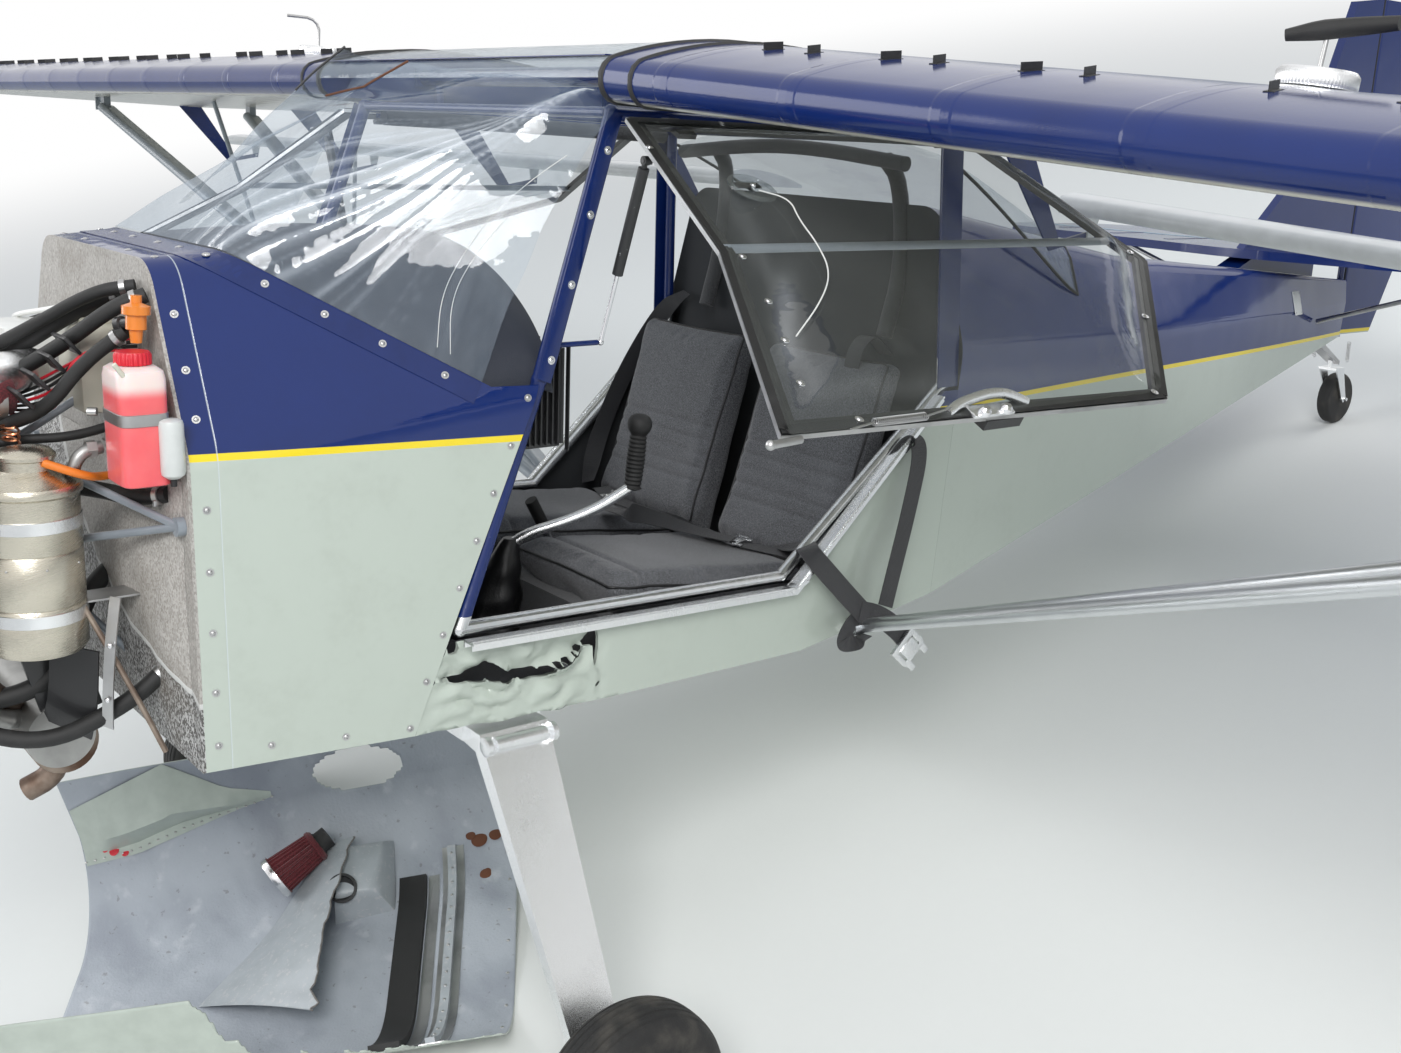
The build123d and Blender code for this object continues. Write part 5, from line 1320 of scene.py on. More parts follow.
        latch.tube([(s * (lx - 0.006), 0.405, 0.166), (s * (lx - 0.006), 0.46, 0.17)], 0.0055, "steel", 10)
        latch.ball((s * (lx - 0.006), 0.405, 0.166), 0.007, "steel")
        latch.piece(f"door_latch_{side}", f"door_{side}", "bare_alloy", place=turn)
        spots = []
        places = [(0.722, 0.955), (0.672, 0.603), (0.625, 0.472), (0.58, 0.371), (0.532, 0.271),
            (0.576, 0.188), (1.215, 0.17)]
        places += [(1.43, 0.375), (1.628, 0.585), (1.622, 0.9), (1.45, 1.048), (0.95, 1.056)]
        level_turn = door_turn(s)
        for y, z in places:
            p = level_turn @ Vector((s * (DOOR_FACE + 0.0028 + bubble(y, z)[0]), y, z))
            spots.append((p, level_turn.to_3x3() @ Vector((s, 0, 0))))
        screws(f"door_screws_{side}", spots, f"door_{side}", 0.0046)


# ---- Seats ----

SEAT_X, SEAT_W = 0.25, 0.44
CUSHION_LINE = ((0.8, 0.215), (1.395, 0.13))
BACK_LINE = ((1.397, 0.13), (1.565, 0.62))


def pad_mesh(corners, half, inset, rings):
    """A rounded pad: its side view's corners and its half width, drawn in before it swells."""
    bm = bmesh.new()
    middle = Vector((0, sum(c[0] for c in corners) / 4, sum(c[1] for c in corners) / 4))
    inner = []
    for y, z in corners:
        p = Vector((0, y, z))
        way = middle - p
        inner.append(p + Vector((0, math.copysign(inset, way.y), math.copysign(inset, way.z))))
    verts = [bm.verts.new((x, p.y, p.z)) for x in (-half + inset, half - inset) for p in inner]
    bm.faces.new(verts[:4])
    bm.faces.new(verts[:3:-1])
    for i in range(4):
        j = (i + 1) % 4
        bm.faces.new((verts[i], verts[i + 4], verts[j + 4], verts[j]))
    bmesh.ops.recalc_face_normals(bm, faces=bm.faces)
    bmesh.ops.bevel(bm, geom=bm.edges[:], offset=rings, segments=4, affect="EDGES", profile=0.5)
    mesh = bpy.data.meshes.new("pad")
    bm.to_mesh(mesh)
    bm.free()
    return mesh


def swollen(mesh, cap, voxel=0.008):
    """The pad blown up by cloth simulation, no point moving further than the cap."""
    pad = bpy.data.objects.new("pad_cloth", mesh)
    bpy.context.scene.collection.objects.link(pad)
    remesh = pad.modifiers.new("remesh", "REMESH")
    remesh.mode, remesh.voxel_size = "VOXEL", voxel
    data = bpy.data.meshes.new_from_object(pad.evaluated_get(bpy.context.evaluated_depsgraph_get()))
    pad.modifiers.clear()
    pad.data = data
    start = np.array([v.co for v in data.vertices])
    cloth = pad.modifiers.new("cloth", "CLOTH")
    cloth.settings.use_pressure = True
    cloth.settings.uniform_pressure_force = 4.0
    cloth.settings.quality = 4
    cloth.settings.mass = 0.4
    cloth.settings.effector_weights.gravity = 0.0
    cloth.collision_settings.use_collision = False
    scene = bpy.context.scene
    for number in range(1, 21):
        scene.frame_set(number)
    held = pad.evaluated_get(bpy.context.evaluated_depsgraph_get())
    moved = np.array([v.co for v in held.data.vertices])
    pad.modifiers.clear()
    scene.frame_set(1)
    shift = moved - start
    length = np.linalg.norm(shift, axis=1, keepdims=True)
    start = start + shift * np.minimum(1.0, cap / np.maximum(length, 1e-9))
    data.vertices.foreach_set("co", start.ravel())
    final = data.copy()
    bpy.data.objects.remove(pad)
    return final


def make_seats():
    """Two cushions and two backs in grey cloth, with sewn channels and dark piping."""
    (fy, fz), (hy, hz) = CUSHION_LINE
    cushion = pad_mesh([(fy, fz), (hy, hz), (hy, hz - 0.085), (fy + 0.02, fz - 0.085)], SEAT_W / 2, 0.013,
        0.028)
    cushion = swollen(cushion, 0.02)
    points = np.array([v.co for v in cushion.vertices])
    top = points[:, 2] > np.interp(points[:, 1], [fy, hy], [fz, hz]) - 0.04
    points[:, 2] -= top * 0.01 * np.exp(-((points[:, 1] - fy - 0.115) / 0.006) ** 2)
    points[:, 2] -= top * 0.012 * np.exp(-(points[:, 0] / 0.12) ** 2 - ((points[:, 1] - 1.2) / 0.15) ** 2)
    cushion.vertices.foreach_set("co", points.ravel())
    (by, bz), (ty, tz) = BACK_LINE
    back = pad_mesh([(by, bz), (ty, tz), (ty + 0.07, tz - 0.01), (by + 0.072, bz - 0.085)], SEAT_W / 2,
        0.012, 0.022)
    back = swollen(back, 0.014)
    points = np.array([v.co for v in back.vertices])
    along = Vector((0, ty - by, tz - bz)).normalized()
    out = Vector((0, -along.z, along.y))
    rise = (points[:, 1] - by) * along.y + (points[:, 2] - bz) * along.z
    front = ((points[:, 1] - by) * out.y + (points[:, 2] - bz) * out.z) > -0.03
    for at in (0.115, 0.15, 0.185, 0.22, 0.255):
        dip = front * 0.006 * np.exp(-((rise - at) / 0.005) ** 2)
        points -= dip[:, None] * np.array(out)
    back.vertices.foreach_set("co", points.ravel())
    parts = {"seat_cushion": cushion, "seat_back": back}
    for label, base in parts.items():
        for side, s in SIDES:
            mesh = base.copy()
            mesh.transform(TO_ROW @ Matrix.Translation((s * SEAT_X, 0, 0)))
            mesh.materials.clear()
            mesh.materials.append(finish("seat_cloth"))
            made = settled(mesh, f"{label}_{side}_cloth", "airframe", (f"{label}_{side}",),
                80)
            smooth = made.modifiers.new("smooth", "SUBSURF")
            smooth.levels = smooth.render_levels = 1
            piping(label, side, s, made)


def piping(label, side, s, pad):
    """Dark piping sewn along the front outline of a pad, laid on its swollen surface."""
    (fy, fz), (hy, hz) = CUSHION_LINE if label == "seat_cushion" else BACK_LINE
    half = SEAT_W / 2 - 0.012
    steps = 14
    tree = BVHTree.FromPolygons([TO_LEVEL @ v.co for v in pad.data.vertices],
        [tuple(p.vertices) for p in pad.data.polygons])
    loop = []
    for a, b in (((-half, fy, fz), (half, fy, fz)), ((half, fy, fz), (half, hy, hz)),
            ((half, hy, hz), (-half, hy, hz)), ((-half, hy, hz), (-half, fy, fz))):
        for i in range(steps):
            t = i / steps
            loop.append(Vector(a).lerp(Vector(b), t) + Vector((s * SEAT_X, 0, 0)))
    laid = []
    for p in loop:
        where, normal, _, _ = tree.find_nearest(p)
        laid.append(where + normal * 0.0008)
    cord_form = Form()
    cord_form.tube(laid + laid[:2], 0.003, "black_plastic", 8, 1)
    cord_form.piece(f"{label}_{side}_piping", "airframe", "seat_cloth")


# ---- Harness ----

def buckle(form, centre, along, face, size=1.0):
    """A pressed metal buckle with a slot and a latch plate, its flat side turned to face."""
    ahead = Vector(along).normalized()
    out = (Vector(face) - ahead * ahead.dot(Vector(face))).normalized()
    place = Matrix.Translation(centre) @ Matrix((out, ahead.cross(out), ahead)).transposed().to_4x4()
    for offset, dims in (((0, 0, 0.0), (0.008, 0.062, 0.012)), ((0, 0, 0.038), (0.006, 0.058, 0.01)),
            ((0, 0.026, 0.019), (0.007, 0.01, 0.036)), ((0, -0.026, 0.019), (0.007, 0.01, 0.036)),
            ((0.004, 0, 0.022), (0.004, 0.034, 0.034)), ((0, 0.02, 0.052), (0.005, 0.012, 0.02)),
            ((0, -0.02, 0.052), (0.005, 0.012, 0.02))):
        bm = bmesh.new()
        bmesh.ops.create_cube(bm, size=1.0)
        bmesh.ops.scale(bm, vec=[d * size for d in dims], verts=bm.verts)
        bmesh.ops.bevel(bm, geom=bm.edges[:], offset=0.0012, segments=2, affect="EDGES", profile=0.5)
        form.take(bm, place @ Matrix.Translation([c * size for c in offset]), "polished_alloy")


def make_harness():
    """Black belts: over the sill and down the side, across the cushions and at each seat's outer edge."""
    belts, metal = Form(), Form()
    wide = bpy.context.scene.microlight_trim.belt_width
    belts.strap([(0.4, 1.5, 0.2), (0.49, 1.49, 0.3), (0.535, 1.545, 0.455), (0.556, 1.575, 0.435),
        (0.562, 1.54, 0.29), (0.566, 1.5, 0.15), (0.574, 1.475, 0.085)], wide,
        across=((0, 1, 0), (0, 1, 0.3), (0, 0.8, -0.4), (0, 1, 0.2), (0, 1, 0.15), (0, 1, -0.1),
        (0, 1, -0.2)))
    belts.strap([(0.28, 1.42, 0.165), (0.42, 1.34, 0.2), (0.505, 1.29, 0.235), (0.545, 1.262, 0.235),
        (0.56, 1.3, 0.19), (0.566, 1.37, 0.12), (0.575, 1.42, 0.07)], wide,
        across=((0, 1, 0.2), (0, 1, 0.2), (0, 1, 0.2), (0, 1, 0.4), (0, 0.6, 0.8), (0, 0.75, 0.66),
        (0, 0.7, 0.7)))
    belts.strap([(0.572, 1.4, 0.085), (0.585, 1.44, 0.075), (0.587, 1.5, 0.035), (0.584, 1.545, -0.01)],
        wide * 1.02, across=((0, 0.5, 0.86), (0, 0.45, 0.9), (0, 0.5, 0.86), (0, 0.6, 0.8)), thick=0.004)
    belts.strap([(0.566, 1.415, 0.08), (0.566, 1.375, 0.055), (0.564, 1.358, 0.02), (0.562, 1.392, 0.01),
        (0.566, 1.43, 0.025)], wide * 0.9, across=(0, 0.8, 0.3))
    buckle(metal, (0.592, 1.52, -0.002), (0.02, 0.75, -0.66), (1, -0.35, 0.2), 1.25)
    metal.block((0.58, 1.435, 0.055), (0.006, 0.036, 0.026), "chrome", Matrix.Rotation(0.5, 4, "X"), 0.002)
    for s in (1, -1):
        top = Vector((s * 0.34, 1.6, 0.66))
        if s > 0:
            belts.strap([(0.34, 1.66, 0.6), top, (0.35, 1.535, 0.6), (0.4, 1.5, 0.42), (0.43, 1.475, 0.26),
                (0.42, 1.44, 0.17)], wide, across=(1, 0, 0))
        else:
            belts.strap([(-0.44, 1.68, 0.66), (-0.462, 1.62, 0.62), (-0.478, 1.5, 0.44),
                (-0.482, 1.42, 0.26), (-0.44, 1.37, 0.17)], wide, across=((1, 0, 0), (0.5, 0.8, 0),
                (0.2, 1, 0), (0.3, 1, 0), (1, 0, 0)))
        belts.strap([(s * 0.02, 1.4, 0.12), (s * 0.06, 1.34, 0.165), (s * 0.17, 1.3, 0.176),
            (s * 0.29, 1.33, 0.172), (s * 0.4, 1.38, 0.168), (s * 0.45, 1.42, 0.13)], wide,
            across=((0.3, 1, 0), (0.1, 1, 0), (0, 1, 0), (0, 1, 0), (0, 1, 0), (-0.3, 1, 0)))
        buckle(metal, (s * 0.23, 1.315, 0.181), (s, 0.05, 0), (0, -0.2, 1), 0.8)
    belts.strap([(-0.1, 1.2, 0.195), (0.02, 1.13, 0.225), (0.07, 1.19, 0.215), (0.17, 1.26, 0.19),
        (0.25, 1.3, 0.185)], wide, across=((0.4, 1, 0), (0.5, 0.8, 0.1), (0.6, 0.8, 0), (0.3, 1, 0),
        (0.1, 1, 0)))
    belts.piece("harness_belts", "airframe", "seat_cloth", angle=60)
    metal.piece("harness_buckles", "airframe", "steel")


# ---- Cabin ----

STICK_PATH = ((0.1, 0.725, 0.07), (0.12, 0.768, 0.225), (0.2, 0.926, 0.277), (0.222, 1.033, 0.335))
GRIP_TOP = (0.222, 1.048, 0.47)


def make_controls():
    """The stick: polished tube, ribbed black grip with its knob, and a folded hide boot."""
    stick = Form()
    stick.tube(STICK_PATH, 0.0115, "polished_alloy", 16, 3)
    foot, top = Vector(STICK_PATH[-1]), Vector(GRIP_TOP)
    up = (top - foot).normalized()
    profile = [(0.0115, -0.006), (0.021, -0.002)]
    length = (top - foot).length - 0.018
    ribs = 13
    for i in range(ribs * 4 + 1):
        t = i / (ribs * 4)
        swell = 0.0175 + 0.0022 * math.sin(math.pi * t)
        profile.append((swell + 0.0013 * math.cos(2 * math.pi * i / 4), t * length))
    profile += [(0.021, length + 0.002), (0.0245, length + 0.008), (0.027, length + 0.018),
        (0.026, length + 0.028), (0.02, length + 0.037), (0.01, length + 0.042), (0.0001, length + 0.043)]
    stick.lathe(foot - up * 0.002, up, profile, "black_rubber", 28)
    boot_rings = []
    base, peak = Vector((0.1, 0.733, 0.01)), Vector((0.128, 0.784, 0.231))
    for j in range(19):
        t = j / 18
        centre = base.lerp(peak, t ** 0.85)
        r = 0.06 * (1 - t) ** 0.8 + 0.0145 + 0.006 * math.sin(t * 21) * (1 - t)
        ring = []
        for i in range(30):
            a = 2 * math.pi * i / 30
            rumple = noise.noise(Vector((math.cos(a) * 2, math.sin(a) * 2, t * 5)))
            pleat = 1 + 0.1 * math.sin(5 * a + t * 5) * (1 - t) + 0.1 * rumple
            ring.append(centre + Vector((math.cos(a) * r * pleat, math.sin(a) * r * pleat, 0)))
        boot_rings.append(ring)
    stick.skin(boot_rings, "black_hide")
    stick.tube([peak + Vector((math.cos(a) * 0.0155, math.sin(a) * 0.0155, -0.008)) for a in np.linspace(0,
        6.28, 20)], 0.002, "black_plastic", 6)
    stick.piece("control_stick_dressed", "airframe", "panel_grey", ("control_stick",))


def make_cabin():
    """Instruments, radio box, floor mats, foam-wrapped tubes, flap lever and a carpeted block between the seats.
    """
    cabin = Form()
    face_y = 0.566
    for x, z, r in ((-0.25, 0.76, 0.042), (-0.13, 0.77, 0.042), (0, 0.775, 0.052), (0.13, 0.77, 0.042),
            (0.25, 0.76, 0.042), (-0.19, 0.66, 0.03), (0.19, 0.66, 0.03)):
        cabin.lathe((x, face_y - 0.001, z), (0, 1, 0), [(r, 0), (r + 0.002, 0.004), (r - 0.003, 0.006),
            (r - 0.006, 0.0025), (0.0001, 0.0025)], "black_plastic", 36)
        cabin.block((x, face_y + 0.003, z + r * 0.28), (0.0018, 0.001, r * 0.62), "white_plastic",
            Matrix.Rotation(0.0, 4, "Y"))
        for k in range(12):
            a = math.pi * k / 6
            centre = Vector((x + math.cos(a) * r * 0.74, face_y + 0.0022, z + math.sin(a) * r * 0.74))
            cabin.block(centre, (0.0016, 0.0008, r * 0.14), "white_plastic",
                Matrix.Rotation(math.pi / 2 - a, 4, "Y"))
    x0, x1, y0, y1, z0, z1 = 0.37, 0.46, 0.56, 0.69, 0.5, 0.69
    for k in range(9):
        x = x0 + 0.006 + k * (x1 - x0 - 0.012) / 8
        cabin.block((x, y1 + 0.004, (z0 + z1) / 2), (0.003, 0.01, z1 - z0 - 0.01), "black_anodised", None,
            0.001)
        y = y0 + 0.02 + k * 0.0125
        cabin.block((x1 + 0.003, y, (z0 + z1) / 2), (0.008, 0.0035, z1 - z0 - 0.014), "black_anodised",
            None, 0.001)
    for x in (x0 - 0.004, x1 + 0.01):
        cabin.block((x, y1 + 0.007, (z0 + z1) / 2), (0.012, 0.003, z1 - z0 + 0.012), "black_anodised",
            None, 0.001)
    mats = ((0.03, 0.46, 0.385, 0.79), (-0.46, -0.03, 0.385, 0.79))
    for a, b, c, d in mats:
        cabin.block(((a + b) / 2, (c + d) / 2, 0.0125), (b - a, d - c, 0.006), "carpet", None, 0.002)
    for s in (1, -1):
        cabin.tube([(s * 0.3, 1.655, 1.04), (s * 0.31, 1.7, 0.99), (s * 0.33, 1.705, 0.8),
            (s * 0.33, 1.66, 0.64)], 0.019, "foam_wrap", 14, 2)
    cabin.tube([(-0.4, 1.62, 1.03), (-0.1, 1.61, 1.055), (0.12, 1.61, 1.055), (0.4, 1.62, 1.03)], 0.017,
        "foam_wrap", 14, 2)
    cabin.tube([(-0.46, 0.8, 1.085), (-0.46, 1.2, 1.077), (-0.46, 1.6, 1.066)], 0.018, "foam_wrap", 14)
    cabin.block((0.0, 1.15, 0.062), (0.052, 0.5, 0.1), "carpet", None, 0.012)
    cabin.tube([(0.0, 1.0, 0.11), (0.0, 0.93, 0.24)], 0.009, "polished_alloy", 12)
    cabin.tube([(0.0, 0.945, 0.215), (0.0, 0.915, 0.27)], 0.0145, "black_rubber", 14)
    for s in (1, -1):
        cabin.block((s * 0.16, 0.54, 0.6), (0.028, 0.02, 0.028), "black_plastic", None, 0.003)
        cabin.tube([(s * 0.16, 0.568, 0.6), (s * 0.16, 0.6, 0.6)], 0.004, "chrome", 10)
        cabin.ball((s * 0.16, 0.604, 0.6), 0.01, "red_plastic" if s > 0 else "black_plastic")
    cabin.piece("cabin_fittings", "airframe", "panel_grey")
    hood = Form()
    arc = [math.radians(-86 + 172 * i / 60) for i in range(61)]
    rim = [Vector((0.512 * math.sin(a), 0.634, 0.6 + 0.27 * math.cos(a))) for a in arc]
    rings = []
    for t in np.linspace(0, 1, 9):
        ring = []
        for a, end in zip(arc, rim):
            foot, lean = screen_base(math.degrees(a), 0.028)
            p = (foot - lean * 0.014).lerp(end, float(t))
            ring.append(p + Vector((0, 0, 0.022 * math.sin(math.pi * t) * math.cos(a))))
        rings.append(ring)
    rings.append([p + Vector((0, 0.004, -0.005)) for p in rim])
    rings.append([Vector((p.x * 0.97, p.y - 0.01, 0.6 + (p.z - 0.6) * 0.96)) for p in rim])
    rings.append([Vector((p.x * 0.96, 0.572, 0.6 + (p.z - 0.6) * 0.95)) for p in rim])
    hood.skin(rings, "hood_skin", closed=False)
    plate = [Vector((p.x * 0.955, 0.562, 0.6 + (p.z - 0.6) * 0.945)) for p in rim] + [Vector((0.487, 0.562,
        0.562)), Vector((-0.487, 0.562, 0.562))]
    hood.skin([plate, [p - Vector((0, 0.018, 0)) for p in plate]], "hood_skin")
    hood.block((0.415, 0.625, 0.595), (0.088, 0.128, 0.188), "black_anodised", None, 0.003)
    hood.piece("panel_and_hood", "airframe", "panel_grey", ("instrument_panel",), angle=50)


# ---- Engine bay ----

def make_bottle():
    """The coolant bottle with its knurled red cap, strap and neck."""
    bottle = Form()
    x, y, z = 0.372, -0.062, 0.5
    w, d, h = 0.106, 0.078, 0.19
    rings = []
    for t, k in ((0.0, 0.93), (0.012, 1.0), (0.5, 1.0), (0.52, 0.985), (0.56, 0.985), (0.58, 1.0),
            (0.9, 1.0), (0.965, 0.94), (1.0, 0.72)):
        ring = []
        for i in range(40):
            a = 2 * math.pi * i / 40
            c, s = math.cos(a), math.sin(a)
            ring.append(Vector((x + math.copysign(abs(c) ** 0.38, c) * w / 2 * k,
                y + math.copysign(abs(s) ** 0.38, s) * d / 2 * k, z + h * t)))
        rings.append(ring)
    bottle.skin(rings, "coolant_in_bottle")
    cap = []
    for zz, r in ((0.0, 0.024), (0.001, 0.029), (0.016, 0.029), (0.021, 0.026), (0.022, 0.0001)):
        ring = []
        for i in range(96):
            a = 2 * math.pi * i / 96
            rr = r - (0.0018 if i % 4 < 2 and 0.0005 < zz < 0.018 else 0)
            ring.append(Vector((x + rr * math.cos(a), y + rr * math.sin(a), z + h + zz)))
        cap.append(ring)
    bottle.skin(cap, "red_plastic")
    band = []
    for zz in (0.098, 0.099, 0.117, 0.118):
        grow = 0.0018 if zz in (0.099, 0.117) else 0.0004
        ring = []
        for i in range(40):
            a = 2 * math.pi * i / 40
            c, s = math.cos(a), math.sin(a)
            ring.append(Vector((x + math.copysign(abs(c) ** 0.38, c) * (w / 2 + grow) * 0.99,
                y + math.copysign(abs(s) ** 0.38, s) * (d / 2 + grow) * 0.99, z + zz)))
        band.append(ring)
    bottle.skin(band, "steel", caps=False)
    bottle.tube([(x - w / 2 - 0.004, y - d / 2 - 0.004, z + 0.108),
        (x - w / 2 - 0.012, y - d / 2 - 0.016, z + 0.108)], 0.007, "steel", 10)
    bottle.tube([(x + 0.045, y - 0.03, z + h - 0.01), (x + 0.05, y - 0.045, z + h + 0.01)], 0.004,
        "cream_plastic", 8)
    bottle.tube([(0.372, -0.03, 0.56), (0.372, -0.0065, 0.56)], 0.012, "steel", 10)
    bottle.piece("coolant_bottle_dressed", "airframe", "bottle_plastic", ("coolant_bottle",))


def make_oil_tank():
    """The stainless oil tank with rolled lid, bands and its filler cap."""
    tank = Form()
    x, y, z = 0.262, -0.205, 0.205
    r = 0.078
    profile = [(0.0001, 0.0), (0.06, 0.002), (r - 0.006, 0.006), (r, 0.016), (r, 0.085),
        (r - 0.002, 0.088), (r, 0.091), (r, 0.175), (r - 0.002, 0.178), (r, 0.181), (r, 0.27),
        (r + 0.005, 0.274), (r + 0.006, 0.282), (r + 0.003, 0.288), (r - 0.006, 0.292), (0.05, 0.305),
        (0.046, 0.308)]
    profile += [(0.043, 0.311), (0.043, 0.326), (0.046, 0.328), (0.046, 0.334), (0.038, 0.342),
        (0.015, 0.346), (0.0001, 0.346)]
    tank.lathe((x, y, z), (0, 0, 1), profile, "stainless", 64)
    for zz, name in ((0.06, "polished_alloy"), (0.215, "polished_alloy")):
        tank.lathe((x, y, z + zz), (0, 0, 1), [(r + 0.0002, 0), (r + 0.0018, 0.001), (r + 0.0018, 0.021),
            (r + 0.0002, 0.022)], name, 64)
    for a in range(8):
        t = math.pi * a / 4
        tank.ball((x + (r + 0.001) * math.cos(t), y + (r + 0.001) * math.sin(t), z + 0.158), 0.0022,
            "steel")
    tank.tube([(x + 0.03, y + 0.06, z + 0.3), (x + 0.034, y + 0.075, z + 0.335),
        (x + 0.03, y + 0.11, z + 0.34)], 0.011, "cast_alloy", 12, 2)
    tank.lathe((x + 0.03, y + 0.085, z + 0.338), (0, 1, 0), [(0.0001, 0), (0.015, 0), (0.015, 0.016),
        (0.0001, 0.016)], "cast_alloy", 6)
    tank.block((x, y + r + 0.05, z + 0.08), (0.06, 0.24, 0.004), "steel", None, 0.001)
    tank.piece("oil_tank_dressed", "airframe", "engine_alloy", ("oil_tank",))


def hose(form, points, radius=0.011, name="black_rubber", clamp=True):
    """A hose with a clamp near each end."""
    form.tube(points, radius, name, 12, 3)
    if clamp:
        for a, b in ((points[0], points[1]), (points[-1], points[-2])):
            a, b = Vector(a), Vector(b)
            way = (b - a).normalized()
            start = a + way * 0.014
            form.lathe(start, way, [(radius + 0.0002, 0), (radius + 0.0022, 0.001),
                (radius + 0.0022, 0.01), (radius + 0.0002, 0.011)], "steel", 20)
            form.block(start + way * 0.005 + way.orthogonal().normalized() * (radius + 0.004),
                (0.008, 0.008, 0.01), "steel", None, 0.001)


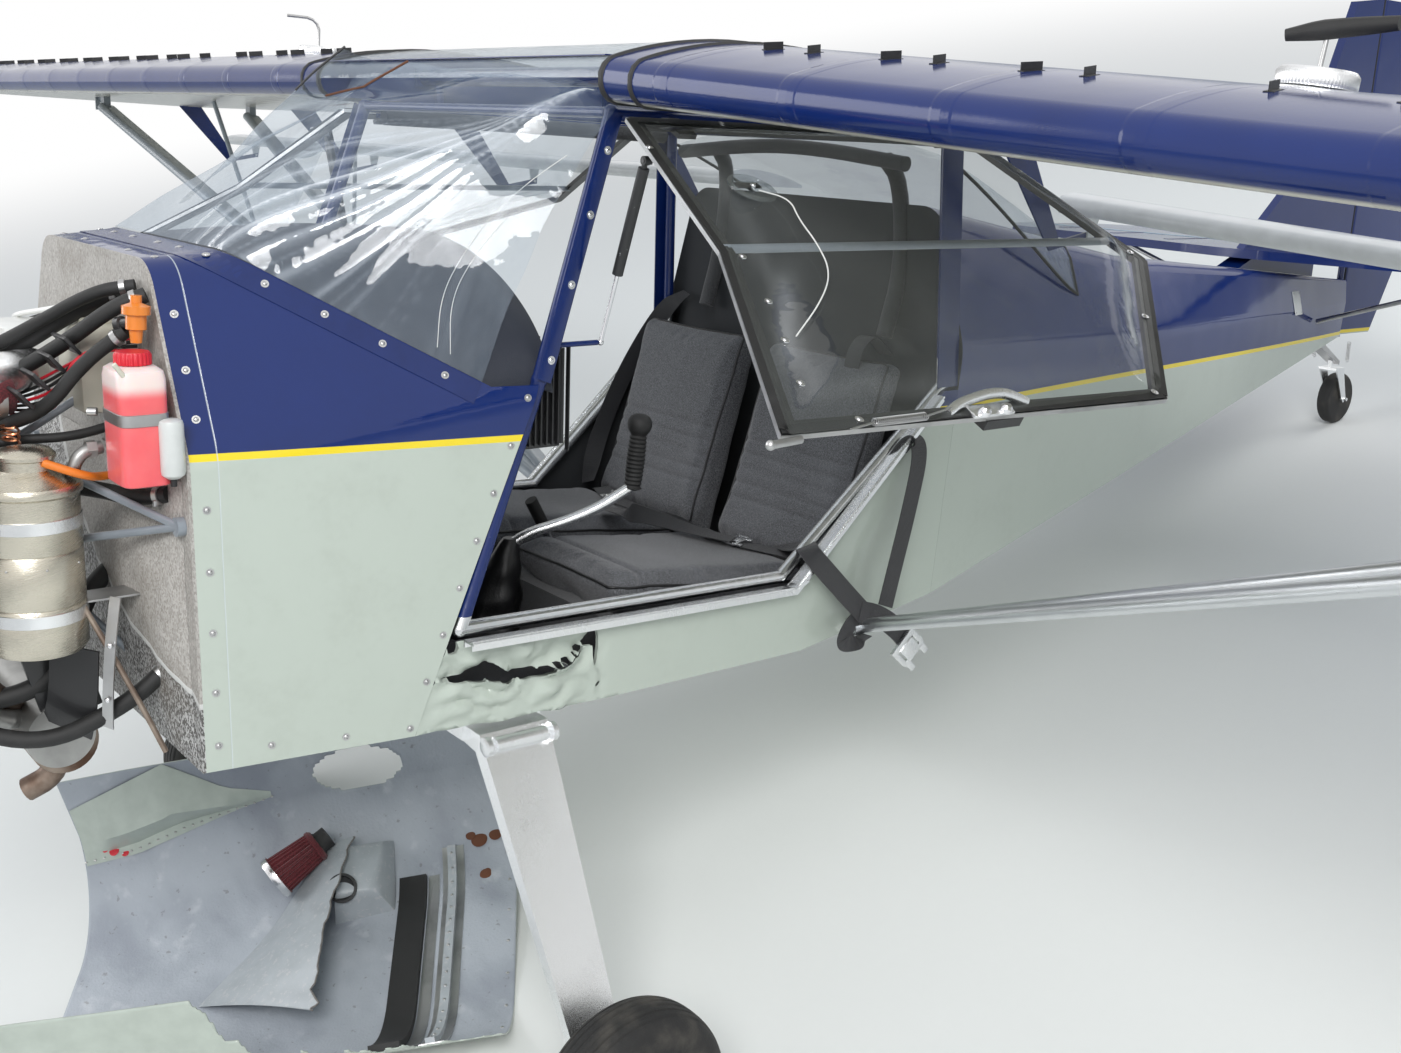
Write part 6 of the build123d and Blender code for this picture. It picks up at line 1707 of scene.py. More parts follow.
def make_engine_bay():
    """Hoses, wires, boxes, filters and brackets between the firewall and the engine."""
    bay = Form()
    hose(bay, [(0.3, -0.012, 0.79), (0.28, -0.06, 0.77), (0.2, -0.12, 0.7), (0.1, -0.22, 0.62),
        (0.04, -0.3, 0.58)], 0.013)
    hose(bay, [(0.25, -0.012, 0.8), (0.22, -0.07, 0.79), (0.12, -0.15, 0.72), (0.05, -0.24, 0.66),
        (0.02, -0.32, 0.6)], 0.011)
    hose(bay, [(0.19, -0.012, 0.78), (0.17, -0.08, 0.76), (0.07, -0.16, 0.68), (-0.04, -0.26, 0.62)], 0.016)
    hose(bay, [(0.31, -0.05, 0.735), (0.27, -0.11, 0.68), (0.23, -0.16, 0.6), (0.14, -0.22, 0.56),
        (0.06, -0.3, 0.56)], 0.012)
    hose(bay, [(0.31, -0.01, 0.6), (0.3, -0.06, 0.585), (0.22, -0.12, 0.55), (0.17, -0.2, 0.545),
        (0.11, -0.3, 0.52)], 0.008)
    hose(bay, [(0.36, -0.012, 0.47), (0.3, -0.05, 0.455), (0.22, -0.09, 0.46), (0.14, -0.2, 0.47)], 0.014)
    hose(bay, [(0.24, -0.012, 0.49), (0.27, -0.09, 0.49), (0.32, -0.13, 0.505), (0.3, -0.19, 0.53)], 0.007,
        "orange_hose", False)
    hose(bay, [(0.1, -0.012, 0.3), (0.16, -0.1, 0.26), (0.2, -0.16, 0.12), (0.14, -0.3, 0.08)], 0.017)
    hose(bay, [(0.32, -0.012, 0.16), (0.31, -0.08, 0.1), (0.24, -0.22, 0.02), (0.16, -0.37, 0.1)], 0.015)
    hose(bay, [(-0.2, -0.012, 0.7), (-0.18, -0.1, 0.68), (-0.1, -0.22, 0.6), (-0.08, -0.34, 0.56)], 0.012)
    hose(bay, [(-0.34, -0.012, 0.6), (-0.32, -0.09, 0.58), (-0.26, -0.22, 0.52), (-0.2, -0.33, 0.5)], 0.01)
    hose(bay, [(-0.05, -0.012, 0.74), (-0.06, -0.05, 0.73), (-0.22, -0.1, 0.7), (-0.36, -0.02, 0.66)],
        0.005, "white_plastic", False)
    for k in range(7):
        bay.tube([(0.28 - 0.006 * k, -0.014, 0.745 - 0.009 * k), (0.24, -0.07 - 0.008 * k, 0.7),
            (0.15 + 0.01 * k, -0.14, 0.64 - 0.012 * k), (0.03, -0.22 - 0.01 * k, 0.57 + 0.006 * k)],
            0.0028, "black_rubber" if k % 3 else "red_plastic", 6, 3)
    for x in (0.225, 0.19):
        for k in range(4):
            bay.block((x, -0.115 - k * 0.026, 0.705 - k * 0.028), (0.038, 0.006, 0.036), "black_plastic",
                Matrix.Rotation(0.7, 4, "X"), 0.001)
    coil = [(0.2 + 0.028 * math.cos(a), -0.21 + 0.012 * math.sin(a),
        0.545 + 0.0016 * a) for a in np.linspace(0, 2 * math.pi * 3, 60)]
    bay.tube(coil, 0.0022, "copper", 6)
    bay.block((0.13, -0.055, 0.655), (0.13, 0.075, 0.15), "cream_plastic", None, 0.012)
    bay.block((0.13, -0.055, 0.735), (0.1, 0.05, 0.012), "cream_plastic", None, 0.004)
    bay.block((-0.13, -0.085, 0.672), (0.15, 0.12, 0.055), "white_plastic", None, 0.008)
    for k in range(5):
        bay.block((-0.185 + k * 0.028, -0.147, 0.672), (0.006, 0.006, 0.05), "white_plastic", None, 0.001)
    bay.lathe((0.332, -0.04, 0.758), (0, 0.05, 1), [(0.0001, -0.04), (0.009, -0.04), (0.011, -0.02),
        (0.0165, -0.018), (0.0165, 0.004), (0.0225, 0.006), (0.0225, 0.019), (0.017, 0.021),
        (0.009, 0.024), (0.009, 0.036), (0.0001, 0.036)], "orange_anodised", 28)
    bay.lathe((0.332, -0.04, 0.752), (-0.8, -0.4, -0.2), [(0.0001, 0.0), (0.01, 0.0), (0.01, 0.028),
        (0.013, 0.03), (0.013, 0.04), (0.0001, 0.04)], "black_anodised", 20)
    bay.lathe((0.1, -0.135, 0.65), (0.45, -0.85, 0.02), [(0.0001, 0.0), (0.03, 0.0), (0.034, 0.005),
        (0.034, 0.13), (0.03, 0.136), (0.012, 0.138), (0.012, 0.15), (0.0001, 0.15)], "polished_alloy", 32)
    bay.lathe((0.428, -0.026, 0.512), (0, 0, 1), [(0.0001, 0.0), (0.01, 0.0), (0.018, 0.006),
        (0.0195, 0.012), (0.0195, 0.088), (0.0175, 0.094), (0.01, 0.097), (0.0001, 0.097)], "pale_plate",
        24)
    bay.lathe((0.428, -0.026, 0.499), (0, 0, 1), [(0.0001, 0.0), (0.005, 0.0), (0.006, 0.014),
        (0.0001, 0.014)], "black_plastic", 12)
    bay.block((0.19, -0.16, 0.135), (0.012, 0.1, 0.17), "black_anodised", Matrix.Rotation(0.25, 4, "X"),
        0.002)
    strap = [(0.335, -0.1, 0.3), (0.34, -0.115, 0.22), (0.325, -0.12, 0.12), (0.3, -0.115, 0.06)]
    bay.strap(strap, 0.02, "steel", 0.003, across=(0.8, 0.6, 0), smooth=2)
    for p in (strap[1], strap[2]):
        bay.ball(Vector(p) + Vector((0.003, -0.002, 0)), 0.005, "chrome", 0.6, (0.6, -0.8, 0))
    bay.strap([(0.22, -0.16, 0.04), (0.25, -0.155, 0.1), (0.26, -0.15, 0.2)], 0.09, "black_anodised",
        0.004, across=(0.75, 0.66, 0), smooth=1)
    bay.tube([(0.3, -0.15, 0.3), (0.33, -0.11, 0.2), (0.35, -0.07, 0.1), (0.36, -0.04, 0.02)], 0.005,
        "exhaust_pipe", 8, 2)
    for s in (1, -1):
        bay.tube([(s * 0.21, -0.352, 0.365), (s * 0.21, -0.352, 0.26), (s * 0.19, -0.3, 0.16),
            (s * 0.12, -0.22, 0.06), (s * 0.04, -0.17, 0.02)], 0.0175, "exhaust_pipe", 14, 3)
        bay.tube([(s * 0.21, -0.52, 0.365), (s * 0.21, -0.52, 0.24), (s * 0.19, -0.42, 0.1),
            (s * 0.12, -0.26, 0.03), (s * 0.05, -0.18, 0.0)], 0.0175, "exhaust_pipe", 14, 3)
    bay.lathe((-0.22, -0.155, 0.0), (1, 0, 0), [(0.0001, 0), (0.04, 0.0), (0.055, 0.006), (0.058, 0.014),
        (0.058, 0.4), (0.055, 0.408), (0.04, 0.414), (0.0001, 0.414)], "exhaust_pipe", 32)
    bay.tube([(0.14, -0.155, -0.03), (0.14, -0.17, -0.075), (0.12, -0.21, -0.1)], 0.022, "exhaust_pipe",
        14, 2)
    bay.piece("engine_bay_fittings", "airframe", "engine_alloy")
    pad = Form()
    rows = []
    for y, z, w in ((-0.0065, 0.5, 0.41), (-0.03, 0.44, 0.405), (-0.055, 0.34, 0.4), (-0.052, 0.22, 0.405),
            (-0.035, 0.1, 0.41), (-0.02, 0.02, 0.42)):
        ring = []
        for i in range(33):
            c = -1 + 2 * i / 32
            bumps = noise.noise(Vector((c * 6, z * 14, 1))) * 0.012
            edge = 1 - abs(c) ** 6
            ring.append(Vector((c * w, -0.0065 + (y + 0.0065 - bumps) * edge, z)))
        rows.append(ring)
    pad.skin(rows, "foil_padding", closed=False)
    pad.piece("firewall_padding", "airframe", "foil_pad", angle=70)


def make_engine():
    """A finned opposed engine round the CAD block: cylinders, covers, carburettors, plugs and gearbox."""
    parts = Form()
    for s in (1, -1):
        for y in (-0.352, -0.52):
            for k in range(12):
                x = 0.125 + k * 0.0085
                parts.lathe((s * x, y, 0.43), (s, 0, 0), [(0.0001, 0), (0.071, 0.0), (0.0715, 0.0012),
                    (0.071, 0.003), (0.0001, 0.003)], "cast_alloy", 32)
            parts.block((s * 0.262, y, 0.43), (0.056, 0.146, 0.142), "cast_alloy", None, 0.014)
            parts.block((s * 0.3, y, 0.452), (0.024, 0.12, 0.078), "black_steel", None, 0.01)
            for dz in (-0.03, 0.03):
                parts.lathe((s * 0.311, y + 0.045, 0.452 + dz), (s, 0, 0),
                    [(0.0001, 0), (0.006, 0), (0.006, 0.005), (0.0001, 0.005)], "chrome", 6)
            parts.tube([(s * 0.25, y, 0.5), (s * 0.25, y, 0.53), (s * 0.17, y + 0.03, 0.585),
                (s * 0.07, y + 0.03, 0.6)], 0.006, "red_plastic", 8, 2)
            parts.tube([(s * 0.2, y, 0.5), (s * 0.19, y + 0.01, 0.565), (s * 0.15, -0.3, 0.6)], 0.017,
                "cast_alloy", 14, 2)
        parts.lathe((s * 0.15, -0.3, 0.57), (0, 0.25, 1), [(0.0001, 0), (0.024, 0.0), (0.026, 0.006),
            (0.026, 0.05), (0.03, 0.055), (0.03, 0.075), (0.022, 0.095), (0.0001, 0.1)], "cast_alloy", 28)
        parts.lathe((s * 0.15, -0.27, 0.615), (0, 1, 0.05), [(0.0001, 0), (0.024, 0), (0.034, 0.012),
            (0.04, 0.02), (0.04, 0.03), (0.034, 0.075), (0.03, 0.08), (0.0001, 0.081)], "filter_red", 32)
    parts.block((0, -0.42, 0.585), (0.16, 0.24, 0.05), "black_plastic", None, 0.01)
    parts.lathe((0.0, -0.205, 0.46), (0, 1, 0), [(0.0001, 0), (0.075, 0.0), (0.078, 0.006), (0.078, 0.03),
        (0.05, 0.045), (0.0001, 0.05)], "cast_alloy", 36)
    for k in range(8):
        a = 2 * math.pi * k / 8
        parts.lathe((0.078 * math.cos(a), -0.752, 0.52 + 0.078 * math.sin(a)), (0, -1, 0),
            [(0.0001, 0), (0.006, 0), (0.006, 0.006), (0.0001, 0.006)], "steel", 6)
    for k in range(20):
        parts.block((-0.152 + k * 0.016, -0.424, 0.16), (0.003, 0.012, 0.186), "black_anodised", None)
    parts.piece("engine_details", "airframe", "engine_alloy")


# ---- Undercarriage ----

WHEEL_X, AXLE_PLACE, TYRE_R, TYRE_HALF, RIM_R = 0.922, (0.56, -0.58), 0.18, 0.065, 0.072


def make_wheels():
    """Ribbed tyres, rims with bolts and valve stems, brake discs, callipers and the leg fittings."""
    y, z = AXLE_PLACE
    for side, s in SIDES:
        foot = (s * WHEEL_X, y, z)
        tyre = Form()
        profile = []
        for i in range(97):
            a = math.pi * (-0.62 + 1.24 * i / 96)
            across = TYRE_HALF * 0.99 * math.copysign(abs(math.sin(a)) ** 0.8, math.sin(a))
            deep = (TYRE_R - 0.117) * math.copysign(abs(math.cos(a)) ** 0.62, math.cos(a))
            r = 0.117 + deep
            tread = min(abs(abs(across) - k) for k in (0.008, 0.023, 0.038))
            if tread < 0.0022 and r > 0.15:
                r -= 0.004
            profile.append((r, across))
        profile = [(RIM_R + 0.003, profile[0][1] * 0.86), *profile, (RIM_R + 0.003, profile[-1][1] * 0.86)]
        tyre.lathe(foot, (1, 0, 0), profile, "tyre_rubber", 96)
        tyre.piece(f"tyre_{side}_ribbed", f"wheel_{side}", "tyre_rubber", (f"tyre_{side}",), 50)
        rim = Form()
        for k in range(6):
            a = 2 * math.pi * k / 6
            spot = (foot[0] + s * 0.0125, y + 0.043 * math.cos(a), z + 0.043 * math.sin(a))
            rim.lathe(spot, (s, 0, 0), [(0.0001, 0), (0.0075, 0), (0.0075, 0.002), (0.0055, 0.002),
                (0.0055, 0.007), (0.0001, 0.007)], "steel", 6)
        rim.lathe((foot[0] + s * 0.055, y, z), (s, 0, 0), [(0.024, 0), (0.024, 0.004), (0.016, 0.011),
            (0.0001, 0.013)], "black_plastic", 28)
        rim.lathe((foot[0] - s * 0.0575, y, z), (s, 0, 0), [(0.034, 0), (0.06, 0), (0.06, -0.004),
            (0.034, -0.004), (0.034, 0)], "steel", 48)
        rim.tube([(foot[0] + s * 0.046, y + 0.055, z), (foot[0] + s * 0.062, y + 0.05, z)], 0.003,
            "black_rubber", 8)
        rim.piece(f"wheel_{side}_fittings", f"wheel_{side}", "bare_alloy")
        brake = Form()
        brake.block((s * 0.8595, y, z + 0.066), (0.022, 0.046, 0.026), "cast_alloy", None, 0.004)
        brake.block((s * 0.852, y, z + 0.045), (0.006, 0.04, 0.06), "steel", None, 0.001)
        brake.lathe((s * 0.535, y - 0.055, -0.033), (0, 1, 0), [(0.0001, 0), (0.015, 0), (0.015, 0.11),
            (0.0001, 0.11)], "polished_alloy", 24)
        for dy in (-0.066, 0.066):
            brake.lathe((s * 0.535, y + dy, -0.033), (0, math.copysign(1, dy), 0),
                [(0.0001, 0), (0.0185, 0), (0.0185, 0.01), (0.013, 0.012), (0.0001, 0.012)],
                "polished_alloy", 28)
        brake.piece(f"leg_fittings_{side}", "airframe", "bare_alloy")


# ---- Lower cowl on the floor ----

COWL_PLACE, COWL_HEADING, COWL_ROLL, COWL_LENGTH, COWL_SHOULDER = (0.18, -1.36025,
    0.01618), 34.0, 5.3, 1.03, 0.55
COWL_BIG, COWL_SMALL = (0.43, 0.355), (0.39, 0.37)


def cowl_turn():
    """From the cowl's own drawing to where it lies."""
    turn = Matrix.Rotation(math.radians(-COWL_HEADING), 4, "Z") @ Matrix.Rotation(math.radians(COWL_ROLL),
        4, "Y")
    return Matrix.Translation(COWL_PLACE) @ turn


def cowl_point(u, along, lift=0.0):
    """A point of the trough: u from the far rim, 0, to the near rim, 1, at a distance from the big end."""
    t = along / COWL_LENGTH
    half = COWL_BIG[0] + (COWL_SMALL[0] - COWL_BIG[0]) * t
    deep = COWL_BIG[1] + (COWL_SMALL[1] - COWL_BIG[1]) * t
    flat, rise = 0.35 * half, COWL_SHOULDER * deep
    r = ((half - flat) ** 2 + rise ** 2) / (2 * rise)
    turn = math.asin(min(1.0, (half - flat) / r))
    runs = (deep - rise, r * turn, 2 * flat, r * turn, deep - rise)
    at = u * sum(runs)
    if at < runs[0]:
        p, n = Vector((-half, 0, deep - at)), Vector((1, 0, 0))
    elif at < runs[0] + runs[1]:
        a = turn - (at - runs[0]) / r
        p, n = Vector((-flat - r * math.sin(a), 0, r * (1 - math.cos(a)))), Vector((math.sin(a), 0,
            math.cos(a)))
    elif at < sum(runs[:3]):
        p, n = Vector((-flat + at - runs[0] - runs[1], 0, 0)), Vector((0, 0, 1))
    elif at < sum(runs[:4]):
        a = (at - sum(runs[:3])) / r
        p, n = Vector((flat + r * math.sin(a), 0, r * (1 - math.cos(a)))), Vector((-math.sin(a), 0,
            math.cos(a)))
    else:
        p, n = Vector((half, 0, rise + at - sum(runs[:4]))), Vector((-1, 0, 0))
    return p + Vector((0, -along, 0)) + n * lift


def cowl_missing(u, along):
    """Whether the laminate is gone there: the oval in the far wall, the broken near wall, a torn nose."""
    if ((u - 0.085) / 0.045) ** 2 + ((along - 0.345) / 0.105) ** 2 < 1:
        return True
    ragged = 0.012 * math.sin(along * 70) + 0.01 * math.sin(along * 167 + 1)
    rim = float(np.interp(along, (0.0, 0.1, 0.3, 0.47, 0.56, 1.03), (0.8, 0.8, 0.83, 0.87, 1.01, 1.01)))
    return u > rim + ragged * (1 if along < 0.56 else 0)


def make_cowl():
    """The loose cowl: a laminate trough with its ducts, seals, rails, patches and a filter left in it."""
    columns, rows = 150, 150
    shell = bpy.data.meshes.new("lower_cowl_shell")
    bm = bmesh.new()
    grid = []
    for j in range(rows + 1):
        along = COWL_LENGTH * j / rows
        line = []
        for i in range(columns + 1):
            u = i / columns
            wave = noise.noise(Vector((u * 5, along * 4, 3.0))) * 0.004 * min(1,
                6 * min(along, COWL_LENGTH - along) + 0.2)
            line.append(bm.verts.new(cowl_point(u, along, 0.0015 + wave)))
        grid.append(line)
    for j in range(rows):
        for i in range(columns):
            if not cowl_missing((i + 0.5) / columns, COWL_LENGTH * (j + 0.5) / rows):
                bm.faces.new((grid[j][i], grid[j][i + 1], grid[j + 1][i + 1], grid[j + 1][i]))
    bmesh.ops.delete(bm, geom=[v for v in bm.verts if not v.link_faces], context="VERTS")
    bmesh.ops.smooth_vert(bm, verts=[v for v in bm.verts if v.is_boundary], factor=0.5, use_axis_x=True,
        use_axis_y=True, use_axis_z=True)
    bmesh.ops.recalc_face_normals(bm, faces=bm.faces)
    if sum(f.normal.z for f in bm.faces) < 0:
        bmesh.ops.reverse_faces(bm, faces=bm.faces)
    bm.to_mesh(shell)
    bm.free()
    shell.transform(cowl_turn())
    shell.materials.append(finish("cowl_inside"))
    shell.materials.append(finish("pale_enamel"))
    made = settled(shell, "lower_cowl_shell", "airframe", ("lower_cowl",), 60)
    wall = made.modifiers.new("wall", "SOLIDIFY")
    wall.thickness, wall.offset, wall.material_offset, wall.material_offset_rim = 0.0028, 0.0, 1, 1
    place = cowl_turn()
    fittings = Form()
    across = np.linspace(0.315, 0.79, 40)
    fittings.strap([cowl_point(u, 0.246, 0.012) for u in across], 0.064, "black_rubber", 0.014,
        across=(0, 1, 0), smooth=0)
    fittings.strap([cowl_point(u, 0.198, 0.004) for u in across], 0.026, "rail_alloy", 0.003,
        across=(0, 1, 0), smooth=0)
    across = np.linspace(0.265, 0.79, 40)
    fittings.strap([cowl_point(u, 0.15, 0.005) for u in across], 0.052, "rail_alloy", 0.003,
        across=(0, 1, 0), smooth=0)
    fittings.strap([cowl_point(u, 0.152, 0.011) for u in across], 0.02, "cowl_grey", 0.012,
        across=(0, 1, 0), smooth=0)
    for k in range(17):
        fittings.ball(cowl_point(0.28 + k * 0.031, 0.152, 0.0175), 0.0036, "steel", 0.5, (0, 0, 1))
    fairing = []
    for along in np.linspace(0.56, 1.025, 22):
        high = float(np.interp(along, (0.56, 0.66, 0.78, 1.025), (0.1, 0.075, 0.0, 0.065)))
        low = float(np.interp(along, (0.56, 0.7, 0.9, 1.025), (0.112, 0.138, 0.178, 0.185)))
        swell = 0.052 * float(np.interp(along, (0.6, 0.8, 0.96, 1.01), (0.0, 1.0, 0.7, 0.0)))
        wide = low - high
        fairing.append([cowl_point(high, along, 0.005), cowl_point(high + wide * 0.1, along,
            0.006 + swell * 0.25), cowl_point(high + wide * 0.55, along, 0.007 + swell),
            cowl_point(high + wide * 0.8, along, 0.006 + swell * 0.35),
            cowl_point(high + wide * 0.86, along, 0.0055), cowl_point(low, along, 0.005)])
        fittings.ball(cowl_point(low - wide * 0.06, along, 0.0068), 0.0032, "steel", 0.5, (0.5, 0, 1))
    fittings.skin(fairing, "pale_enamel", closed=False)
    for u, along, size in ((0.165, 0.955, 0.012), (0.172, 0.93, 0.009), (0.16, 0.975, 0.007)):
        fittings.ball(cowl_point(u, along, 0.0066), size, "red_plastic", 0.12, (0.6, 0, 1))
    for k in range(8):
        fittings.ball(cowl_point(0.2 + 0.075 * k, 0.018, 0.004), 0.004, "steel", 0.5)
        fittings.ball(cowl_point(0.01, 0.02 + 0.05 * k, 0.004), 0.004, "steel", 0.5, (1, 0, 0))
    box = [cowl_point(0.235, 0.44, 0.0), cowl_point(0.235, 0.29, 0.0), cowl_point(0.375, 0.29, 0.0),
        cowl_point(0.385, 0.43, 0.0)]
    tops = [box[0] + Vector((0.055, 0.01, 0.055)), box[1] + Vector((0.05, -0.01, 0.045)),
        box[2] + Vector((0.0, -0.03, 0.075)), box[3] + Vector((0.0, 0.02, 0.09))]
    rings = []
    for t in (0.0, 0.35, 0.7, 0.9, 1.0):
        ring = []
        for a, b, c, d in zip(box, tops, box[1:] + box[:1], tops[1:] + tops[:1]):
            for k in range(6):
                f = k / 6
                p = a.lerp(c, f).lerp(b.lerp(d, f), min(1.0, t * 1.02))
                middle = sum(tops, Vector()) / 4
                ring.append(p.lerp(middle, 0.1 if t == 1.0 else (0.03 if t == 0.9 else 0.0)))
        rings.append(ring)
    fittings.skin(rings, "cowl_grey")
    port = tops[3] * 0.62 + tops[0] * 0.16 + tops[2] * 0.22
    fittings.lathe(port + Vector((0.004, 0, -0.004)), (0.7, 0.12, 0.7),
        [(0.03, -0.012), (0.034, 0.0), (0.034, 0.01), (0.028, 0.012), (0.026, 0.002), (0.0001, -0.01)],
        "black_plastic", 36)
    flap = []
    base_line = [Vector(p) for p in ((-0.285, -0.465, 0.105), (-0.205, -0.535, 0.042),
        (-0.12, -0.605, 0.006), (-0.04, -0.665, 0.003), (0.04, -0.715, 0.003))]
    top_line = [Vector(p) for p in ((-0.3, -0.372, 0.13), (-0.14, -0.402, 0.112), (-0.02, -0.408, 0.118),
        (0.09, -0.412, 0.115), (0.21, -0.41, 0.095))]
    base_line, top_line = rounded(base_line, 3), rounded(top_line, 3)
    for i, (a, b) in enumerate(zip(base_line, top_line)):
        ragged = 1.0 + 0.09 * noise.noise(Vector((i * 0.33, 0, 0))) + 0.03 * noise.noise(Vector((i * 1.7,
            2, 0)))
        flap.append([a.lerp(b,
            t * ragged) + Vector((0, 0, 0.012 * math.sin(t * 3))) for t in np.linspace(0, 1, 9)])
    fittings.skin(flap, "cowl_grey", closed=False)
    edge_line = [ring[-1] for ring in flap]
    fittings.tube(edge_line, 0.0022, "charred_edge", 6, 0)
    foot, way = Vector((-0.222, -0.553, 0.112)), Vector((-0.46, 0.85, 0.28)).normalized()
    steps = 96
    cone = []
    for at, r in ((0.0, 0.05), (0.006, 0.052), (0.012, 0.05), (0.012, 0.047), (0.11, 0.037), (0.11, 0.04),
            (0.118, 0.04), (0.124, 0.034)):
        turn = way.to_track_quat("Z", "Y").to_matrix()
        ring = []
        for i in range(steps):
            a = 2 * math.pi * i / steps
            rr = r - (0.0045 if i % 4 < 2 and 0.011 < at < 0.1105 and r in (0.047, 0.037) else 0.0)
            ring.append(foot + turn @ Vector((rr * math.cos(a), rr * math.sin(a), at)))
        cone.append(ring)
    fittings.skin(cone, "filter_red")
    fittings.lathe(foot - way * 0.002, -way, [(0.0525, -0.012), (0.0535, 0.0), (0.051, 0.004),
        (0.022, 0.006), (0.0001, 0.006)], "chrome", 48)
    fittings.lathe(foot + way * 0.122, way, [(0.031, 0), (0.026, 0.006), (0.026, 0.03), (0.02, 0.031),
        (0.0001, 0.02)], "black_rubber", 32)
    for u, along, size in ((0.26, 0.085, 0.02), (0.255, 0.045, 0.016), (0.25, 0.105, 0.012),
            (0.33, 0.075, 0.014), (0.325, 0.07, 0.009)):
        fittings.ball(cowl_point(u, along, 0.0035), size, "rust", 0.16, (0.4, 0, 1))
    fittings.piece("lower_cowl_fittings", "airframe", "pale_cowl", angle=45, place=place)


# ---- Tail ----

def make_tail_trim():
    """Hinge gap seals, the blank plate, tail wheel springs and rib tapes of the tail."""
    trim = Form()
    for s in (1, -1):
        seal = []
        for x in np.linspace(0.14, 1.1, 12):
            p, _ = hit("fin", (s * x, 3.945, 1.2), (0, 0, -1))
            seal.append(p + Vector((0, 0, 0.0008)))
        trim.strap(seal, 0.022, "tape_pale", 0.0012, across=(0, 1, 0), smooth=0)
        for x in (0.35, 0.62, 0.9):
            line = []
            for y in np.linspace(3.62 + 0.22 * x, 3.93, 10):
                p, _ = hit("fin", (s * x, y, 1.2), (0, 0, -1))
                line.append(p + Vector((0, 0, 0.0006)))
            trim.strap(line, 0.02, "blue_tape", 0.001, across=(1, 0, 0), smooth=0)
    p, n = hit("aft_fuselage", (1.0, 3.72, 0.615), (-1, 0, 0))
    q, _ = hit("aft_fuselage", (1.0, 3.82, 0.615), (-1, 0, 0))
    along = (q - p).normalized()
    up = n.cross(along).normalized()
    turn = Matrix((along, up, n)).transposed().to_4x4()
    trim.block((p + q) / 2 + n * 0.0015, (0.062, 0.078, 0.0025), "pale_plate", turn, 0.001)
    for a in (-0.024, 0.024):
        for b in (-0.031, 0.031):
            trim.ball((p + q) / 2 + along * a + up * b + n * 0.0028, 0.003, "steel", 0.5, n)
    for s in (1, -1):
        coil = []
        start, end = Vector((s * 0.075, 4.235, 0.455)), Vector((s * 0.062, 4.262, 0.385))
        way = (end - start).normalized()
        one = way.orthogonal().normalized()
        two = way.cross(one)
        for i in range(12 * 10):
            a = 2 * math.pi * i / 10
            coil.append(start.lerp(end, i / 120) + (one * math.cos(a) + two * math.sin(a)) * 0.006)
        trim.tube(coil, 0.0011, "steel", 5)
    trim.piece("tail_trim", "airframe", "blue_cover")


# ---- Stage ----

CAMERA_LEVEL = (2.776, -0.833, 1.082)
CAMERA_TURN, CAMERA_DIP, CAMERA_ROLL, LENS = 38.88, 14.74, -2.32, 38.57


def make_camera():
    """The camera at the photograph's place, worked out in the level drawing."""
    a, e, r = (math.radians(v) for v in (CAMERA_TURN, CAMERA_DIP, CAMERA_ROLL))
    ahead = Vector((-math.cos(a) * math.cos(e), math.sin(a) * math.cos(e), -math.sin(e)))
    right = ahead.cross(Vector((0, 0, 1))).normalized()
    down = ahead.cross(right).normalized()
    across, low = right * math.cos(r) + down * math.sin(r), down * math.cos(r) - right * math.sin(r)
    turn = Matrix((across, -low, -ahead)).transposed().to_4x4()
    data = bpy.data.cameras.new("photo_camera")
    data.lens, data.sensor_width, data.clip_start, data.clip_end = LENS, 36.0, 0.05, 100.0
    camera = bpy.data.objects.new("photo_camera", data)
    camera.matrix_world = TO_ROW @ Matrix.Translation(CAMERA_LEVEL) @ turn
    bpy.context.scene.collection.objects.link(camera)
    bpy.context.scene.camera = camera


FLOOR_HALF, FLOOR_FADE = 90, (5.0, 19.0)


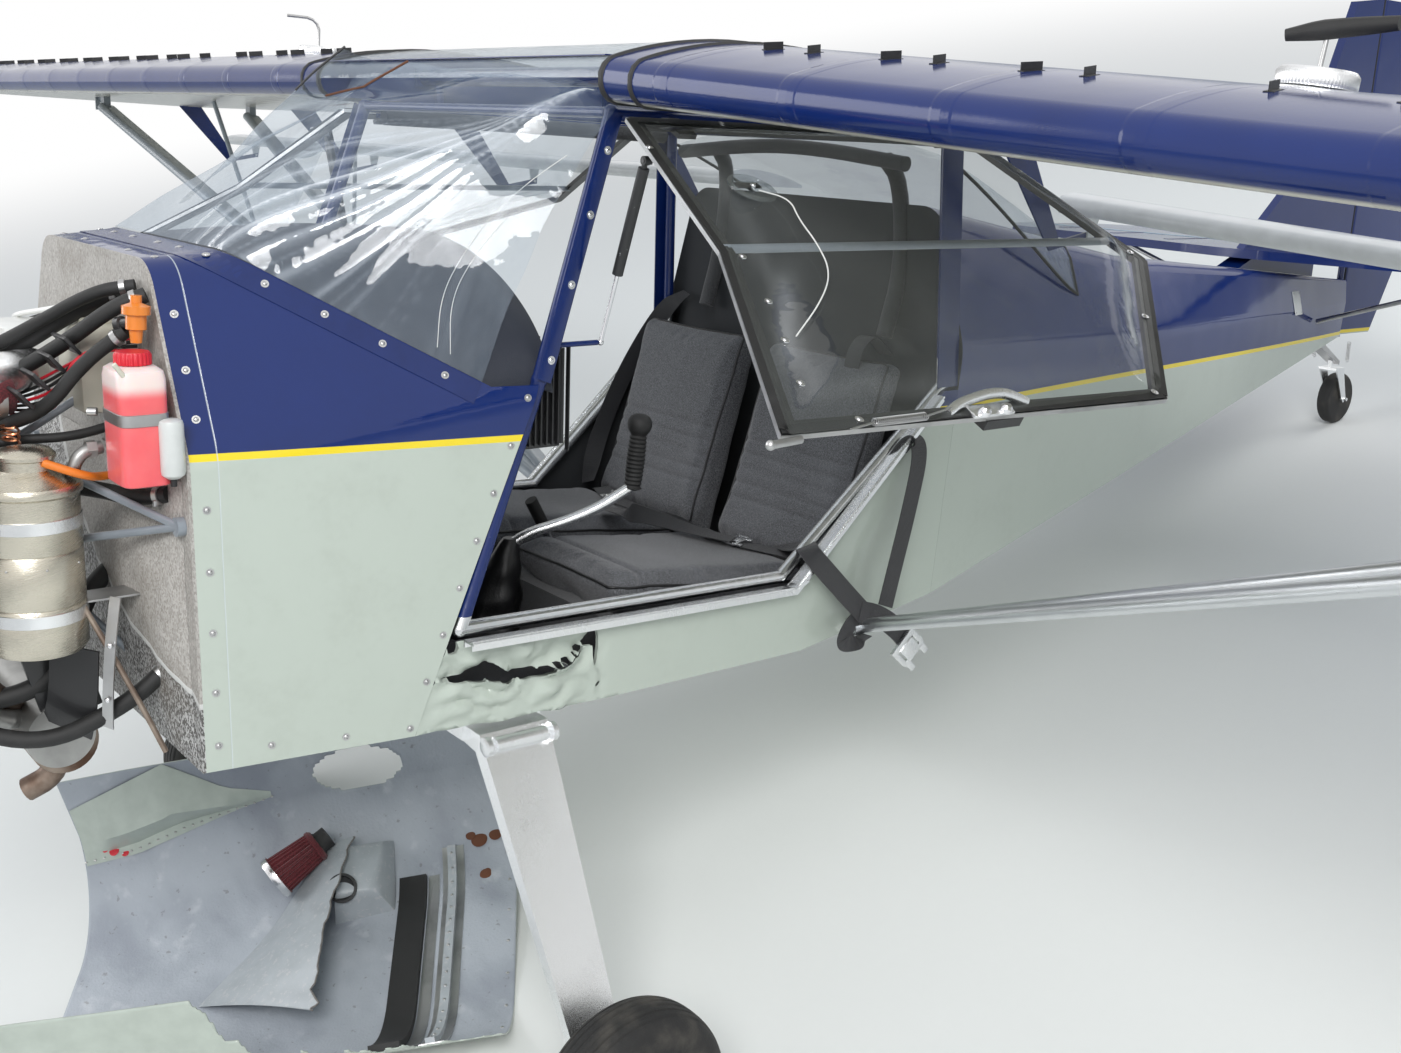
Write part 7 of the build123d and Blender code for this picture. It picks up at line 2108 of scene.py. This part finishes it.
def make_stage():
    """Pale floor, white world and soft lamps."""
    look = bpy.context.scene.microlight_stage
    grain = Bench("floor_paint", tuple(look.floor_colour))
    speck = grain.noise(40, 3)
    shade = grain.mix(speck * 0.25, tuple(look.floor_colour), tuple(c * 0.94 for c in look.floor_colour))
    near = grain.node("ShaderNodeBsdfPrincipled", None, {"Base Color": shade, "Roughness": 0.85})
    white = grain.node("ShaderNodeEmission", None, {"Color": (1, 1, 1), "Strength": 1.0})
    far = grain.vector("LENGTH", grain.place()).step(*FLOOR_FADE)
    seen = grain.out("ShaderNodeLightPath", key="Is Camera Ray")
    fade = grain.node("ShaderNodeMixShader", None, {0: far * seen})
    grain.tree.links.new(near.outputs[0], fade.inputs[1])
    grain.tree.links.new(white.outputs[0], fade.inputs[2])
    grain.tree.links.new(fade.outputs[0], grain.node("ShaderNodeOutputMaterial").inputs[0])
    mesh = bpy.data.meshes.new("floor")
    corners = [(x * FLOOR_HALF, y * FLOOR_HALF, 0) for x, y in ((-1, -1), (1, -1), (1, 1), (-1, 1))]
    mesh.from_pydata(corners, [], [(0, 1, 2, 3)])
    mesh.materials.append(grain.material)
    floor = bpy.data.objects.new("floor", mesh)
    bpy.context.scene.collection.objects.link(floor)
    world = bpy.data.worlds.new("studio")
    bpy.context.scene.world = world
    world.use_nodes = True
    nodes, links = world.node_tree.nodes, world.node_tree.links
    nodes.clear()
    out, mix = nodes.new("ShaderNodeOutputWorld"), nodes.new("ShaderNodeMixShader")
    soft, white = nodes.new("ShaderNodeBackground"), nodes.new("ShaderNodeBackground")
    for glow, colour, strength in ((soft, (0.86, 0.92, 1.0, 1), look.sky_strength),
            (white, (1, 1, 1, 1), 1.0)):
        glow.inputs["Color"].default_value, glow.inputs["Strength"].default_value = colour, strength
    path = nodes.new("ShaderNodeLightPath")
    most, last = nodes.new("ShaderNodeMath"), nodes.new("ShaderNodeMath")
    most.operation = last.operation = "MAXIMUM"
    links.new(path.outputs["Is Camera Ray"], most.inputs[0])
    links.new(path.outputs["Is Glossy Ray"], most.inputs[1])
    links.new(most.outputs[0], last.inputs[0])
    links.new(path.outputs["Is Transmission Ray"], last.inputs[1])
    links.new(last.outputs[0], mix.inputs[0])
    links.new(soft.outputs[0], mix.inputs[1])
    links.new(white.outputs[0], mix.inputs[2])
    links.new(mix.outputs[0], out.inputs[0])
    for name, place, aim, size, power in (("key", (5.5, -4.5, 6.5), (0, 0.2, 0.8), 4.0, look.key_power),
            ("fill", (-5.0, -5.0, 4.0), (0, 0, 1.0), 5.0, look.key_power * 0.35),
            ("back", (2.0, 8.0, 6.0), (0, 1.0, 1.0), 6.0, look.key_power * 0.5)):
        light = bpy.data.lights.new(name, "AREA")
        light.shape, light.size, light.energy = "DISK", size, power
        lamp = bpy.data.objects.new(name, light)
        turn = (Vector(aim) - Vector(place)).to_track_quat("-Z", "Y")
        lamp.matrix_world = Matrix.Translation(place) @ turn.to_matrix().to_4x4()
        bpy.context.scene.collection.objects.link(lamp)
    bpy.context.scene.view_settings.view_transform = "Standard"


# ---- Properties ----

class MicrolightPaint(bpy.types.PropertyGroup):
    cover_blue: bpy.props.FloatVectorProperty(
        name="Cover Blue", description="Blue of the covers and upper sheets", subtype="COLOR", size=3,
                                              min=0, max=1,
        default=(0.004, 0.017, 0.105))
    stripe_yellow: bpy.props.FloatVectorProperty(
        name="Stripe Yellow", description="Yellow of the side stripe", subtype="COLOR", size=3, min=0,
                                                 max=1,
        default=(0.8, 0.62, 0.02))
    lower_pale: bpy.props.FloatVectorProperty(
        name="Lower Pale", description="Pale grey-green of the belly and cowl", subtype="COLOR", size=3,
                                              min=0, max=1,
        default=(0.46, 0.51, 0.45))
    stripe_width: bpy.props.FloatProperty(
        name="Stripe Width", description="Height of the yellow stripe", default=0.012, unit="LENGTH",
                                          min=0.004, max=0.06)


class MicrolightTrim(bpy.types.PropertyGroup):
    vane_pitch: bpy.props.FloatProperty(
        name="Vane Pitch", description="Distance between pairs of vanes on the wing", default=0.274,
                                        unit="LENGTH", min=0.1, max=0.6)
    vane_height: bpy.props.FloatProperty(
        name="Vane Height", description="Height of a vane over the wing", default=0.012, unit="LENGTH",
                                         min=0.004, max=0.03)
    belt_width: bpy.props.FloatProperty(
        name="Belt Width", description="Width of the harness webbing", default=0.046, unit="LENGTH",
                                        min=0.02, max=0.08)


class MicrolightStage(bpy.types.PropertyGroup):
    floor_colour: bpy.props.FloatVectorProperty(
        name="Floor Colour", description="Colour of the studio floor", subtype="COLOR", size=3, min=0,
                                                max=1,
        default=(0.74, 0.75, 0.73))
    sky_strength: bpy.props.FloatProperty(name="Sky Strength", description="Soft light from all round",
                                          default=0.62, min=0, max=3)
    key_power: bpy.props.FloatProperty(name="Key Power", description="Power of the main lamp",
                                       default=520.0, unit="POWER", min=0, max=5000)


# ---- Operators ----

class DressNodes(bpy.types.Operator):
    """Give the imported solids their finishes"""
    bl_idname = "microlight.dress_nodes"
    bl_label = "Dress the solids"

    def execute(self, context):
        dress_all()
        return {"FINISHED"}


class MakeSkins(bpy.types.Operator):
    """Make the crushed tub, the seams, the strips and their screws"""
    bl_idname = "microlight.make_skins"
    bl_label = "Skins and seams"

    def execute(self, context):
        make_tub()
        make_seams()
        return {"FINISHED"}


class MakeGlazing(bpy.types.Operator):
    """Make the crumpled windshield and the rear window"""
    bl_idname = "microlight.make_glazing"
    bl_label = "Glazing"

    def execute(self, context):
        make_screen()
        make_rear_window()
        return {"FINISHED"}


class MakeWingTrim(bpy.types.Operator):
    """Make the wing seals, caps, vents and vanes"""
    bl_idname = "microlight.make_wing_trim"
    bl_label = "Wing trim"

    def execute(self, context):
        make_wing_trim()
        make_vanes()
        return {"FINISHED"}


class MakeDoors(bpy.types.Operator):
    """Make the blown door windows and the door fittings"""
    bl_idname = "microlight.make_doors"
    bl_label = "Doors"

    def execute(self, context):
        make_doors()
        return {"FINISHED"}


class MakeSeats(bpy.types.Operator):
    """Make the padded seats by cloth simulation, with piping and belts"""
    bl_idname = "microlight.make_seats"
    bl_label = "Seats and harness"

    def execute(self, context):
        make_seats()
        make_harness()
        return {"FINISHED"}


class MakeCabin(bpy.types.Operator):
    """Make the stick, the instruments and the cabin's fittings"""
    bl_idname = "microlight.make_cabin"
    bl_label = "Cabin"

    def execute(self, context):
        make_controls()
        make_cabin()
        return {"FINISHED"}


class MakeEngineBay(bpy.types.Operator):
    """Make the engine's fins, tanks, hoses, pipes and boxes"""
    bl_idname = "microlight.make_engine_bay"
    bl_label = "Engine bay"

    def execute(self, context):
        make_bottle()
        make_oil_tank()
        make_engine_bay()
        make_engine()
        return {"FINISHED"}


class MakeGear(bpy.types.Operator):
    """Make the tyres, the brakes and the tail's trim"""
    bl_idname = "microlight.make_gear"
    bl_label = "Undercarriage and tail"

    def execute(self, context):
        make_wheels()
        make_tail_trim()
        return {"FINISHED"}


class MakeCowl(bpy.types.Operator):
    """Make the loose lower cowl and what lies in it"""
    bl_idname = "microlight.make_cowl"
    bl_label = "Loose cowl"

    def execute(self, context):
        make_cowl()
        return {"FINISHED"}


class MakeStage(bpy.types.Operator):
    """Make the floor, the world, the lamps and the camera"""
    bl_idname = "microlight.make_stage"
    bl_label = "Stage"

    def execute(self, context):
        make_stage()
        make_camera()
        return {"FINISHED"}


class MicrolightPanel(bpy.types.Panel):
    """Sizes, colours and the makers of the microlight's dressing"""
    bl_idname = "VIEW3D_PT_microlight"
    bl_label = "Microlight"
    bl_space_type = "VIEW_3D"
    bl_region_type = "UI"
    bl_category = "Microlight"

    def draw(self, context):
        for group, owner in ((MicrolightPaint, context.scene.microlight_paint),
                (MicrolightTrim, context.scene.microlight_trim), (MicrolightStage,
                context.scene.microlight_stage)):
            for name in group.__annotations__:
                self.layout.prop(owner, name)
        for maker in MAKERS:
            self.layout.operator(maker.bl_idname)


GROUPS = (("microlight_paint", MicrolightPaint), ("microlight_trim", MicrolightTrim),
    ("microlight_stage", MicrolightStage))
MAKERS = (MakeStage, DressNodes, MakeSkins, MakeGlazing, MakeWingTrim, MakeDoors, MakeSeats, MakeCabin,
    MakeEngineBay, MakeGear, MakeCowl)


def register():
    for name, group in GROUPS:
        bpy.utils.register_class(group)
        setattr(bpy.types.Scene, name, bpy.props.PointerProperty(type=group))
    for maker in (*MAKERS, MicrolightPanel):
        bpy.utils.register_class(maker)


def unregister():
    for maker in reversed((*MAKERS, MicrolightPanel)):
        bpy.utils.unregister_class(maker)
    for name, group in reversed(GROUPS):
        delattr(bpy.types.Scene, name)
        bpy.utils.unregister_class(group)


def main():
    """Registers the add-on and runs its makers."""
    register()
    for maker in MAKERS:
        space, call = maker.bl_idname.split(".")
        getattr(getattr(bpy.ops, space), call)()


if __name__ == "__main__":
    main()
